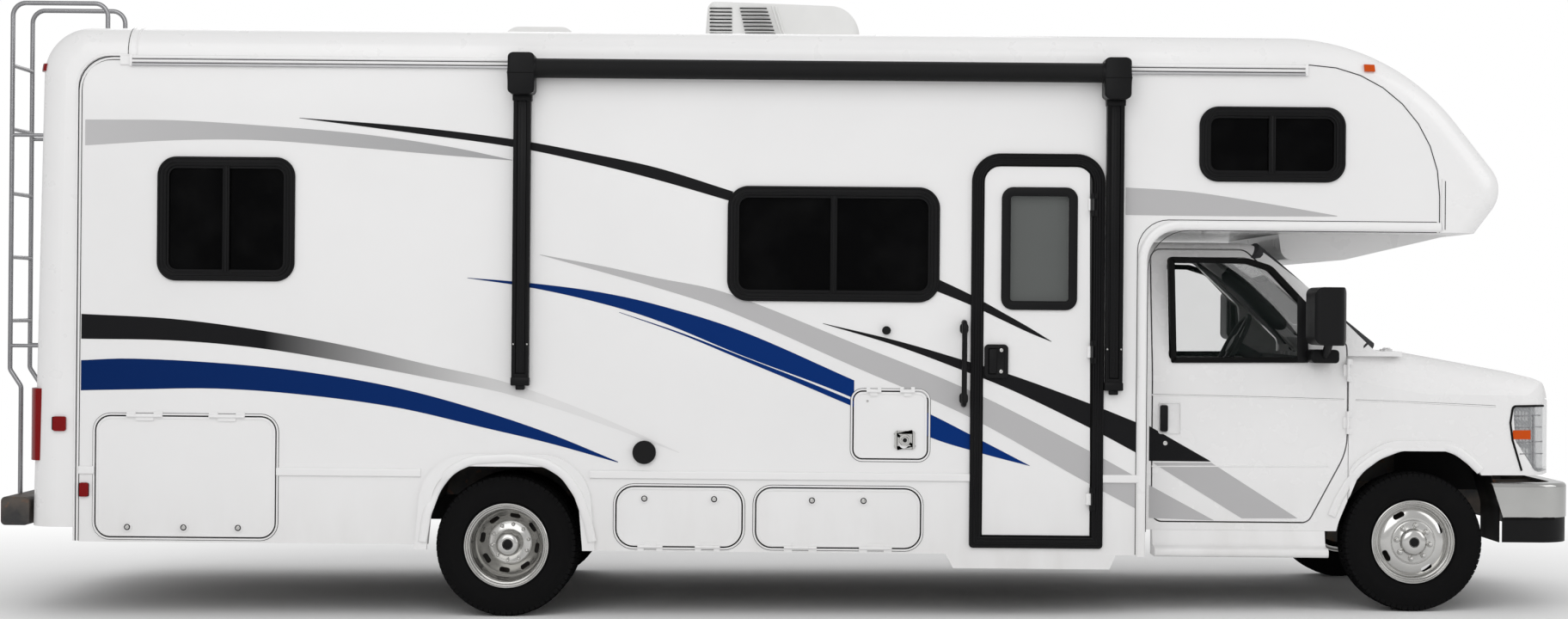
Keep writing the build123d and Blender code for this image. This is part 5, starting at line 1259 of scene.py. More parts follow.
@dataclass
class Tyres:
    """Road tyres with grooved treads, spun casings and ribbed shoulders."""

    radius: float = 0.372
    width: float = 0.219
    groove: float = 0.009
    # Side wall from the bead up as (distance in from the shoulder, radius)
    wall: tuple[Flat, ...] = (
        (0.0275, 0.207), (0.0275, 0.224), (0.019, 0.2275), (0.0135, 0.2335), (0.01, 0.2345),
        (0.0085, 0.2375), (0.0035, 0.258), (0.0008, 0.275), (0.0008, 0.2775), (0.0002, 0.279),
        (0.0, 0.2935), (0.0004, 0.3115), (0.0012, 0.3135), (0.0018, 0.3165), (0.0055, 0.3345),
        (0.0105, 0.3475), (0.014, 0.3545),
    )
    # The crown under the blocks as (distance in from the shoulder, fall)
    crown_edge: tuple[Flat, ...] = ((0.0215, 0.003), (0.036, 0.0006), (0.06, 0.0))
    pitches: int = 72
    rib_half: float = 0.0155
    # Rows of blocks: both edges from the shoulder, share of a pitch that they are shifted, gap
    edge_row: tuple[float, float, Flat, float] = (0.0095, 0.0475, (0.0, 0.3), 0.0045)
    inner_row: tuple[float, float, Flat, float] = (0.0535, 0.0835, (0.4, 0.6), 0.006)
    rib_row: Flat = (0.1, 0.005)
    block_root: float = 0.004
    slant: float = 0.006
    # How far the outer edge of a block falls, at its top and at its root
    edge_falls: Flat = (0.0085, 0.016)
    chamfer: float = 0.0012
    front_y: float = 0.876
    rear_y: tuple[float, float] = (1.085, 0.8)

    def outline(self) -> list[Flat]:
        """The casing's closed outline as (distance from the middle plane, radius)."""
        half = self.width / 2
        crown = self.radius - self.groove
        side = [(half - inset, radius) for inset, radius in self.wall]
        side += [(half - inset, crown - fall) for inset, fall in self.crown_edge]
        return [(-y, r) for y, r in side] + side[::-1]

    def lugs(self, centre: Point) -> Shape:
        """One pitch of the tread, repeated round the tyre."""
        pitch = math.tau * self.radius / self.pitches
        half = self.width / 2
        low = self.radius - self.groove - self.block_root
        blocks = []
        edge_a, edge_b, edge_shifts, edge_gap = self.edge_row
        inner_a, inner_b, inner_shifts, inner_gap = self.inner_row
        rows = (
            (-half + edge_a, -half + edge_b, edge_shifts[0], edge_gap),
            (-half + inner_a, -half + inner_b, inner_shifts[0], inner_gap),
            (-self.rib_half, self.rib_half, *self.rib_row),
            (half - inner_b, half - inner_a, inner_shifts[1], inner_gap),
            (half - edge_b, half - edge_a, edge_shifts[1], edge_gap),
        )
        for number, (inner, outer, shift, gap) in enumerate(rows):
            x = (shift - 0.5) * pitch
            long = (pitch - gap) / 2
            start = (centre[0] + x - long, centre[1] + inner, centre[2] + low)
            end = (centre[0] + x + long, centre[1] + outer, centre[2] + self.radius)
            block = Shape.box(f"lug_{number}", start, end)
            for vertex in block.obj.data.vertices:
                across = vertex.co.y - centre[1]
                slant = math.copysign(self.slant, across) if number in (1, 2, 3) else 0.0
                vertex.co.x += slant * (across - (inner + outer) / 2) / 0.02
                if abs(across) > half - 0.02:
                    vertex.co.z -= self.edge_falls[0 if vertex.co.z > centre[2] + low + 0.002 else 1]
            block.soften(self.chamfer, 1)
            blocks.append(block)
        tread = blocks[0].join(blocks[1:])
        return tread.ring_of(self.pitches, centre, Axis.Y)

    def model(self, name: str, centre: Point) -> Shape:
        """Model one tyre.

        Args:
            name: The piece's name.
            centre: Its middle.

        Returns:
            The tyre.
        """
        casing = Shape.spun(name, self.outline(), centre, Axis.Y, 96)
        return casing.join([self.lugs(centre)])

    def build(self) -> None:
        """Model one tyre and put a copy at each of the six places."""
        first = self.model("tyre_pattern", (0.0, 0.0, 0.0))
        for side in Side:
            front = first.copy(
                f"front_tyre_tread_{side.word}", (FRONT_AXLE_X, side.value * self.front_y, AXLE_Z)
            )
            front.settle(f"front_wheel_{side.word}", TYRE_RUBBER, level=False, smooth=38)
            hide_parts(f"front_tyre_{side.word}")
            for word, y in zip(("outer", "inner"), self.rear_y):
                name = f"rear_tyre_tread_{word}_{side.word}"
                rear = first.copy(name, (REAR_AXLE_X, side.value * y, AXLE_Z))
                rear.settle(f"rear_wheels_{side.word}", TYRE_RUBBER, level=False, smooth=38)
                if word == "outer":
                    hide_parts(f"rear_tyres_{side.word}")
        bpy.data.objects.remove(first.obj)


@dataclass
class Studio:
    """Floor, soft lamps and the camera at the photograph's angle."""

    reach: float = 120.0
    pale: Colour = (0.9, 0.9, 0.9)
    shadow_reach: Flat = (2.6, 5.5)
    world_strength: Flat = (0.67, 1.0)
    # Soft lamps: name, place, the point that it faces, side in metres, watts
    lamps: tuple = (
        ("high_front", (-2.0, -13.0, 9.0), (0.0, -1.0, 1.4), 12.0, 620.0),
        ("high_nose", (13.0, -6.0, 7.5), (2.0, 0.0, 1.4), 9.0, 300.0),
        ("high_far", (-3.0, 13.0, 9.0), (0.0, 0.0, 1.4), 12.0, 380.0),
    )

    def build(self) -> None:
        """Add the floor, the lamps, the world and the camera."""
        self.add_floor()
        self.add_world()
        for lamp in self.lamps:
            self.add_lamp(*lamp)
        self.add_camera()
        bpy.context.scene.view_settings.view_transform = "Standard"

    def add_floor(self) -> None:
        """Add the pale floor, which turns into the white of the backdrop away from the object."""
        Shape.clear()
        bpy.ops.mesh.primitive_plane_add(size=self.reach, location=(0, 0, 0))
        floor = bpy.context.object
        floor.name = "floor"
        sheet = NodeSheet("pale_floor")
        sheet.feed("Base Color", self.pale)
        sheet.feed("Roughness", 0.9)
        sheet.feed("Specular IOR Level", 0.0)
        squeezed = sheet.add(
            "ShaderNodeMapping", {"Vector": sheet.place(), "Scale": (0.62, 1.0, 1.0)}
        ).outputs[0]
        away = sheet.add("ShaderNodeVectorMath", {0: squeezed}, operation="LENGTH").outputs["Value"]
        share = sheet.spread(away, self.shadow_reach, (0.0, 1.0))
        rays = sheet.add("ShaderNodeLightPath")
        seen = sheet.add(
            "ShaderNodeMath", {0: share, 1: rays.outputs["Is Camera Ray"]}, operation="MULTIPLY"
        )
        white = sheet.add("ShaderNodeEmission", {"Color": (1.0, 1.0, 1.0, 1.0), "Strength": 1.0})
        mixed = sheet.add(
            "ShaderNodeMixShader", {0: seen.outputs[0], 1: sheet.shader.outputs[0], 2: white.outputs[0]}
        )
        sheet.tree.links.new(mixed.outputs[0], sheet.tree.nodes["Material Output"].inputs["Surface"])
        floor.data.materials.append(sheet.material)

    def add_world(self) -> None:
        """Light the scene evenly and show white behind it."""
        world = bpy.data.worlds.new("studio")
        world.use_nodes = True
        tree = world.node_tree
        background = tree.nodes["Background"]
        rays = tree.nodes.new("ShaderNodeLightPath")
        seen = tree.nodes.new("ShaderNodeMath")
        seen.operation = "MAXIMUM"
        tree.links.new(rays.outputs["Is Camera Ray"], seen.inputs[0])
        tree.links.new(rays.outputs["Is Transmission Ray"], seen.inputs[1])
        strength = tree.nodes.new("ShaderNodeMapRange")
        strength.inputs[3].default_value, strength.inputs[4].default_value = self.world_strength
        tree.links.new(seen.outputs[0], strength.inputs[0])
        tree.links.new(strength.outputs[0], background.inputs["Strength"])
        background.inputs["Color"].default_value = (1.0, 1.0, 1.0, 1.0)
        bpy.context.scene.world = world

    def add_lamp(self, name: str, at: Point, toward: Point, size: float, power: float) -> None:
        """Add a large soft lamp.

        Args:
            name: Its name.
            at: Its place.
            toward: The point that it faces.
            size: Its side in metres.
            power: Its power in watts.
        """
        light = bpy.data.lights.new(name, "AREA")
        light.shape = "SQUARE"
        light.size = size
        light.energy = power
        lamp = bpy.data.objects.new(name, light)
        bpy.context.collection.objects.link(lamp)
        lamp.location = at
        lamp.rotation_euler = (Vector(toward) - Vector(at)).to_track_quat("-Z", "Y").to_euler()

    def add_camera(self) -> None:
        """Add the camera where the photograph was taken from."""
        lens = bpy.data.cameras.new("photo_camera")
        lens.sensor_width = SENSOR_MM
        lens.lens = SENSOR_MM * FOCAL_PIXELS / PHOTO_WIDE
        lens.clip_end = 200.0
        camera = bpy.data.objects.new("photo_camera", lens)
        bpy.context.collection.objects.link(camera)
        camera.location = (CAMERA_X, CAMERA_Y, CAMERA_Z)
        camera.rotation_euler = (math.pi / 2, 0, 0)
        bpy.context.scene.camera = camera


def on_plane(pixel: Flat, y: float) -> Flat:
    """Level x and z of a pixel of the photograph that lies on an upright plane at y."""
    scale = (y - CAMERA_Y) / FOCAL_PIXELS
    x = (pixel[0] - PHOTO_WIDE / 2) * scale + CAMERA_X
    height = CAMERA_Z + (PHOTO_TALL / 2 - pixel[1]) * scale
    z = height + (x - REAR_AXLE_X) * math.tan(RAKE)
    return x - (z - AXLE_Z) * math.tan(RAKE), z


@dataclass
class Wheels:
    """Polished rims with stepped lips, hand holes, capped nuts, domed hubs and brake drums."""

    rim_steps: int = 120
    hub_bore: float = 0.031
    hub_radius: float = 0.075
    drum_radius: float = 0.165
    front_y: float = 0.876
    outer_y: float = 1.085
    inner_y: float = 0.8
    # Blank caps as (outer end along the axle, radius), then both ends of the drum and the hub's end
    front_centre: tuple = ((0.1225, 0.024), (0.8008, 0.83), 0.084)
    rear_centre: tuple = ((0.0312, 0.0258), (0.6408, 0.75), -0.1235)
    # Hand holes: how many, ring, length, height, reach of the cut along the axle
    front_holes: tuple = (4, 0.158, 0.064, 0.027, (0.03, 0.12))
    rear_holes: tuple = (8, 0.1465, 0.056, 0.024, (-0.16, -0.03))
    # Nuts: how many, ring, foot along the axle, radius, length
    front_nuts: tuple = (8, 0.0895, 0.0952, 0.0125, 0.026)
    rear_nuts: tuple = (10, 0.0975, -0.1108, 0.0085, 0.016)
    # Degrees that the holes and the nuts are turned about the axle
    front_turns: Flat = (-28, 8)
    rear_turns: Flat = (11, 9)

    # Closed outlines as (distance outward from the tyre's middle, radius)
    lip: tuple[Flat, ...] = (
        (0.097, 0.222), (0.0986, 0.2195), (0.0982, 0.2165), (0.0945, 0.2135), (0.0902, 0.2122),
        (0.0896, 0.2105), (0.0915, 0.2088), (0.0912, 0.2062), (0.087, 0.2035), (0.0795, 0.2015),
        (0.0788, 0.1998), (0.081, 0.1978), (0.0802, 0.1952), (0.076, 0.1928),
    )
    back: tuple[Flat, ...] = (
        (-0.0855, 0.1955), (-0.0855, 0.205), (-0.088, 0.2145), (-0.097, 0.2145), (-0.097, 0.222),
        (-0.0843, 0.222), (-0.0843, 0.2057), (0.0843, 0.2057), (0.0843, 0.222),
    )
    front_face: tuple[Flat, ...] = (
        (0.066, 0.1898), (0.0608, 0.1865), (0.0612, 0.1835), (0.066, 0.1805), (0.0745, 0.1725),
        (0.082, 0.161), (0.0872, 0.148), (0.0905, 0.135), (0.0918, 0.1245), (0.091, 0.1195),
        (0.0885, 0.1175), (0.0886, 0.1155), (0.0925, 0.114), (0.0945, 0.111), (0.0952, 0.105),
        (0.0952, 0.0745), (0.0975, 0.0715), (0.1035, 0.069), (0.1105, 0.0668), (0.1165, 0.0618),
        (0.1205, 0.0545), (0.1232, 0.0445), (0.1245, 0.034), (0.1243, 0.0285), (0.122, 0.0262),
        (0.1195, 0.0248), (0.1195, 0.004), (0.084, 0.004), (0.084, 0.118), (0.079, 0.137),
        (0.0705, 0.156), (0.058, 0.172), (0.042, 0.184), (0.034, 0.1915),
    )
    rear_face: tuple[Flat, ...] = (
        (0.068, 0.1905), (0.052, 0.189), (0.018, 0.1868), (-0.018, 0.1835), (-0.0425, 0.1795),
        (-0.047, 0.1765), (-0.0495, 0.172), (-0.062, 0.1655), (-0.078, 0.152), (-0.0915, 0.136),
        (-0.1005, 0.1225), (-0.1045, 0.1165), (-0.1135, 0.1135), (-0.1118, 0.111), (-0.1108, 0.107),
        (-0.1108, 0.0705), (-0.1085, 0.0675), (-0.02, 0.0655), (0.008, 0.0645), (0.0195, 0.0605),
        (0.0275, 0.0525), (0.0322, 0.0425), (0.0342, 0.0335), (0.0338, 0.0292), (0.031, 0.0272),
        (0.028, 0.0262), (0.028, 0.004), (-0.123, 0.004), (-0.123, 0.118), (-0.113, 0.132),
        (-0.101, 0.149), (-0.088, 0.165), (-0.076, 0.178), (-0.07, 0.19), (-0.072, 0.1955),
    )
    inner_face: tuple[Flat, ...] = (
        (0.05, 0.19), (0.07, 0.182), (0.098, 0.165), (0.128, 0.142), (0.148, 0.118), (0.148, 0.062),
        (0.158, 0.062), (0.158, 0.124), (0.136, 0.15), (0.104, 0.174), (0.0835, 0.189), (0.0835, 0.1955),
    )

    def hole_cutter(self, count: int, radius: float, long: float, tall: float, depth: Flat) -> Shape:
        """Oval bars round the hub, to cut holes with.

        Args:
            count: How many holes.
            radius: The ring that they lie on.
            long: Length of a hole along the ring.
            tall: Its height.
            depth: From where to where the bars reach along the axle.

        Returns:
            The bars as one piece.
        """
        low = (-long / 2, depth[0], radius - tall / 2)
        bar = Shape.box("hole_cutter", low, (long / 2, depth[1], radius + tall / 2))
        bar.round_edges(lambda a, b: abs(a.y - b.y) > 0.01, tall * 0.49, 6)
        return bar.ring_of(count, (0, 0, 0), Axis.Y)

    def nuts(self, count: int, ring: float, foot: float, size: float, long: float) -> Shape:
        """Capped wheel nuts on a ring."""
        washer = Shape.rod(
            "nuts", (0, foot - 0.001, ring), (0, foot + 0.005, ring), size * 1.35, 20, size * 1.1
        )
        cap = Shape.rod("cap", (0, foot + 0.003, ring), (0, foot + long, ring), size, 20, size * 0.92)
        cap.round_edges(lambda a, b: min(a.y, b.y) > foot + long - 0.0005, size * 0.62, 4)
        return washer.join([cap]).ring_of(count, (0, 0, 0), Axis.Y)

    def model(self, name: str, face: tuple, holes: tuple, nuts: tuple, turns: Flat) -> Shape:
        """One rim about the origin, outward along +y.

        Args:
            name: The piece's name.
            face: The outline of its disc.
            holes: The hand holes' sizes.
            nuts: The nuts' sizes.
            turns: Degrees that the holes and the nuts are turned.

        Returns:
            The rim.
        """
        hole_turn, nut_turn = (math.radians(angle) for angle in turns)
        rim = Shape.spun(name, self.lip + face + self.back, (0, 0, 0), Axis.Y, self.rim_steps)
        rim.cut(self.hole_cutter(*holes).turn(hole_turn, (0, 0, 0), Axis.Y))
        return rim.join([self.nuts(*nuts).turn(nut_turn, (0, 0, 0), Axis.Y)])

    def build(self) -> None:
        """Model each kind of rim once and put copies on both sides."""
        front = self.model(
            "front_rim", self.front_face, self.front_holes, self.front_nuts, self.front_turns
        )
        rear = self.model("rear_rim", self.rear_face, self.rear_holes, self.rear_nuts, self.rear_turns)
        inner = Shape.spun("inner_rim", self.back + self.inner_face, (0, 0, 0), Axis.Y, 72)
        for side in Side:
            across = side is Side.RIGHT
            place = (FRONT_AXLE_X, side.value * self.front_y, AXLE_Z)
            body = f"front_wheel_{side.word}"
            rim = front.copy(f"front_rim_{side.word}", place, across)
            rim.settle(body, STAINLESS, level=False, smooth=40)
            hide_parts(body)
            self.add_centre(body, place, side, self.front_centre)
            place = (REAR_AXLE_X, side.value * self.outer_y, AXLE_Z)
            body = f"rear_wheels_{side.word}"
            rim = rear.copy(f"rear_rim_{side.word}", place, across)
            rim.settle(body, STAINLESS, level=False, smooth=40)
            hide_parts(body)
            self.add_centre(body, place, side, self.rear_centre)
            place = (REAR_AXLE_X, side.value * self.inner_y, AXLE_Z)
            rim = inner.copy(f"inner_rim_{side.word}", place, across)
            rim.settle(body, CAST_IRON, level=False, smooth=40)
        for shape in (front, rear, inner):
            bpy.data.objects.remove(shape.obj)

    def add_centre(self, body: str, place: Point, side: Side, sizes: tuple) -> None:
        """Add the blank centre cap and the brake drum with its hub.

        Args:
            body: The wheel's body.
            place: The wheel's middle.
            side: Its side.
            sizes: The cap's, the drum's and the hub's sizes.
        """
        cap, ends, hub_end = sizes
        x, y, z = place
        sign = side.value
        drum = [end - abs(y) for end in ends]
        cap_end = y + sign * cap[0]
        disc = Shape.rod(f"{body}_cap", (x, cap_end - sign * 0.006, z), (x, cap_end, z), cap[1], 40)
        disc.soften(0.0015, 2)
        disc.settle(body, PART_BLACK, level=False)
        outline = (
            (drum[0], self.hub_bore), (drum[0], self.drum_radius), (drum[1], self.drum_radius),
            (drum[1], self.hub_radius),
            (hub_end, self.hub_radius), (hub_end, self.hub_bore),
        )
        placed = [(sign * along, radius) for along, radius in outline]
        ring = Shape.spun(f"{body}_drum", placed, place, Axis.Y, 64)
        ring.settle(body, CAST_IRON, level=False)


@dataclass
class Seams:
    """Joint covers and mouldings of the house's panels."""

    rear_x: float = -3.742
    rail_z: float = 2.903
    rail_ends: Flat = (-3.47, 2.681)
    roof_seam_x: float = -3.46
    nose_radius: float = 0.68
    side_top_z: float = 2.9305
    roof_z: float = 3.0855
    corner: float = 0.1505
    nose_line: tuple[Flat, ...] = ((2.69, 2.9305), (3.384, 2.9305), (3.384, 2.06))
    nose_cover: tuple[Flat, ...] = ((3.384, 2.075), (3.384, 2.34))
    nose_cover_edge: tuple[Flat, ...] = ((3.384, 2.075), (3.384, 2.33))
    foot_z: float = 0.386
    rear_bend: float = 0.17
    cover_radius: float = 0.0062
    line_radius: float = 0.0022
    # Ridges of the drip rail as (height over its middle, radius), and the grooves' heights
    ridges: tuple[Flat, ...] = ((0.017, 0.0075), (-0.004, 0.0055), (-0.0225, 0.0075))
    grooves: Flat = (0.0065, -0.0135)
    # The moulding that rounds the corner from the wall's front edge to the bunk's belly
    front_x: float = 1.832
    belly_z: float = 2.087
    front_bend: float = 0.19
    front_wide: float = 0.05
    front_proud: float = 0.013

    def build(self) -> None:
        """Add every seam on both sides."""
        for side in Side:
            self.add_rear(side)
            self.add_rail(side)
            self.add_front(side)
        self.add_roof_seam(self.roof_seam_x)

    def add_rear(self, side: Side) -> None:
        """Add the double cover of the joint between the rear cap and the wall."""
        y = side.value * (WALL_Y + 0.001)
        for number, shift in enumerate((-0.0085, 0.0085)):
            x = self.rear_x + shift
            top = self.rail_z + 0.018 - shift
            route = [(x, y, self.foot_z), (x, y, top), (self.rail_ends[0] + 0.004, y, top)]
            name = f"rear_seam_{side.word}_{number}"
            cover = Shape.tube(name, route, self.cover_radius, self.rear_bend, sides=3)
            cover.settle("motorhome", SHELL_WHITE, smooth=60)
        x = self.rear_x
        top = self.rail_z + 0.018
        route = [(x, y, self.foot_z), (x, y, top), (self.rail_ends[0] + 0.004, y, top)]
        joint = Shape.tube(f"rear_joint_{side.word}", route, 0.0032, self.rear_bend, sides=2)
        joint.settle("motorhome", JOINT_AND_SHADE_LINE, smooth=60)
        edge = [
            (x + 0.0155, y, self.foot_z), (x + 0.0155, y, top - 0.0155),
            (self.rail_ends[0] + 0.004, y, top - 0.0155),
        ]
        line = Shape.tube(f"rear_seam_edge_{side.word}", edge, self.line_radius, 0.155, sides=2)
        line.settle("motorhome", JOINT_AND_SHADE_LINE, smooth=60)

    def add_rail(self, side: Side) -> None:
        """Add the ridges and the dark groove of the drip rail, with its end caps."""
        y = side.value * (WALL_Y + 0.0115)
        start, end = self.rail_ends
        for number, (z, radius) in enumerate(self.ridges):
            route = [(start, y, self.rail_z + z), (end, y, self.rail_z + z)]
            ridge = Shape.tube(f"drip_ridge_{side.word}_{number}", route, radius, sides=3)
            ridge.settle("motorhome", PLAIN_ALLOY if number == 2 else SHELL_WHITE)
        for number, z in enumerate(self.grooves):
            low = (start, y - 0.0012, self.rail_z + z - 0.0022)
            high = (end, y + 0.0012, self.rail_z + z + 0.0022)
            groove = Shape.box(f"drip_groove_{side.word}_{number}", low, high)
            groove.settle("motorhome", JOINT_AND_SHADE_LINE)
        for number, x in enumerate((start, end)):
            low = (x - 0.008, side.value * WALL_Y, self.rail_z - 0.031)
            high = (x + 0.008, side.value * (WALL_Y + 0.019), 2.9345)
            cap = Shape.box(f"drip_cap_{side.word}_{number}", low, high)
            cap.soften(0.004, 2)
            cap.settle("motorhome", SHELL_WHITE)

    def add_front(self, side: Side) -> None:
        """Add the moulding round the wall's front edge, the bunk's edge and the nose joint."""
        y = side.value * WALL_Y
        x, z = self.front_x, self.belly_z
        route = bent_route([(x, y, 0.35), (x, y, z), (3.392, y, z)], self.front_bend, 16)
        name = f"front_moulding_{side.word}"
        moulding = Shape.band(name, route, self.front_wide, self.front_proud, side.value)
        moulding.settle("motorhome", SHELL_WHITE, smooth=50)
        for number, inset in enumerate((-0.027, 0.027)):
            foot = 0.48 if number == 0 else 0.36
            points = [(x - inset, y, foot), (x - inset, y, z + inset), (3.37, y, z + inset)]
            name = f"front_joint_{side.word}_{number}"
            line = Shape.tube(name, points, 0.0021, self.front_bend - inset, sides=2)
            line.settle("motorhome", JOINT_AND_SHADE_LINE, smooth=60)
        nose = [(x, y, z) for x, z in self.nose_line]
        seam = Shape.tube(f"nose_joint_{side.word}", nose, 0.0027, self.nose_radius, sides=2)
        seam.settle("motorhome", JOINT_AND_SHADE_LINE, smooth=60)
        cover = [(x + 0.016, y, z) for x, z in self.nose_cover]
        Shape.tube(f"nose_cover_{side.word}", cover, 0.006, sides=3).settle("motorhome", SHELL_WHITE)
        edge = [(x + 0.03, y, z) for x, z in self.nose_cover_edge]
        line = Shape.tube(f"nose_cover_edge_{side.word}", edge, self.line_radius, sides=2)
        line.settle("motorhome", JOINT_AND_SHADE_LINE)

    def add_roof_seam(self, x: float) -> None:
        """Add the cover of a joint across the roof."""
        y = WALL_Y
        low = self.side_top_z + 0.01
        route = [(x, -y, low), (x, -y, self.roof_z), (x, y, self.roof_z), (x, y, low)]
        for number, shift in enumerate((-0.02, 0.02)):
            moved = [(px + shift, py, pz) for px, py, pz in route]
            cover = Shape.tube(f"roof_seam_{number}", moved, 0.005, self.corner, sides=3)
            cover.settle("motorhome", SHELL_WHITE)
        moved = [(px - 0.027, py, pz) for px, py, pz in route]
        joint = Shape.tube("roof_joint", moved, self.line_radius, self.corner, sides=2)
        joint.settle("motorhome", JOINT_AND_SHADE_LINE)


@dataclass(frozen=True)
class Opening:
    """One framed window of the house."""

    name: str
    low: Flat
    high: Flat
    radius: float
    divider: float

    def outline(self, grow: float) -> list[Flat]:
        """The frame's outline, grown."""
        return frame_outline(self.low, self.high, self.radius, grow=grow)


@dataclass
class Windows:
    """Sash lines, lips and tracks of the sliding windows on both sides."""

    openings: tuple[Opening, ...] = (
        Opening("rear_window", (-3.326, 1.751), (-2.606, 2.401), 0.1, -2.966),
        Opening("middle_window", (-0.342, 1.67), (0.769, 2.273), 0.11, 0.214),
        Opening("bunk_window", (2.123, 2.316), (2.888, 2.71), 0.1, 2.503),
    )
    rim: float = 0.047
    face: float = 0.012
    # Rolls of the frame as (distance outward from its edge, radius, height over its face)
    rolls: tuple[Point, ...] = ((-0.008, 0.0065, -0.001), (-0.03, 0.004, 0.0), (-0.0455, 0.0035, 0.0005))
    # Sash bars as (distance from the divider, width)
    bars: tuple[Flat, ...] = ((-0.0145, 0.006), (0.0145, 0.006), (0.0, 0.013))

    def build(self) -> None:
        """Detail every window."""
        for side in Side:
            for opening in self.openings:
                self.detail(opening, side)

    def detail(self, opening: Opening, side: Side) -> None:
        """Add one window's outer roll, inner lip, sash bars and track.

        Args:
            opening: The window.
            side: The side that it is on.
        """
        sign = side.value
        y = sign * (WALL_Y + self.face)
        parts = []
        for grow, radius, shift in self.rolls:
            parts.append(Shape.bead("roll", opening.outline(grow), y + sign * shift, radius))
        lip = Shape.plate("lip", opening.outline(-self.rim), y - sign * 0.02, y - sign * 0.006, rim=0.013)
        parts.append(lip)
        foot = opening.low[1] + self.rim
        head = opening.high[1] - self.rim
        for shift, wide in self.bars:
            x = opening.divider + shift
            low = (x - wide / 2, y - sign * 0.004, foot)
            bar = Shape.box("bar", low, (x + wide / 2, y + sign * 0.0035, head))
            parts.append(bar.soften(0.0015, 1))
        low = (opening.low[0] + self.rim, y - sign * 0.018, foot)
        high = (opening.high[0] - self.rim, y - sign * 0.002, foot + 0.009)
        parts.append(Shape.box("track", low, high))
        whole = parts[0].join(parts[1:])
        whole.obj.name = f"{opening.name}_{side.word}"
        whole.settle("motorhome", FRAME_BLACK, smooth=45)


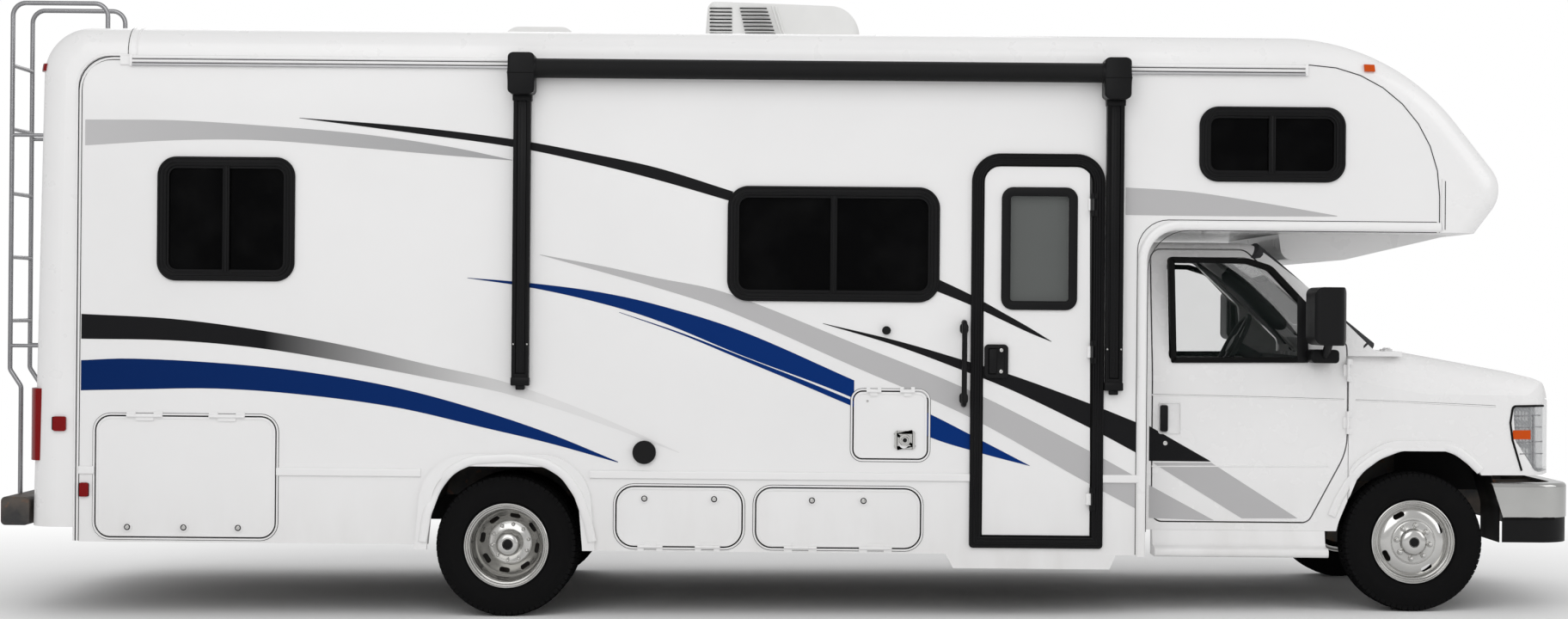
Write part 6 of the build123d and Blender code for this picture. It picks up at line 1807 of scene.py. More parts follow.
@dataclass
class EntryDoor:
    """Frame profile, seal, window ring, latch and grab handle feet of the entry door."""

    low: Flat = (0.935, 0.39)
    high: Flat = (1.633, 2.454)
    radius: float = 0.15
    foot: float = 0.02
    pane_low: Flat = (1.093, 1.637)
    pane_high: Flat = (1.489, 2.278)
    pane_radius: float = 0.06
    grab_x: float = 0.9
    grab_feet: tuple[Flat, ...] = ((1.141, 1.201), (1.508, 1.565))
    latch_low: Flat = (1.01, 1.281)
    latch_high: Flat = (1.129, 1.452)
    lock_pixels: tuple[Flat, ...] = ((1162.6, 407.3), (1162.4, 432.0))
    # Rolls of the frame as (distance outward from its edge, radius)
    rolls: tuple[Flat, ...] = ((-0.006, 0.0062), (-0.0225, 0.0045), (-0.036, 0.0035), (-0.052, 0.0062))
    # Corners of the latch's well and of its paddle from the case's lower corner
    well: tuple[Flat, Flat] = ((0.016, 0.016), (0.103, 0.155))
    paddle: tuple[Flat, Flat] = ((0.02, 0.021), (0.062, 0.15))
    grab_half: float = 0.0225

    def build(self) -> None:
        """Add the frame's rolls, the leaf's edge, the pane's ring and the latch."""
        rolls = []
        for grow, radius in self.rolls:
            outline = frame_outline(self.low, self.high, self.radius, max(self.foot, 0.006 - grow), grow)
            rolls.append(Shape.bead("roll", outline, -WALL_Y - 0.0112, radius))
        rolls[0].join(rolls[1:]).settle("motorhome", FRAME_BLACK, smooth=45)
        outline = frame_outline(self.low, self.high, self.radius, 0.07, -0.0615)
        seal = Shape.plate("entry_seal", outline, -WALL_Y - 0.004, -WALL_Y + 0.03, rim=0.0045)
        seal.settle("motorhome", SEAL_AND_SHADE_BLACK)
        self.add_pane_ring()
        self.add_latch()
        self.add_grab()

    def add_grab(self) -> None:
        """Add the feet of the grab handle beside the door."""
        for number, (low_z, high_z) in enumerate(self.grab_feet):
            low = (self.grab_x - self.grab_half, -WALL_Y - 0.03, low_z)
            high = (self.grab_x + self.grab_half, -WALL_Y - 0.0003, high_z)
            foot = Shape.box(f"grab_foot_{number}", low, high)
            foot.round_edges(lambda a, b: abs(a.y - b.y) > 0.01, 0.02, 5)
            foot.soften(0.008, 3)
            foot.settle("motorhome", PART_BLACK)

    def add_pane_ring(self) -> None:
        """Add the moulded ring round the door's pane."""
        outline = frame_outline(self.pane_low, self.pane_high, self.pane_radius, grow=0.001)
        ring = Shape.plate("entry_pane_ring", outline, -WALL_Y + 0.001, -WALL_Y - 0.0125, rim=0.0475)
        ring.soften(0.004, 3, 50)
        ring.settle("entry_door", FRAME_BLACK, smooth=50)
        outline = frame_outline(self.pane_low, self.pane_high, self.pane_radius, grow=-0.0435)
        lip = Shape.bead("entry_pane_lip", outline, -WALL_Y - 0.0115, 0.003)
        lip.settle("entry_door", FRAME_BLACK, smooth=50)

    def add_latch(self) -> None:
        """Add the paddle latch with its two locks."""
        outline = frame_outline(self.latch_low, self.latch_high, 0.02, grow=0.003)
        case = Shape.plate("entry_latch", outline, -WALL_Y - 0.0005, -WALL_Y - 0.019)
        case.soften(0.004, 3)
        x, z = self.latch_low
        (low_x, low_z), (high_x, high_z) = self.well
        low = (x + low_x, -WALL_Y - 0.03, z + low_z)
        well = Shape.box("well", low, (x + high_x, -WALL_Y - 0.0146, z + high_z))
        case.cut(well.soften(0.006, 2))
        case.settle("entry_door", PART_BLACK)
        (low_x, low_z), (high_x, high_z) = self.paddle
        low = (x + low_x, -WALL_Y - 0.027, z + low_z)
        paddle = Shape.box("latch_paddle", low, (x + high_x, -WALL_Y - 0.0145, z + high_z))
        paddle.soften(0.006, 3)
        paddle.settle("entry_door", PART_BLACK)
        for number, pixel in enumerate(self.lock_pixels):
            lock_x, lock_z = on_wall(pixel)
            start = (lock_x, -WALL_Y - 0.014, lock_z)
            end = (lock_x, -WALL_Y - 0.0215, lock_z)
            lock = Shape.rod(f"latch_lock_{number}", start, end, 0.0105, 28, 0.0095)
            lock.soften(0.001, 2)
            slot_low = (lock_x - 0.0012, -WALL_Y - 0.026, lock_z - 0.005)
            lock.cut(Shape.box("slot", slot_low, (lock_x + 0.0012, -WALL_Y - 0.019, lock_z + 0.005)))
            lock.settle("entry_door", STAINLESS)


@dataclass(frozen=True)
class Compartment:
    """One outside compartment with its leaf's outline and its latches."""

    body: str
    low: Flat
    high: Flat
    radius: float
    latches: tuple[Flat, ...]

    def outline(self, grow: float) -> list[Flat]:
        """The leaf's outline, grown."""
        return frame_outline(self.low, self.high, self.radius, grow=grow)


@dataclass
class Lockers:
    """Raised frames, edge trims and latches of the compartments."""

    compartments: tuple[Compartment, ...] = (
        Compartment(
            "trunk_door",
            (-3.636, 0.412),
            (-2.7, 1.038),
            0.075,
            ((-3.47, 0.46), (-3.175, 0.46), (-2.89, 0.46)),
        ),
        Compartment(
            "rear_locker_door", (-0.909, 0.385), (-0.257, 0.691), 0.09, ((-0.765, 0.632), (-0.4, 0.632))
        ),
        Compartment(
            "front_locker_door", (-0.178, 0.386), (0.677, 0.69), 0.08, ((0.112, 0.63), (0.382, 0.63))
        ),
        Compartment("utility_door", (0.328, 0.854), (0.71, 1.2), 0.045, ()),
    )
    gap: float = 0.008
    frame: float = 0.009
    edge_wide: float = 0.0125
    seal_wide: float = 0.0055
    latch_radius: float = 0.0125
    # Turned profiles as (distance inward, radius)
    ring_profile: tuple[Flat, ...] = ((-0.001, 0.0125), (-0.001, 0.016), (0.002, 0.0155), (0.002, 0.0125))
    knob_profile: tuple[Flat, ...] = (
        (0.004, 0.004), (0.004, 0.03), (-0.003, 0.031), (-0.007, 0.028), (-0.007, 0.021), (-0.013, 0.02),
        (-0.016, 0.017), (-0.016, 0.0115), (-0.009, 0.0105), (-0.009, 0.004),
    )
    plate_pixels: tuple[Flat, Flat] = ((1039.3, 522.3), (1063.3, 501.3))
    screw_pixel: Flat = (1007.6, 466.6)

    def build(self) -> None:
        """Detail every compartment."""
        for item in self.compartments:
            outline = item.outline(self.gap + self.frame)
            name = f"{item.body}_frame"
            ring = Shape.plate(name, outline, -WALL_Y - 0.0003, -WALL_Y - 0.006, rim=self.frame)
            ring.soften(0.0022, 2, 50)
            ring.settle("motorhome", WALL_WHITE, smooth=50)
            # A thin dark bead round the raised frame's outer edge: painted shade of its step.
            outline = item.outline(self.gap + self.frame + 0.0012)
            shade = Shape.bead(f"{item.body}_frame_edge", outline, -WALL_Y, 0.0016)
            shade.settle("motorhome", JOINT_AND_SHADE_LINE, smooth=60)
            outline = item.outline(0.0005)
            name = f"{item.body}_edge"
            edge = Shape.plate(name, outline, -WALL_Y + 0.004, -WALL_Y - 0.0028, rim=self.edge_wide)
            edge.soften(0.0012, 2, 50)
            edge.settle(item.body, WALL_WHITE, smooth=50)
            outline = item.outline(self.gap + 0.0006)
            name = f"{item.body}_seal"
            seal = Shape.plate(name, outline, -WALL_Y + 0.008, -WALL_Y + 0.026, rim=self.seal_wide)
            seal.settle("motorhome", SEAL_AND_SHADE_BLACK)
            for number, (x, z) in enumerate(item.latches):
                self.add_latch(f"{item.body}_latch_{number}", item.body, x, z)
        self.add_utility_lock()

    def add_latch(self, name: str, body: str, x: float, z: float) -> None:
        """Add a round cam latch with its keyhole."""
        start = (x, -WALL_Y - 0.005, z)
        rose = Shape.rod(name, start, (x, -WALL_Y - 0.0105, z), self.latch_radius, 32, 0.011)
        rose.soften(0.0015, 2)
        low = (x - 0.0014, -WALL_Y - 0.02, z - 0.006)
        rose.cut(Shape.box("slot", low, (x + 0.0014, -WALL_Y - 0.008, z + 0.006)))
        rose.settle(body, STAINLESS)
        ring = Shape.spun(f"{name}_ring", self.ring_profile, (x, -WALL_Y - 0.0075, z), Axis.Y, 40)
        ring.settle(body, PART_BLACK)

    def add_utility_lock(self) -> None:
        """Add the square lock plate with its knob, and the screw above the hatch."""
        low = on_wall(self.plate_pixels[0])
        high = on_wall(self.plate_pixels[1])
        outline = frame_outline(low, high, 0.012)
        plate = Shape.plate("utility_lock_plate", outline, -WALL_Y - 0.0005, -WALL_Y - 0.0085)
        plate.inset(lambda c, n: n.y < -0.9, 0.012)
        x, z = (low[0] + high[0]) / 2, (low[1] + high[1]) / 2
        plate.inset(lambda c, n: n.y < -0.9 and abs(c.x - x) < 0.01, 0.002, (0, 0.003, 0))
        plate.settle("utility_door", STAINLESS)
        knob = Shape.spun("utility_lock_knob", self.knob_profile, (x, -WALL_Y - 0.0085, z), Axis.Y, 48)
        knob.settle("utility_door", STAINLESS)
        start = (x, -WALL_Y - 0.012, z)
        core = Shape.rod("utility_lock_core", start, (x, -WALL_Y - 0.0185, z), 0.0104, 24)
        core.settle("utility_door", PART_BLACK)
        x, z = on_wall(self.screw_pixel)
        start = (x, -WALL_Y + 0.001, z)
        screw = Shape.rod("utility_screw", start, (x, -WALL_Y - 0.0035, z), 0.0075, 20, 0.005)
        screw.settle("utility_door", STAINLESS)


@dataclass
class Awning:
    """Roll, ends, heads and channels of the awning."""

    roll_y: float = -1.322
    roll_z: float = 2.873
    roll_ends: Flat = (-1.358, 1.621)
    arms: Flat = (-1.418, 1.681)
    arm_low: float = 1.22
    head_low: float = 2.737
    head_high: float = 2.95
    head_middle: float = 2.845
    head_wide: float = 0.139
    head_y: float = -WALL_Y - 0.126
    channel_y: float = -WALL_Y - 0.046
    # Ribs on a channel's face as (distance from its middle, width)
    ribs: tuple[Flat, ...] = ((-0.0405, 0.006), (-0.028, 0.004), (0.028, 0.004), (0.0405, 0.006))
    foot_top: float = 1.262
    collar: Flat = (2.705, 2.74)
    bolt_z: float = 1.435
    bolt_out: float = 0.036
    cap_radius: float = 0.0535
    axle_radius: float = 0.016
    hem: Flat = (2.8235, 2.8275)

    def build(self) -> None:
        """Add the roll's dress and both arms'."""
        self.add_roll()
        for number, x in enumerate(self.arms):
            self.add_arm(number, x)

    def add_roll(self) -> None:
        """Add the slotted tube's ends and the fabric's edge along the roll."""
        for number, (x, sign) in enumerate(zip(self.roll_ends, (1, -1))):
            start = (x - sign * 0.001, self.roll_y, self.roll_z)
            end = (x + sign * 0.018, self.roll_y, self.roll_z)
            cap = Shape.rod(f"roll_cap_{number}", start, end, self.cap_radius, 48)
            cap.soften(0.003, 2)
            cap.settle("motorhome", PART_BLACK, smooth=40)
            start = (x - sign * 0.03, self.roll_y, self.roll_z)
            end = (x, self.roll_y, self.roll_z)
            axle = Shape.rod(f"roll_axle_{number}", start, end, self.axle_radius, 24)
            axle.settle("motorhome", PART_BLACK)
        low, high = self.roll_ends
        edge_y = self.roll_y - 0.012
        start = (low + 0.02, edge_y - 0.006, self.hem[0])
        strip = Shape.box("roll_hem", start, (high - 0.02, edge_y + 0.004, self.hem[1]))
        strip.soften(0.0015, 2)
        strip.settle("motorhome", FRAME_BLACK)

    def add_arm(self, number: int, x: float) -> None:
        """Add the ribs of a channel, its foot with bolts and its head.

        Args:
            number: Which arm.
            x: Its middle.
        """
        parts = []
        y_face = self.channel_y
        for shift, wide in self.ribs:
            low = (x + shift - wide / 2, y_face - 0.0025, self.arm_low + 0.01)
            high = (x + shift + wide / 2, y_face + 0.004, self.head_low + 0.01)
            parts.append(Shape.box("rib", low, high))
        low = (x - 0.024, y_face + 0.002, self.arm_low + 0.065)
        inner = Shape.box("inner_arm", low, (x + 0.024, y_face + 0.014, 2.72))
        parts.append(inner.soften(0.003, 2))
        for shift in (-0.009, 0.009):
            low = (x + shift - 0.0015, y_face, self.arm_low + 0.07)
            parts.append(Shape.box("groove", low, (x + shift + 0.0015, y_face + 0.004, 2.715)))
        low = (x - 0.049, y_face - 0.006, self.arm_low - 0.002)
        foot = Shape.box("foot", low, (x + 0.049, -WALL_Y - 0.001, self.foot_top))
        parts.append(foot.soften(0.006, 2))
        low = (x - 0.024, y_face + 0.004, self.arm_low - 0.024)
        toe = Shape.box("toe", low, (x + 0.024, -WALL_Y - 0.006, 1.222))
        parts.append(toe.soften(0.006, 2))
        low = (x - 0.05, y_face - 0.006, self.collar[0])
        collar = Shape.box("collar", low, (x + 0.05, -WALL_Y - 0.001, self.collar[1]))
        parts.append(collar.soften(0.003, 2))
        parts[0].join(parts[1:]).settle("motorhome", FRAME_BLACK, smooth=40)
        parts[0].obj.name = f"awning_channel_{number}"
        for shift in (-self.bolt_out, self.bolt_out):
            start = (x + shift, y_face - 0.001, self.bolt_z)
            end = (x + shift, y_face - 0.0055, self.bolt_z)
            bolt = Shape.rod(f"arm_bolt_{number}", start, end, 0.006, 12, 0.0045)
            bolt.settle("motorhome", STAINLESS)
        self.add_head(number, x)

    def add_head(self, number: int, x: float) -> None:
        """Add the two-part head that holds the roll's end."""
        half = self.head_wide / 2
        y_out = self.head_y
        corners = (
            (x - half + 0.004, self.head_low - 0.004, 0.03),
            (x - half - 0.003, self.head_middle, 0.0),
            (x - half + 0.004, self.head_high + 0.002, 0.028),
            (x + half - 0.004, self.head_high + 0.002, 0.028),
            (x + half + 0.003, self.head_middle, 0.0),
            (x + half - 0.004, self.head_low - 0.004, 0.03),
        )
        cover = Shape.plate(f"awning_head_{number}", closed_outline(corners), -WALL_Y - 0.02, y_out)
        cover.soften(0.009, 3, 40)
        cover.settle("motorhome", FRAME_BLACK, smooth=40)
        low = (x - half - 0.004, y_out + 0.012, 2.8425)
        step = Shape.box(f"head_step_{number}", low, (x + half + 0.004, y_out - 0.0012, 2.8465))
        step.soften(0.001, 1)
        step.settle("motorhome", SEAL_AND_SHADE_BLACK)


@dataclass
class RoofUnits:
    """Louvres, ribs and skirts of the roof units."""

    # Flanges on the roof: name, two corners, foot, top, corner radius
    skirts: tuple = (
        ("dome_skirt", (-1.661, -0.222), (-1.21, 0.222), 3.0865, 3.112, 0.05),
        ("cooler_skirt", (-0.508, -0.355), (0.372, 0.355), 3.0865, 3.104, 0.09),
    )
    lid: tuple[Point, Point] = ((1.915, -0.186, 3.098), (2.172, 0.186, 3.127))
    cooler_side: float = 0.35
    # Louvres in the photograph's pixels
    rows: int = 9
    top_row: float = 9.9
    pitch: float = 4.22
    slot_tall: float = 1.95
    left_column: Flat = (825.5, 851.5)
    right_column: tuple[Flat, Flat] = ((860.5, 892.0), (868.0, 903.5))
    ribs: tuple[tuple[Flat, Flat], ...] = (((898.0, 7.0), (910.5, 46.5)), ((902.0, 7.0), (914.0, 46.5)))

    def build(self) -> None:
        """Add the cooler's louvres and ribs, and the vents' skirts."""
        for side in Side:
            self.add_louvres(side)
        for skirt in self.skirts:
            self.add_skirt(*skirt)
        lid = Shape.box("low_vent_lid", *self.lid)
        lid.round_edges(lambda a, b: abs(a.z - b.z) > 0.02, 0.03, 4)
        lid.inset(lambda c, n: n.z > 0.9, 0.02, (0, 0, 0.008))
        lid.soften(0.003, 2)
        lid.settle("motorhome", VENT_WHITE, smooth=40)

    def add_louvres(self, side: Side) -> None:
        """Add both columns of slots as black plates of painted shade, the lips under them and the slanted
        ribs.
        """
        y = side.value * self.cooler_side
        slots = []
        lips = []
        for row in range(self.rows):
            share = row / (self.rows - 1)
            py = self.top_row + row * self.pitch
            (top_a, top_b), (foot_a, foot_b) = self.right_column
            slanted = (top_a + (foot_a - top_a) * share, top_b + (foot_b - top_b) * share)
            for start, end in (self.left_column, slanted):
                x_low, z_high = on_plane((start, py - self.slot_tall / 2), -self.cooler_side)
                x_high, z_low = on_plane((end, py + self.slot_tall / 2), -self.cooler_side)
                near = y - side.value * 0.002
                far = y + side.value * 0.0012
                # Each slot is a black plate over the closed cooler side: painted shade of a louvre
                # opening.
                slots.append(Shape.box("slot", (x_low, near, z_low), (x_high, far, z_high)))
                lip_low = (x_low - 0.002, near, z_low - 0.0035)
                lip_high = (x_high + 0.002, far + side.value * 0.002, z_low)
                lips.append(Shape.box("lip", lip_low, lip_high))
        slots[0].join(slots[1:]).settle("motorhome", SEAL_AND_SHADE_BLACK)
        for start, end in self.ribs:
            x_top, z_top = on_plane(start, -self.cooler_side)
            x_foot, z_foot = on_plane(end, -self.cooler_side)
            route = [(x_top, y, z_top), (x_foot, y, z_foot)]
            lips.append(Shape.tube("rib", route, 0.0045, sides=3))
        lips[0].join(lips[1:]).settle("motorhome", VENT_WHITE, smooth=40)

    def add_skirt(
        self, name: str, low: Flat, high: Flat, z_low: float, z_high: float, radius: float
    ) -> None:
        """Add the flange that holds a unit to the roof."""
        skirt = Shape.box(name, (low[0], low[1], z_low - 0.01), (high[0], high[1], z_high))
        skirt.round_edges(lambda a, b: abs(a.z - b.z) > 0.01, radius, 6)
        skirt.soften(0.004, 2)
        skirt.settle("motorhome", VENT_WHITE, smooth=40)


class Skin:
    """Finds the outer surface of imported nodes, so that trims lie on it."""

    def __init__(self, *nodes: str) -> None:
        """Take the nodes to lie on.

        Args:
            nodes: Their names.
        """
        self.objects = [bpy.data.objects[name] for name in nodes]

    def reach(self, start: Point, way: Point) -> Optional[Vector]:
        """The nearest hit from a point along a way.

        Args:
            start: Where to start.
            way: Which way to look.

        Returns:
            The hit, or None.
        """
        best = None
        for obj in self.objects:
            found, place, _, _ = obj.ray_cast(Vector(start), Vector(way))
            if found and (best is None or (place - Vector(start)).length < (best - Vector(start)).length):
                best = place
        return best

    def trace(self, pixel: Flat, lift: float = 0.0, fallback: float = -1.0) -> Vector:
        """The point of the right side's surface that a pixel of the photograph shows.

        Args:
            pixel: The pixel.
            lift: How far outside the surface the point lies.
            fallback: The y to use where the surface has an opening.

        Returns:
            The point.
        """
        y = fallback
        for _ in range(3):
            x, z = on_plane(pixel, y)
            place = self.reach((x, -2.2, z), (0, 1, 0))
            y = place.y if place else fallback
        x, z = on_plane(pixel, y)
        return Vector((x, y - lift, z))


def along(pixels: Sequence[Flat], count: int = 6) -> list[Flat]:
    """Split each stretch between pixels, so that a line follows a curved surface.

    Args:
        pixels: The line's corners.
        count: Parts of each stretch.

    Returns:
        The corners with the points between them.
    """
    points = [pixels[0]]
    for start, end in zip(pixels, pixels[1:]):
        for step in range(1, count + 1):
            share = step / count
            points.append(
                (start[0] + (end[0] - start[0]) * share, start[1] + (end[1] - start[1]) * share)
            )
    return points


def lean(shape: Shape, foot: Vector, head: Vector) -> Shape:
    """Tilt an upright trim so that it lies along the line between two points of a leaning wall.

    Args:
        shape: The trim, modelled about y 0.
        foot: A low point of the wall.
        head: A high point of it.

    Returns:
        The same trim.
    """
    slope = (head.y - foot.y) / (head.z - foot.z)
    for vertex in shape.obj.data.vertices:
        vertex.co.y += foot.y + slope * (vertex.co.z - foot.z)
    return shape


def both_sides(shape: Shape, bodies: tuple[str, str], finish: Finish, smooth: float = 45) -> None:
    """Settle a piece of the right side and its mirror image.

    Args:
        shape: The right side's piece.
        bodies: Its body and the body of the mirror image.
        finish: The finish of both.
        smooth: Edges below this angle are shaded smooth.
    """
    left = shape.copy(f"{shape.obj.name}_left", (0, 0, 0), True)
    shape.settle(bodies[0], finish, smooth=smooth)
    left.settle(bodies[1], finish, smooth=smooth)


@dataclass
class CabTrim:
    """Window rubbers, creases, handles and arch lips of the cab, placed from the photograph."""

    window: tuple[tuple[float, float, float], ...] = (
        (1362.5, 422.0, 0.012), (1359.8, 298.5, 0.02), (1452.0, 300.5, 0.05), (1479.0, 309.0, 0.1),
        (1521.5, 354.0, 0.03), (1521.5, 422.0, 0.01),
    )
    sail: tuple[tuple[float, float, float], ...] = (
        (1509.0, 422.0, 0.004), (1509.0, 342.0, 0.004), (1521.8, 354.5, 0.01), (1521.8, 422.0, 0.004),
    )
    foot_pixel: Flat = (1440.0, 432.0)
    head_pixel: Flat = (1400.0, 293.0)
    door_crease: tuple[Flat, ...] = ((1339.5, 458.4), (1400.0, 459.8), (1480.0, 461.8), (1564.0, 464.3))
    fender_crease: tuple[Flat, ...] = ((1569.0, 464.6), (1620.0, 466.5), (1680.0, 469.2), (1740.0, 472.0))
    soft_crease: tuple[Flat, ...] = ((1339.5, 541.5), (1400.0, 541.5), (1480.0, 541.5), (1545.0, 541.5))
    arch: tuple[Flat, ...] = (
        (1549.0, 600.0), (1556.5, 582.0), (1567.0, 564.0), (1583.0, 544.5), (1603.3, 529.5),
        (1627.5, 520.4), (1652.7, 516.9), (1675.3, 517.6), (1695.5, 524.5), (1710.6, 536.0),
        (1722.0, 547.5),
    )
    rear_arch: tuple[Flat, ...] = (
        (491.4, 630.0), (496.3, 598.5), (508.2, 567.0), (525.0, 546.0), (549.5, 534.8), (595.0, 532.7),
        (633.5, 537.6), (656.6, 551.6), (672.7, 575.4), (683.2, 605.5), (688.8, 630.0),
    )
    slot: tuple[Flat, Flat] = ((1352.0, 632.3), (1520.0, 632.3))
    handle: tuple[Flat, Flat] = ((1349.5, 471.0), (1358.0, 502.0))
    scoop: tuple[Flat, Flat] = ((1347.5, 467.5), (1373.5, 505.0))
    lock_pixel: Flat = (1355.5, 515.5)
    mirror_foot: tuple[Flat, Flat] = ((1524.0, 406.5), (1556.0, 422.5))
    lip_radius: float = 0.024
    lip_flatness: float = 0.42
    pillar_radius: float = 0.05
    # How far the dark plates of painted shade inside the front and the rear wheel arches stand from the
    # middle
    arch_plate_y: float = 0.43
    rear_plate_y: float = 0.6
    pillar: tuple[Flat, ...] = ((1398.0, 306.0), (1440.0, 338.0), (1478.0, 374.0), (1513.0, 409.0))

    def build(self) -> None:
        """Add the trims of the right side and their mirror images."""
        door = Skin("cab_door_right")
        fender = Skin("front_fenders", "hood", "cab_shell")
        self.add_window(door)
        self.add_creases(door, fender)
        self.add_handle(door)
        self.add_arch(fender)
        self.add_slot()
        self.add_mirror_foot(door)
        self.add_inner_trim()

    def add_window(self, door: Skin) -> None:
        """Add the door's window rubber and the black corner that carries the mirror."""
        foot = door.trace(self.foot_pixel)
        head = door.trace(self.head_pixel)
        middle_y = (foot.y + head.y) / 2
        corners = [(*on_plane((px, py), middle_y), radius) for px, py, radius in self.window]
        ring = Shape.plate("door_window_rubber", closed_outline(corners), 0.07, -0.0075, rim=0.029)
        ring.soften(0.0045, 3, 50)
        both_sides(lean(ring, foot, head), CAB_DOORS, SEAL_AND_SHADE_BLACK, 60)
        corners = [(*on_plane((px, py), middle_y), radius) for px, py, radius in self.sail]
        sail = Shape.plate("door_mirror_sail", closed_outline(corners), 0.004, -0.009)
        sail.soften(0.003, 2, 50)
        both_sides(lean(sail, foot, head), CAB_DOORS, PART_BLACK)

    def add_creases(self, door: Skin, fender: Skin) -> None:
        """Add the pressed lines along the doors and fenders: a white swell for each, and along the upper
        two a thin dark line of painted shade at the step in the sheet.
        """
        for name, pixels, skin, bodies in (
            ("door_crease", self.door_crease, door, CAB_DOORS),
            ("fender_crease", self.fender_crease, fender, HOUSE_SIDES),
            ("door_low_crease", self.soft_crease, door, CAB_DOORS),
        ):
            route = [skin.trace(pixel, -0.0008) for pixel in along(pixels)]
            swell = Shape.tube(name, [point + Vector((0, 0, -0.004)) for point in route], 0.0042, sides=3)
            both_sides(swell, bodies, CAB_WHITE, 80)
            if name != "door_low_crease":
                # A thin dark line along the crease: painted shade of the step in the sheet metal.
                line = Shape.tube(f"{name}_line", route, 0.0016, sides=2)
                both_sides(line, bodies, JOINT_AND_SHADE_LINE, 80)

    def add_handle(self, door: Skin) -> None:
        """Add the handle's scoop, its bar and the lock."""
        spot = door.trace(self.lock_pixel)
        low_x, high_z = on_plane(self.scoop[0], spot.y)
        high_x, low_z = on_plane(self.scoop[1], spot.y)
        face = max(door.trace(self.scoop[0]).y, door.trace(self.scoop[1]).y)
        outline = frame_outline((low_x, low_z), (high_x, high_z), 0.014)
        rim = Shape.plate("door_handle_scoop", outline, face, face - 0.005)
        rim.soften(0.002, 2, 50)
        rim.inset(lambda c, n: n.y < -0.9, 0.005)
        rim.inset(lambda c, n: n.y < -0.9 and low_x + 0.006 < c.x < high_x - 0.006, 0.006, (0, 0.004, 0))
        both_sides(rim, CAB_DOORS, CAB_WHITE)
        low_x, high_z = on_plane(self.handle[0], spot.y)
        high_x, low_z = on_plane(self.handle[1], spot.y)
        bar = Shape.box("door_handle_bar", (low_x, face - 0.024, low_z), (high_x, face - 0.001, high_z))
        bar.round_edges(lambda a, b: abs(a.y - b.y) > 0.01, 0.011, 4)
        bar.soften(0.004, 2)
        both_sides(bar, CAB_DOORS, PART_BLACK)
        start = (spot.x, spot.y + 0.001, spot.z)
        lock = Shape.rod("door_lock", start, (spot.x, spot.y - 0.004, spot.z), 0.0135, 28, 0.0115)
        lock.soften(0.001, 2)
        both_sides(lock, CAB_DOORS, STAINLESS)

    def add_arch(self, fender: Skin) -> None:
        """Add the raised lip over the front wheel."""
        self.add_lip("arch_lip", [fender.trace(pixel, 0.0, -1.0) for pixel in self.arch], CAB_WHITE)
        wall = Skin("wall_right", "body_mouldings")
        route = [wall.trace(pixel, 0.0, -WALL_Y) for pixel in self.rear_arch]
        self.add_lip("rear_arch_lip", route, WALL_WHITE)

    def add_lip(self, name: str, route: Sequence[Vector], finish: Finish) -> None:
        """Add one flattened lip along a route, on both sides.

        Args:
            name: The piece's name.
            route: The lip's middle line.
            finish: Its finish.
        """
        lip = Shape.tube(name, bent_route(route, 0.2, 4), self.lip_radius, sides=5)
        for vertex in lip.obj.data.vertices:
            spot = vertex.co
            nearest = min(route, key=lambda point: (point.x - spot.x) ** 2 + (point.z - spot.z) ** 2)
            vertex.co.y = nearest.y + (vertex.co.y - nearest.y) * self.lip_flatness
        both_sides(lip, HOUSE_SIDES, finish, 80)

    def add_slot(self) -> None:
        """Add the dark slot along the running boards."""
        boards = Skin("running_boards", "cab_shell", "front_fenders", "body_mouldings", "wall_right")
        route = [boards.trace(pixel, 0.0) for pixel in along(self.slot, 10)]
        both_sides(Shape.tube("board_slot", route, 0.0065, sides=3), HOUSE_SIDES, SEAL_AND_SHADE_BLACK)

    def add_mirror_foot(self, door: Skin) -> None:
        """Add the moulded foot between the door and the mirror's arm."""
        (x0, y0), (x1, y1) = self.mirror_foot
        near = door.trace((x0, y1 + 4.0)).y
        low_x, high_z = on_plane((x0, y0), -1.09)
        high_x, low_z = on_plane((x1, y1), -1.09)
        foot = Shape.box("mirror_foot", (low_x, near - 0.155, low_z), (high_x, near - 0.002, high_z))
        foot.round_edges(lambda a, b: abs(a.y - b.y) > 0.05, 0.02, 4)
        foot.soften(0.008, 3)
        both_sides(foot, CAB_DOORS, PART_BLACK)

    def add_inner_trim(self) -> None:
        """Add the headliner, the pillar covers, and dark plates of painted shade inside the wheel arches.
        """
        shell = Skin("cab_shell", "nose_cap")

        def overhead(u: float, v: float) -> Point:
            """A point just under the cab's roof."""
            x, y = 1.9 + 0.55 * u, -0.74 + 1.48 * v
            hit = shell.reach((x, y, 1.55), (0, 0, 1))
            return x, y, (min(hit.z, 2.1) if hit else 2.0) - 0.012

        liner = Shape.grid("headliner", 10, 14, overhead)
        liner.thicken(0.006, 0.0)
        liner.settle("motorhome", DASH_GREY, level=False, smooth=60)
        for side in Side:
            points = []
            for pixel in self.pillar:
                x, z = on_plane(pixel, 0.83)
                hit = shell.reach((x, 0.0, z), (0, side.value, 0))
                wide = min(abs(hit.y), 0.95) if hit else 0.85
                points.append((x, side.value * (wide - 0.015), z))
            cover = Shape.tube(f"pillar_cover_{side.word}", points, self.pillar_radius, 0.3, sides=5)
            cover.settle("motorhome", DASH_GREY, level=False, smooth=80)
            # Dark plates in the front and rear wheel arches: painted shade.
            y = side.value * self.arch_plate_y
            plate = Shape.box(f"arch_plate_{side.word}", (3.36, y - 0.004, 0.66), (3.86, y + 0.004, 1.02))
            plate.settle("motorhome", SEAL_AND_SHADE_BLACK)
            y = side.value * self.rear_plate_y
            low = (REAR_AXLE_X - 0.64, y - 0.004, 0.46)
            plate = Shape.box(f"rear_arch_plate_{side.word}", low, (REAR_AXLE_X - 0.33, y + 0.004, 0.93))
            plate.settle("motorhome", SEAL_AND_SHADE_BLACK)


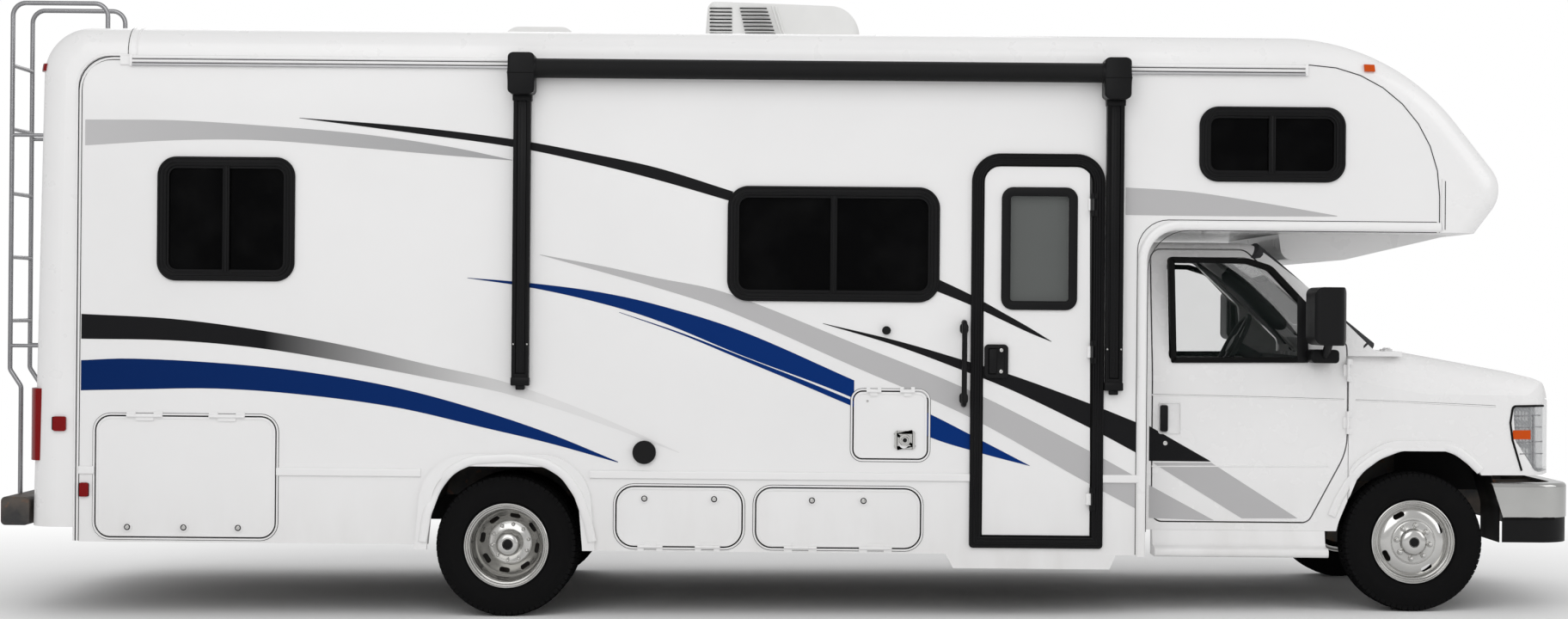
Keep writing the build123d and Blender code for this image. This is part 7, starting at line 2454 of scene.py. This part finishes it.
@dataclass
class FrontEnd:
    """Headlamp details, bumper strip, wipers and washer nozzles."""

    bezel: tuple[Flat, ...] = (
        (1795.0, 472.0), (1760.0, 472.6), (1757.0, 492.0), (1759.5, 512.0), (1770.0, 547.5)
    )
    amber: tuple[Flat, Flat] = ((1759.8, 500.5), (1780.5, 511.0))
    bars: tuple[tuple[Flat, Flat], ...] = (
        ((1762.0, 484.0), (1792.0, 483.0)), ((1762.0, 497.5), (1793.0, 496.5)),
        ((1764.0, 514.5), (1794.0, 513.5)),
        ((1768.0, 528.0), (1794.0, 527.5)), ((1783.5, 482.0), (1783.5, 545.0)),
    )
    strip: tuple[Flat, ...] = ((1750.0, 603.0), (1775.0, 603.0), (1798.0, 603.0), (1808.0, 603.0))
    wiper_pivots: tuple[float, ...] = (-0.62, 0.1)
    wiper_long: float = 0.52
    wiper_foot_z: float = 1.425
    wiper_rise: float = 0.085
    arm_radius: float = 0.006
    blade_radius: float = 0.007
    # Two corners of a nozzle, from the point of the hood that it stands on
    nozzle: tuple[Point, Point] = ((-0.014, -0.012, -0.004), (0.02, 0.012, 0.014))

    def build(self) -> None:
        """Add every piece."""
        self.add_lamps()
        bumper = Skin("front_bumper")
        route = [bumper.trace(pixel, -0.002) for pixel in self.strip]
        strip = Shape.tube("bumper_strip", route, 0.0065, sides=3)
        both_sides(strip, HOUSE_SIDES, SEAL_AND_SHADE_BLACK)
        for number, pivot in enumerate(self.wiper_pivots):
            self.add_wiper(number, pivot)

    def add_lamps(self) -> None:
        """Add the black bezel, the amber marker and the bright bars of each headlamp."""
        lamp = Skin("headlamps")
        around = Skin("headlamps", "front_fenders", "hood")
        route = [around.trace(pixel, 0.0, -0.9) for pixel in along(self.bezel, 4)]
        bezel = Shape.tube("lamp_bezel", route, 0.006, 0.02, sides=3)
        both_sides(bezel, HOUSE_SIDES, SEAL_AND_SHADE_BLACK)
        (x0, y0), (x1, y1) = self.amber
        columns, rows = 6, 3

        def place(u: float, v: float) -> Vector:
            """A point of the amber lens on the headlamp."""
            return lamp.trace((x0 + (x1 - x0) * u, y1 + (y0 - y1) * v), 0.0015, -0.9)

        marker = Shape.grid("amber_marker", columns, rows, place)
        marker.thicken(0.004, -1.0)
        both_sides(marker, HOUSE_SIDES, AMBER_LENS)
        bars = []
        for start, end in self.bars:
            middle = ((start[0] + end[0]) / 2, (start[1] + end[1]) / 2)
            points = [lamp.trace(pixel, 0.0, -0.9) for pixel in (start, middle, end)]
            bars.append(Shape.tube("lamp_bar", points, 0.0034, sides=2))
        both_sides(bars[0].join(bars[1:]), HOUSE_SIDES, LADDER_STEEL, 80)

    def add_wiper(self, number: int, pivot: float) -> None:
        """Add one wiper along the foot of the windshield, and a washer nozzle before it.

        Args:
            number: Which wiper.
            pivot: The y of its spindle.
        """
        glass = Skin("windshield", "cab_shell", "hood")
        points = []
        for share in (0.0, 0.25, 0.5, 0.75, 1.0):
            y = pivot + self.wiper_long * share
            z = self.wiper_foot_z + self.wiper_rise * share
            hit = glass.reach((6, y, z), (-1, 0, 0))
            points.append(Vector((hit.x + 0.02, y, z + 0.01)) if hit else Vector((3.1, y, z + 0.01)))
        arm = Shape.tube(f"wiper_arm_{number}", points[:4], self.arm_radius, sides=3)
        route = [point + Vector((-0.004, 0, -0.01)) for point in points[1:]]
        blade = Shape.tube("blade", route, self.blade_radius, sides=3)
        foot = points[0]
        top = foot + Vector((0.004, 0, 0.006))
        spindle = Shape.rod("spindle", foot - Vector((0.03, 0, 0.03)), top, 0.013, 20, 0.011)
        arm.join([blade, spindle]).settle("motorhome", PART_BLACK)
        y = pivot + 0.12
        hit = glass.reach((foot.x + 0.13, y, 3.0), (0, 0, -1))
        if hit:
            low, high = (hit + Vector(corner) for corner in self.nozzle)
            nozzle = Shape.box(f"nozzle_{number}", low, high)
            nozzle.soften(0.006, 3)
            nozzle.settle("hood", PART_BLACK)


@dataclass
class LampTrim:
    """Dark gaskets round the red side lamps, and the filler's rings."""

    lamps: tuple[tuple[Flat, Flat], ...] = (
        ((60.5, 484.5), (75.5, 500.5)), ((91.5, 561.5), (103.5, 577.5))
    )
    filler: Flat = (-0.768, 0.874)
    knob: Flat = (0.494, 1.523)
    # Turned profiles as (distance inward, radius)
    filler_profile: tuple[Flat, ...] = (
        (0.0, 0.02), (-0.016, 0.02), (-0.018, 0.027), (-0.014, 0.03), (-0.014, 0.038), (-0.02, 0.041),
        (-0.021, 0.048), (-0.017, 0.052), (-0.011, 0.0605), (0.0, 0.0615),
    )
    knob_profile: tuple[Flat, ...] = (
        (0.0, 0.006), (-0.012, 0.006), (-0.0135, 0.012), (-0.011, 0.0165), (-0.004, 0.0215), (0.0, 0.0225)
    )

    def build(self) -> None:
        """Add the gaskets and rings."""
        wall = Skin("rear_cap", "wall_right")
        for number, (start, end) in enumerate(self.lamps):
            spot = wall.trace(((start[0] + end[0]) / 2, (start[1] + end[1]) / 2), 0.0, -WALL_Y)
            low_x, high_z = on_plane(start, spot.y)
            high_x, low_z = on_plane(end, spot.y)
            outline = frame_outline((low_x, low_z), (high_x, high_z), 0.008)
            name = f"lamp_gasket_{number}"
            gasket = Shape.plate(name, outline, spot.y + 0.006, spot.y - 0.006, rim=0.005)
            both_sides(gasket, HOUSE_SIDES, SEAL_AND_SHADE_BLACK)
        for name, (x, z), profile, steps in (
            ("filler_rings", self.filler, self.filler_profile, 64),
            ("knob_ring", self.knob, self.knob_profile, 48),
        ):
            Shape.spun(name, profile, (x, -WALL_Y, z), Axis.Y, steps).settle("motorhome", PART_BLACK)


@dataclass
class Seats:
    """Two padded cab seats with crowned cushions and bolsters."""

    middles: tuple[float, ...] = (-0.44, 0.44)
    half: float = 0.245
    front_x: float = 2.475
    back_x: float = 1.87
    base_z: float = 0.995
    top_z: float = 1.325
    cushion_thick: float = 0.15
    back_thick: float = 0.13
    edge: float = 0.035
    bolster: float = 0.08
    fill: float = 0.8

    def build(self) -> None:
        """Model both seats in place of the plain solids."""
        for number, middle in enumerate(self.middles):
            self.add_cushion(number, middle)
            self.add_back(number, middle)

    def crown(self, shape: Shape, name: str) -> None:
        """Round a block into a pad and settle it."""
        shape.apply("SUBSURF", levels=3, render_levels=3)
        shape.settle("motorhome", SEAT_CLOTH, smooth=80)
        shape.obj.name = name
        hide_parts("seats")

    def add_cushion(self, number: int, middle: float) -> None:
        """Add the seat's cushion."""
        low = (self.back_x + 0.06, middle - self.half, self.base_z)
        high = (self.front_x, middle + self.half, self.base_z + self.cushion_thick)
        pad = Shape.box("cushion", low, high)
        pad.round_edges(lambda a, b: True, self.edge, 2)
        pad.inset(lambda c, n: n.z > 0.95, self.edge, (0, 0, -0.008))
        inside = self.half - self.bolster
        pad.inset(lambda c, n: n.z > 0.95 and abs(c.y - middle) < inside, 0.03, (0, 0, 0.02))
        self.crown(pad, f"seat_cushion_{number}")

    def add_back(self, number: int, middle: float) -> None:
        """Add the seat's back."""
        low = (self.back_x, middle - self.half, self.base_z + 0.04)
        pad = Shape.box("back", low, (self.back_x + self.back_thick, middle + self.half, self.top_z))
        pad.round_edges(lambda a, b: True, self.edge, 2)
        pad.inset(lambda c, n: n.x > 0.95, self.edge, (-0.008, 0, 0))
        inside = self.half - self.bolster
        pad.inset(lambda c, n: n.x > 0.95 and abs(c.y - middle) < inside, 0.03, (0.015, 0, 0))
        self.crown(pad, f"seat_back_{number}")


ASSEMBLIES = (
    Studio,
    Graphics,
    Tyres,
    Wheels,
    Seams,
    Windows,
    EntryDoor,
    Lockers,
    Awning,
    RoofUnits,
    CabTrim,
    FrontEnd,
    LampTrim,
    Seats,
)


def main(packed: dict) -> None:
    """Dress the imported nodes, model the other pieces and set up the studio.
    """
    logging.basicConfig(level=logging.INFO, format="%(message)s")
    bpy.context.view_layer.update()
    Dressing().build(packed["nodes"])
    for assembly in ASSEMBLIES:
        LOG.info("building %s", assembly.__name__)
        assembly().build()


if __name__ == "__main__":
    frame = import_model()
    main(frame)
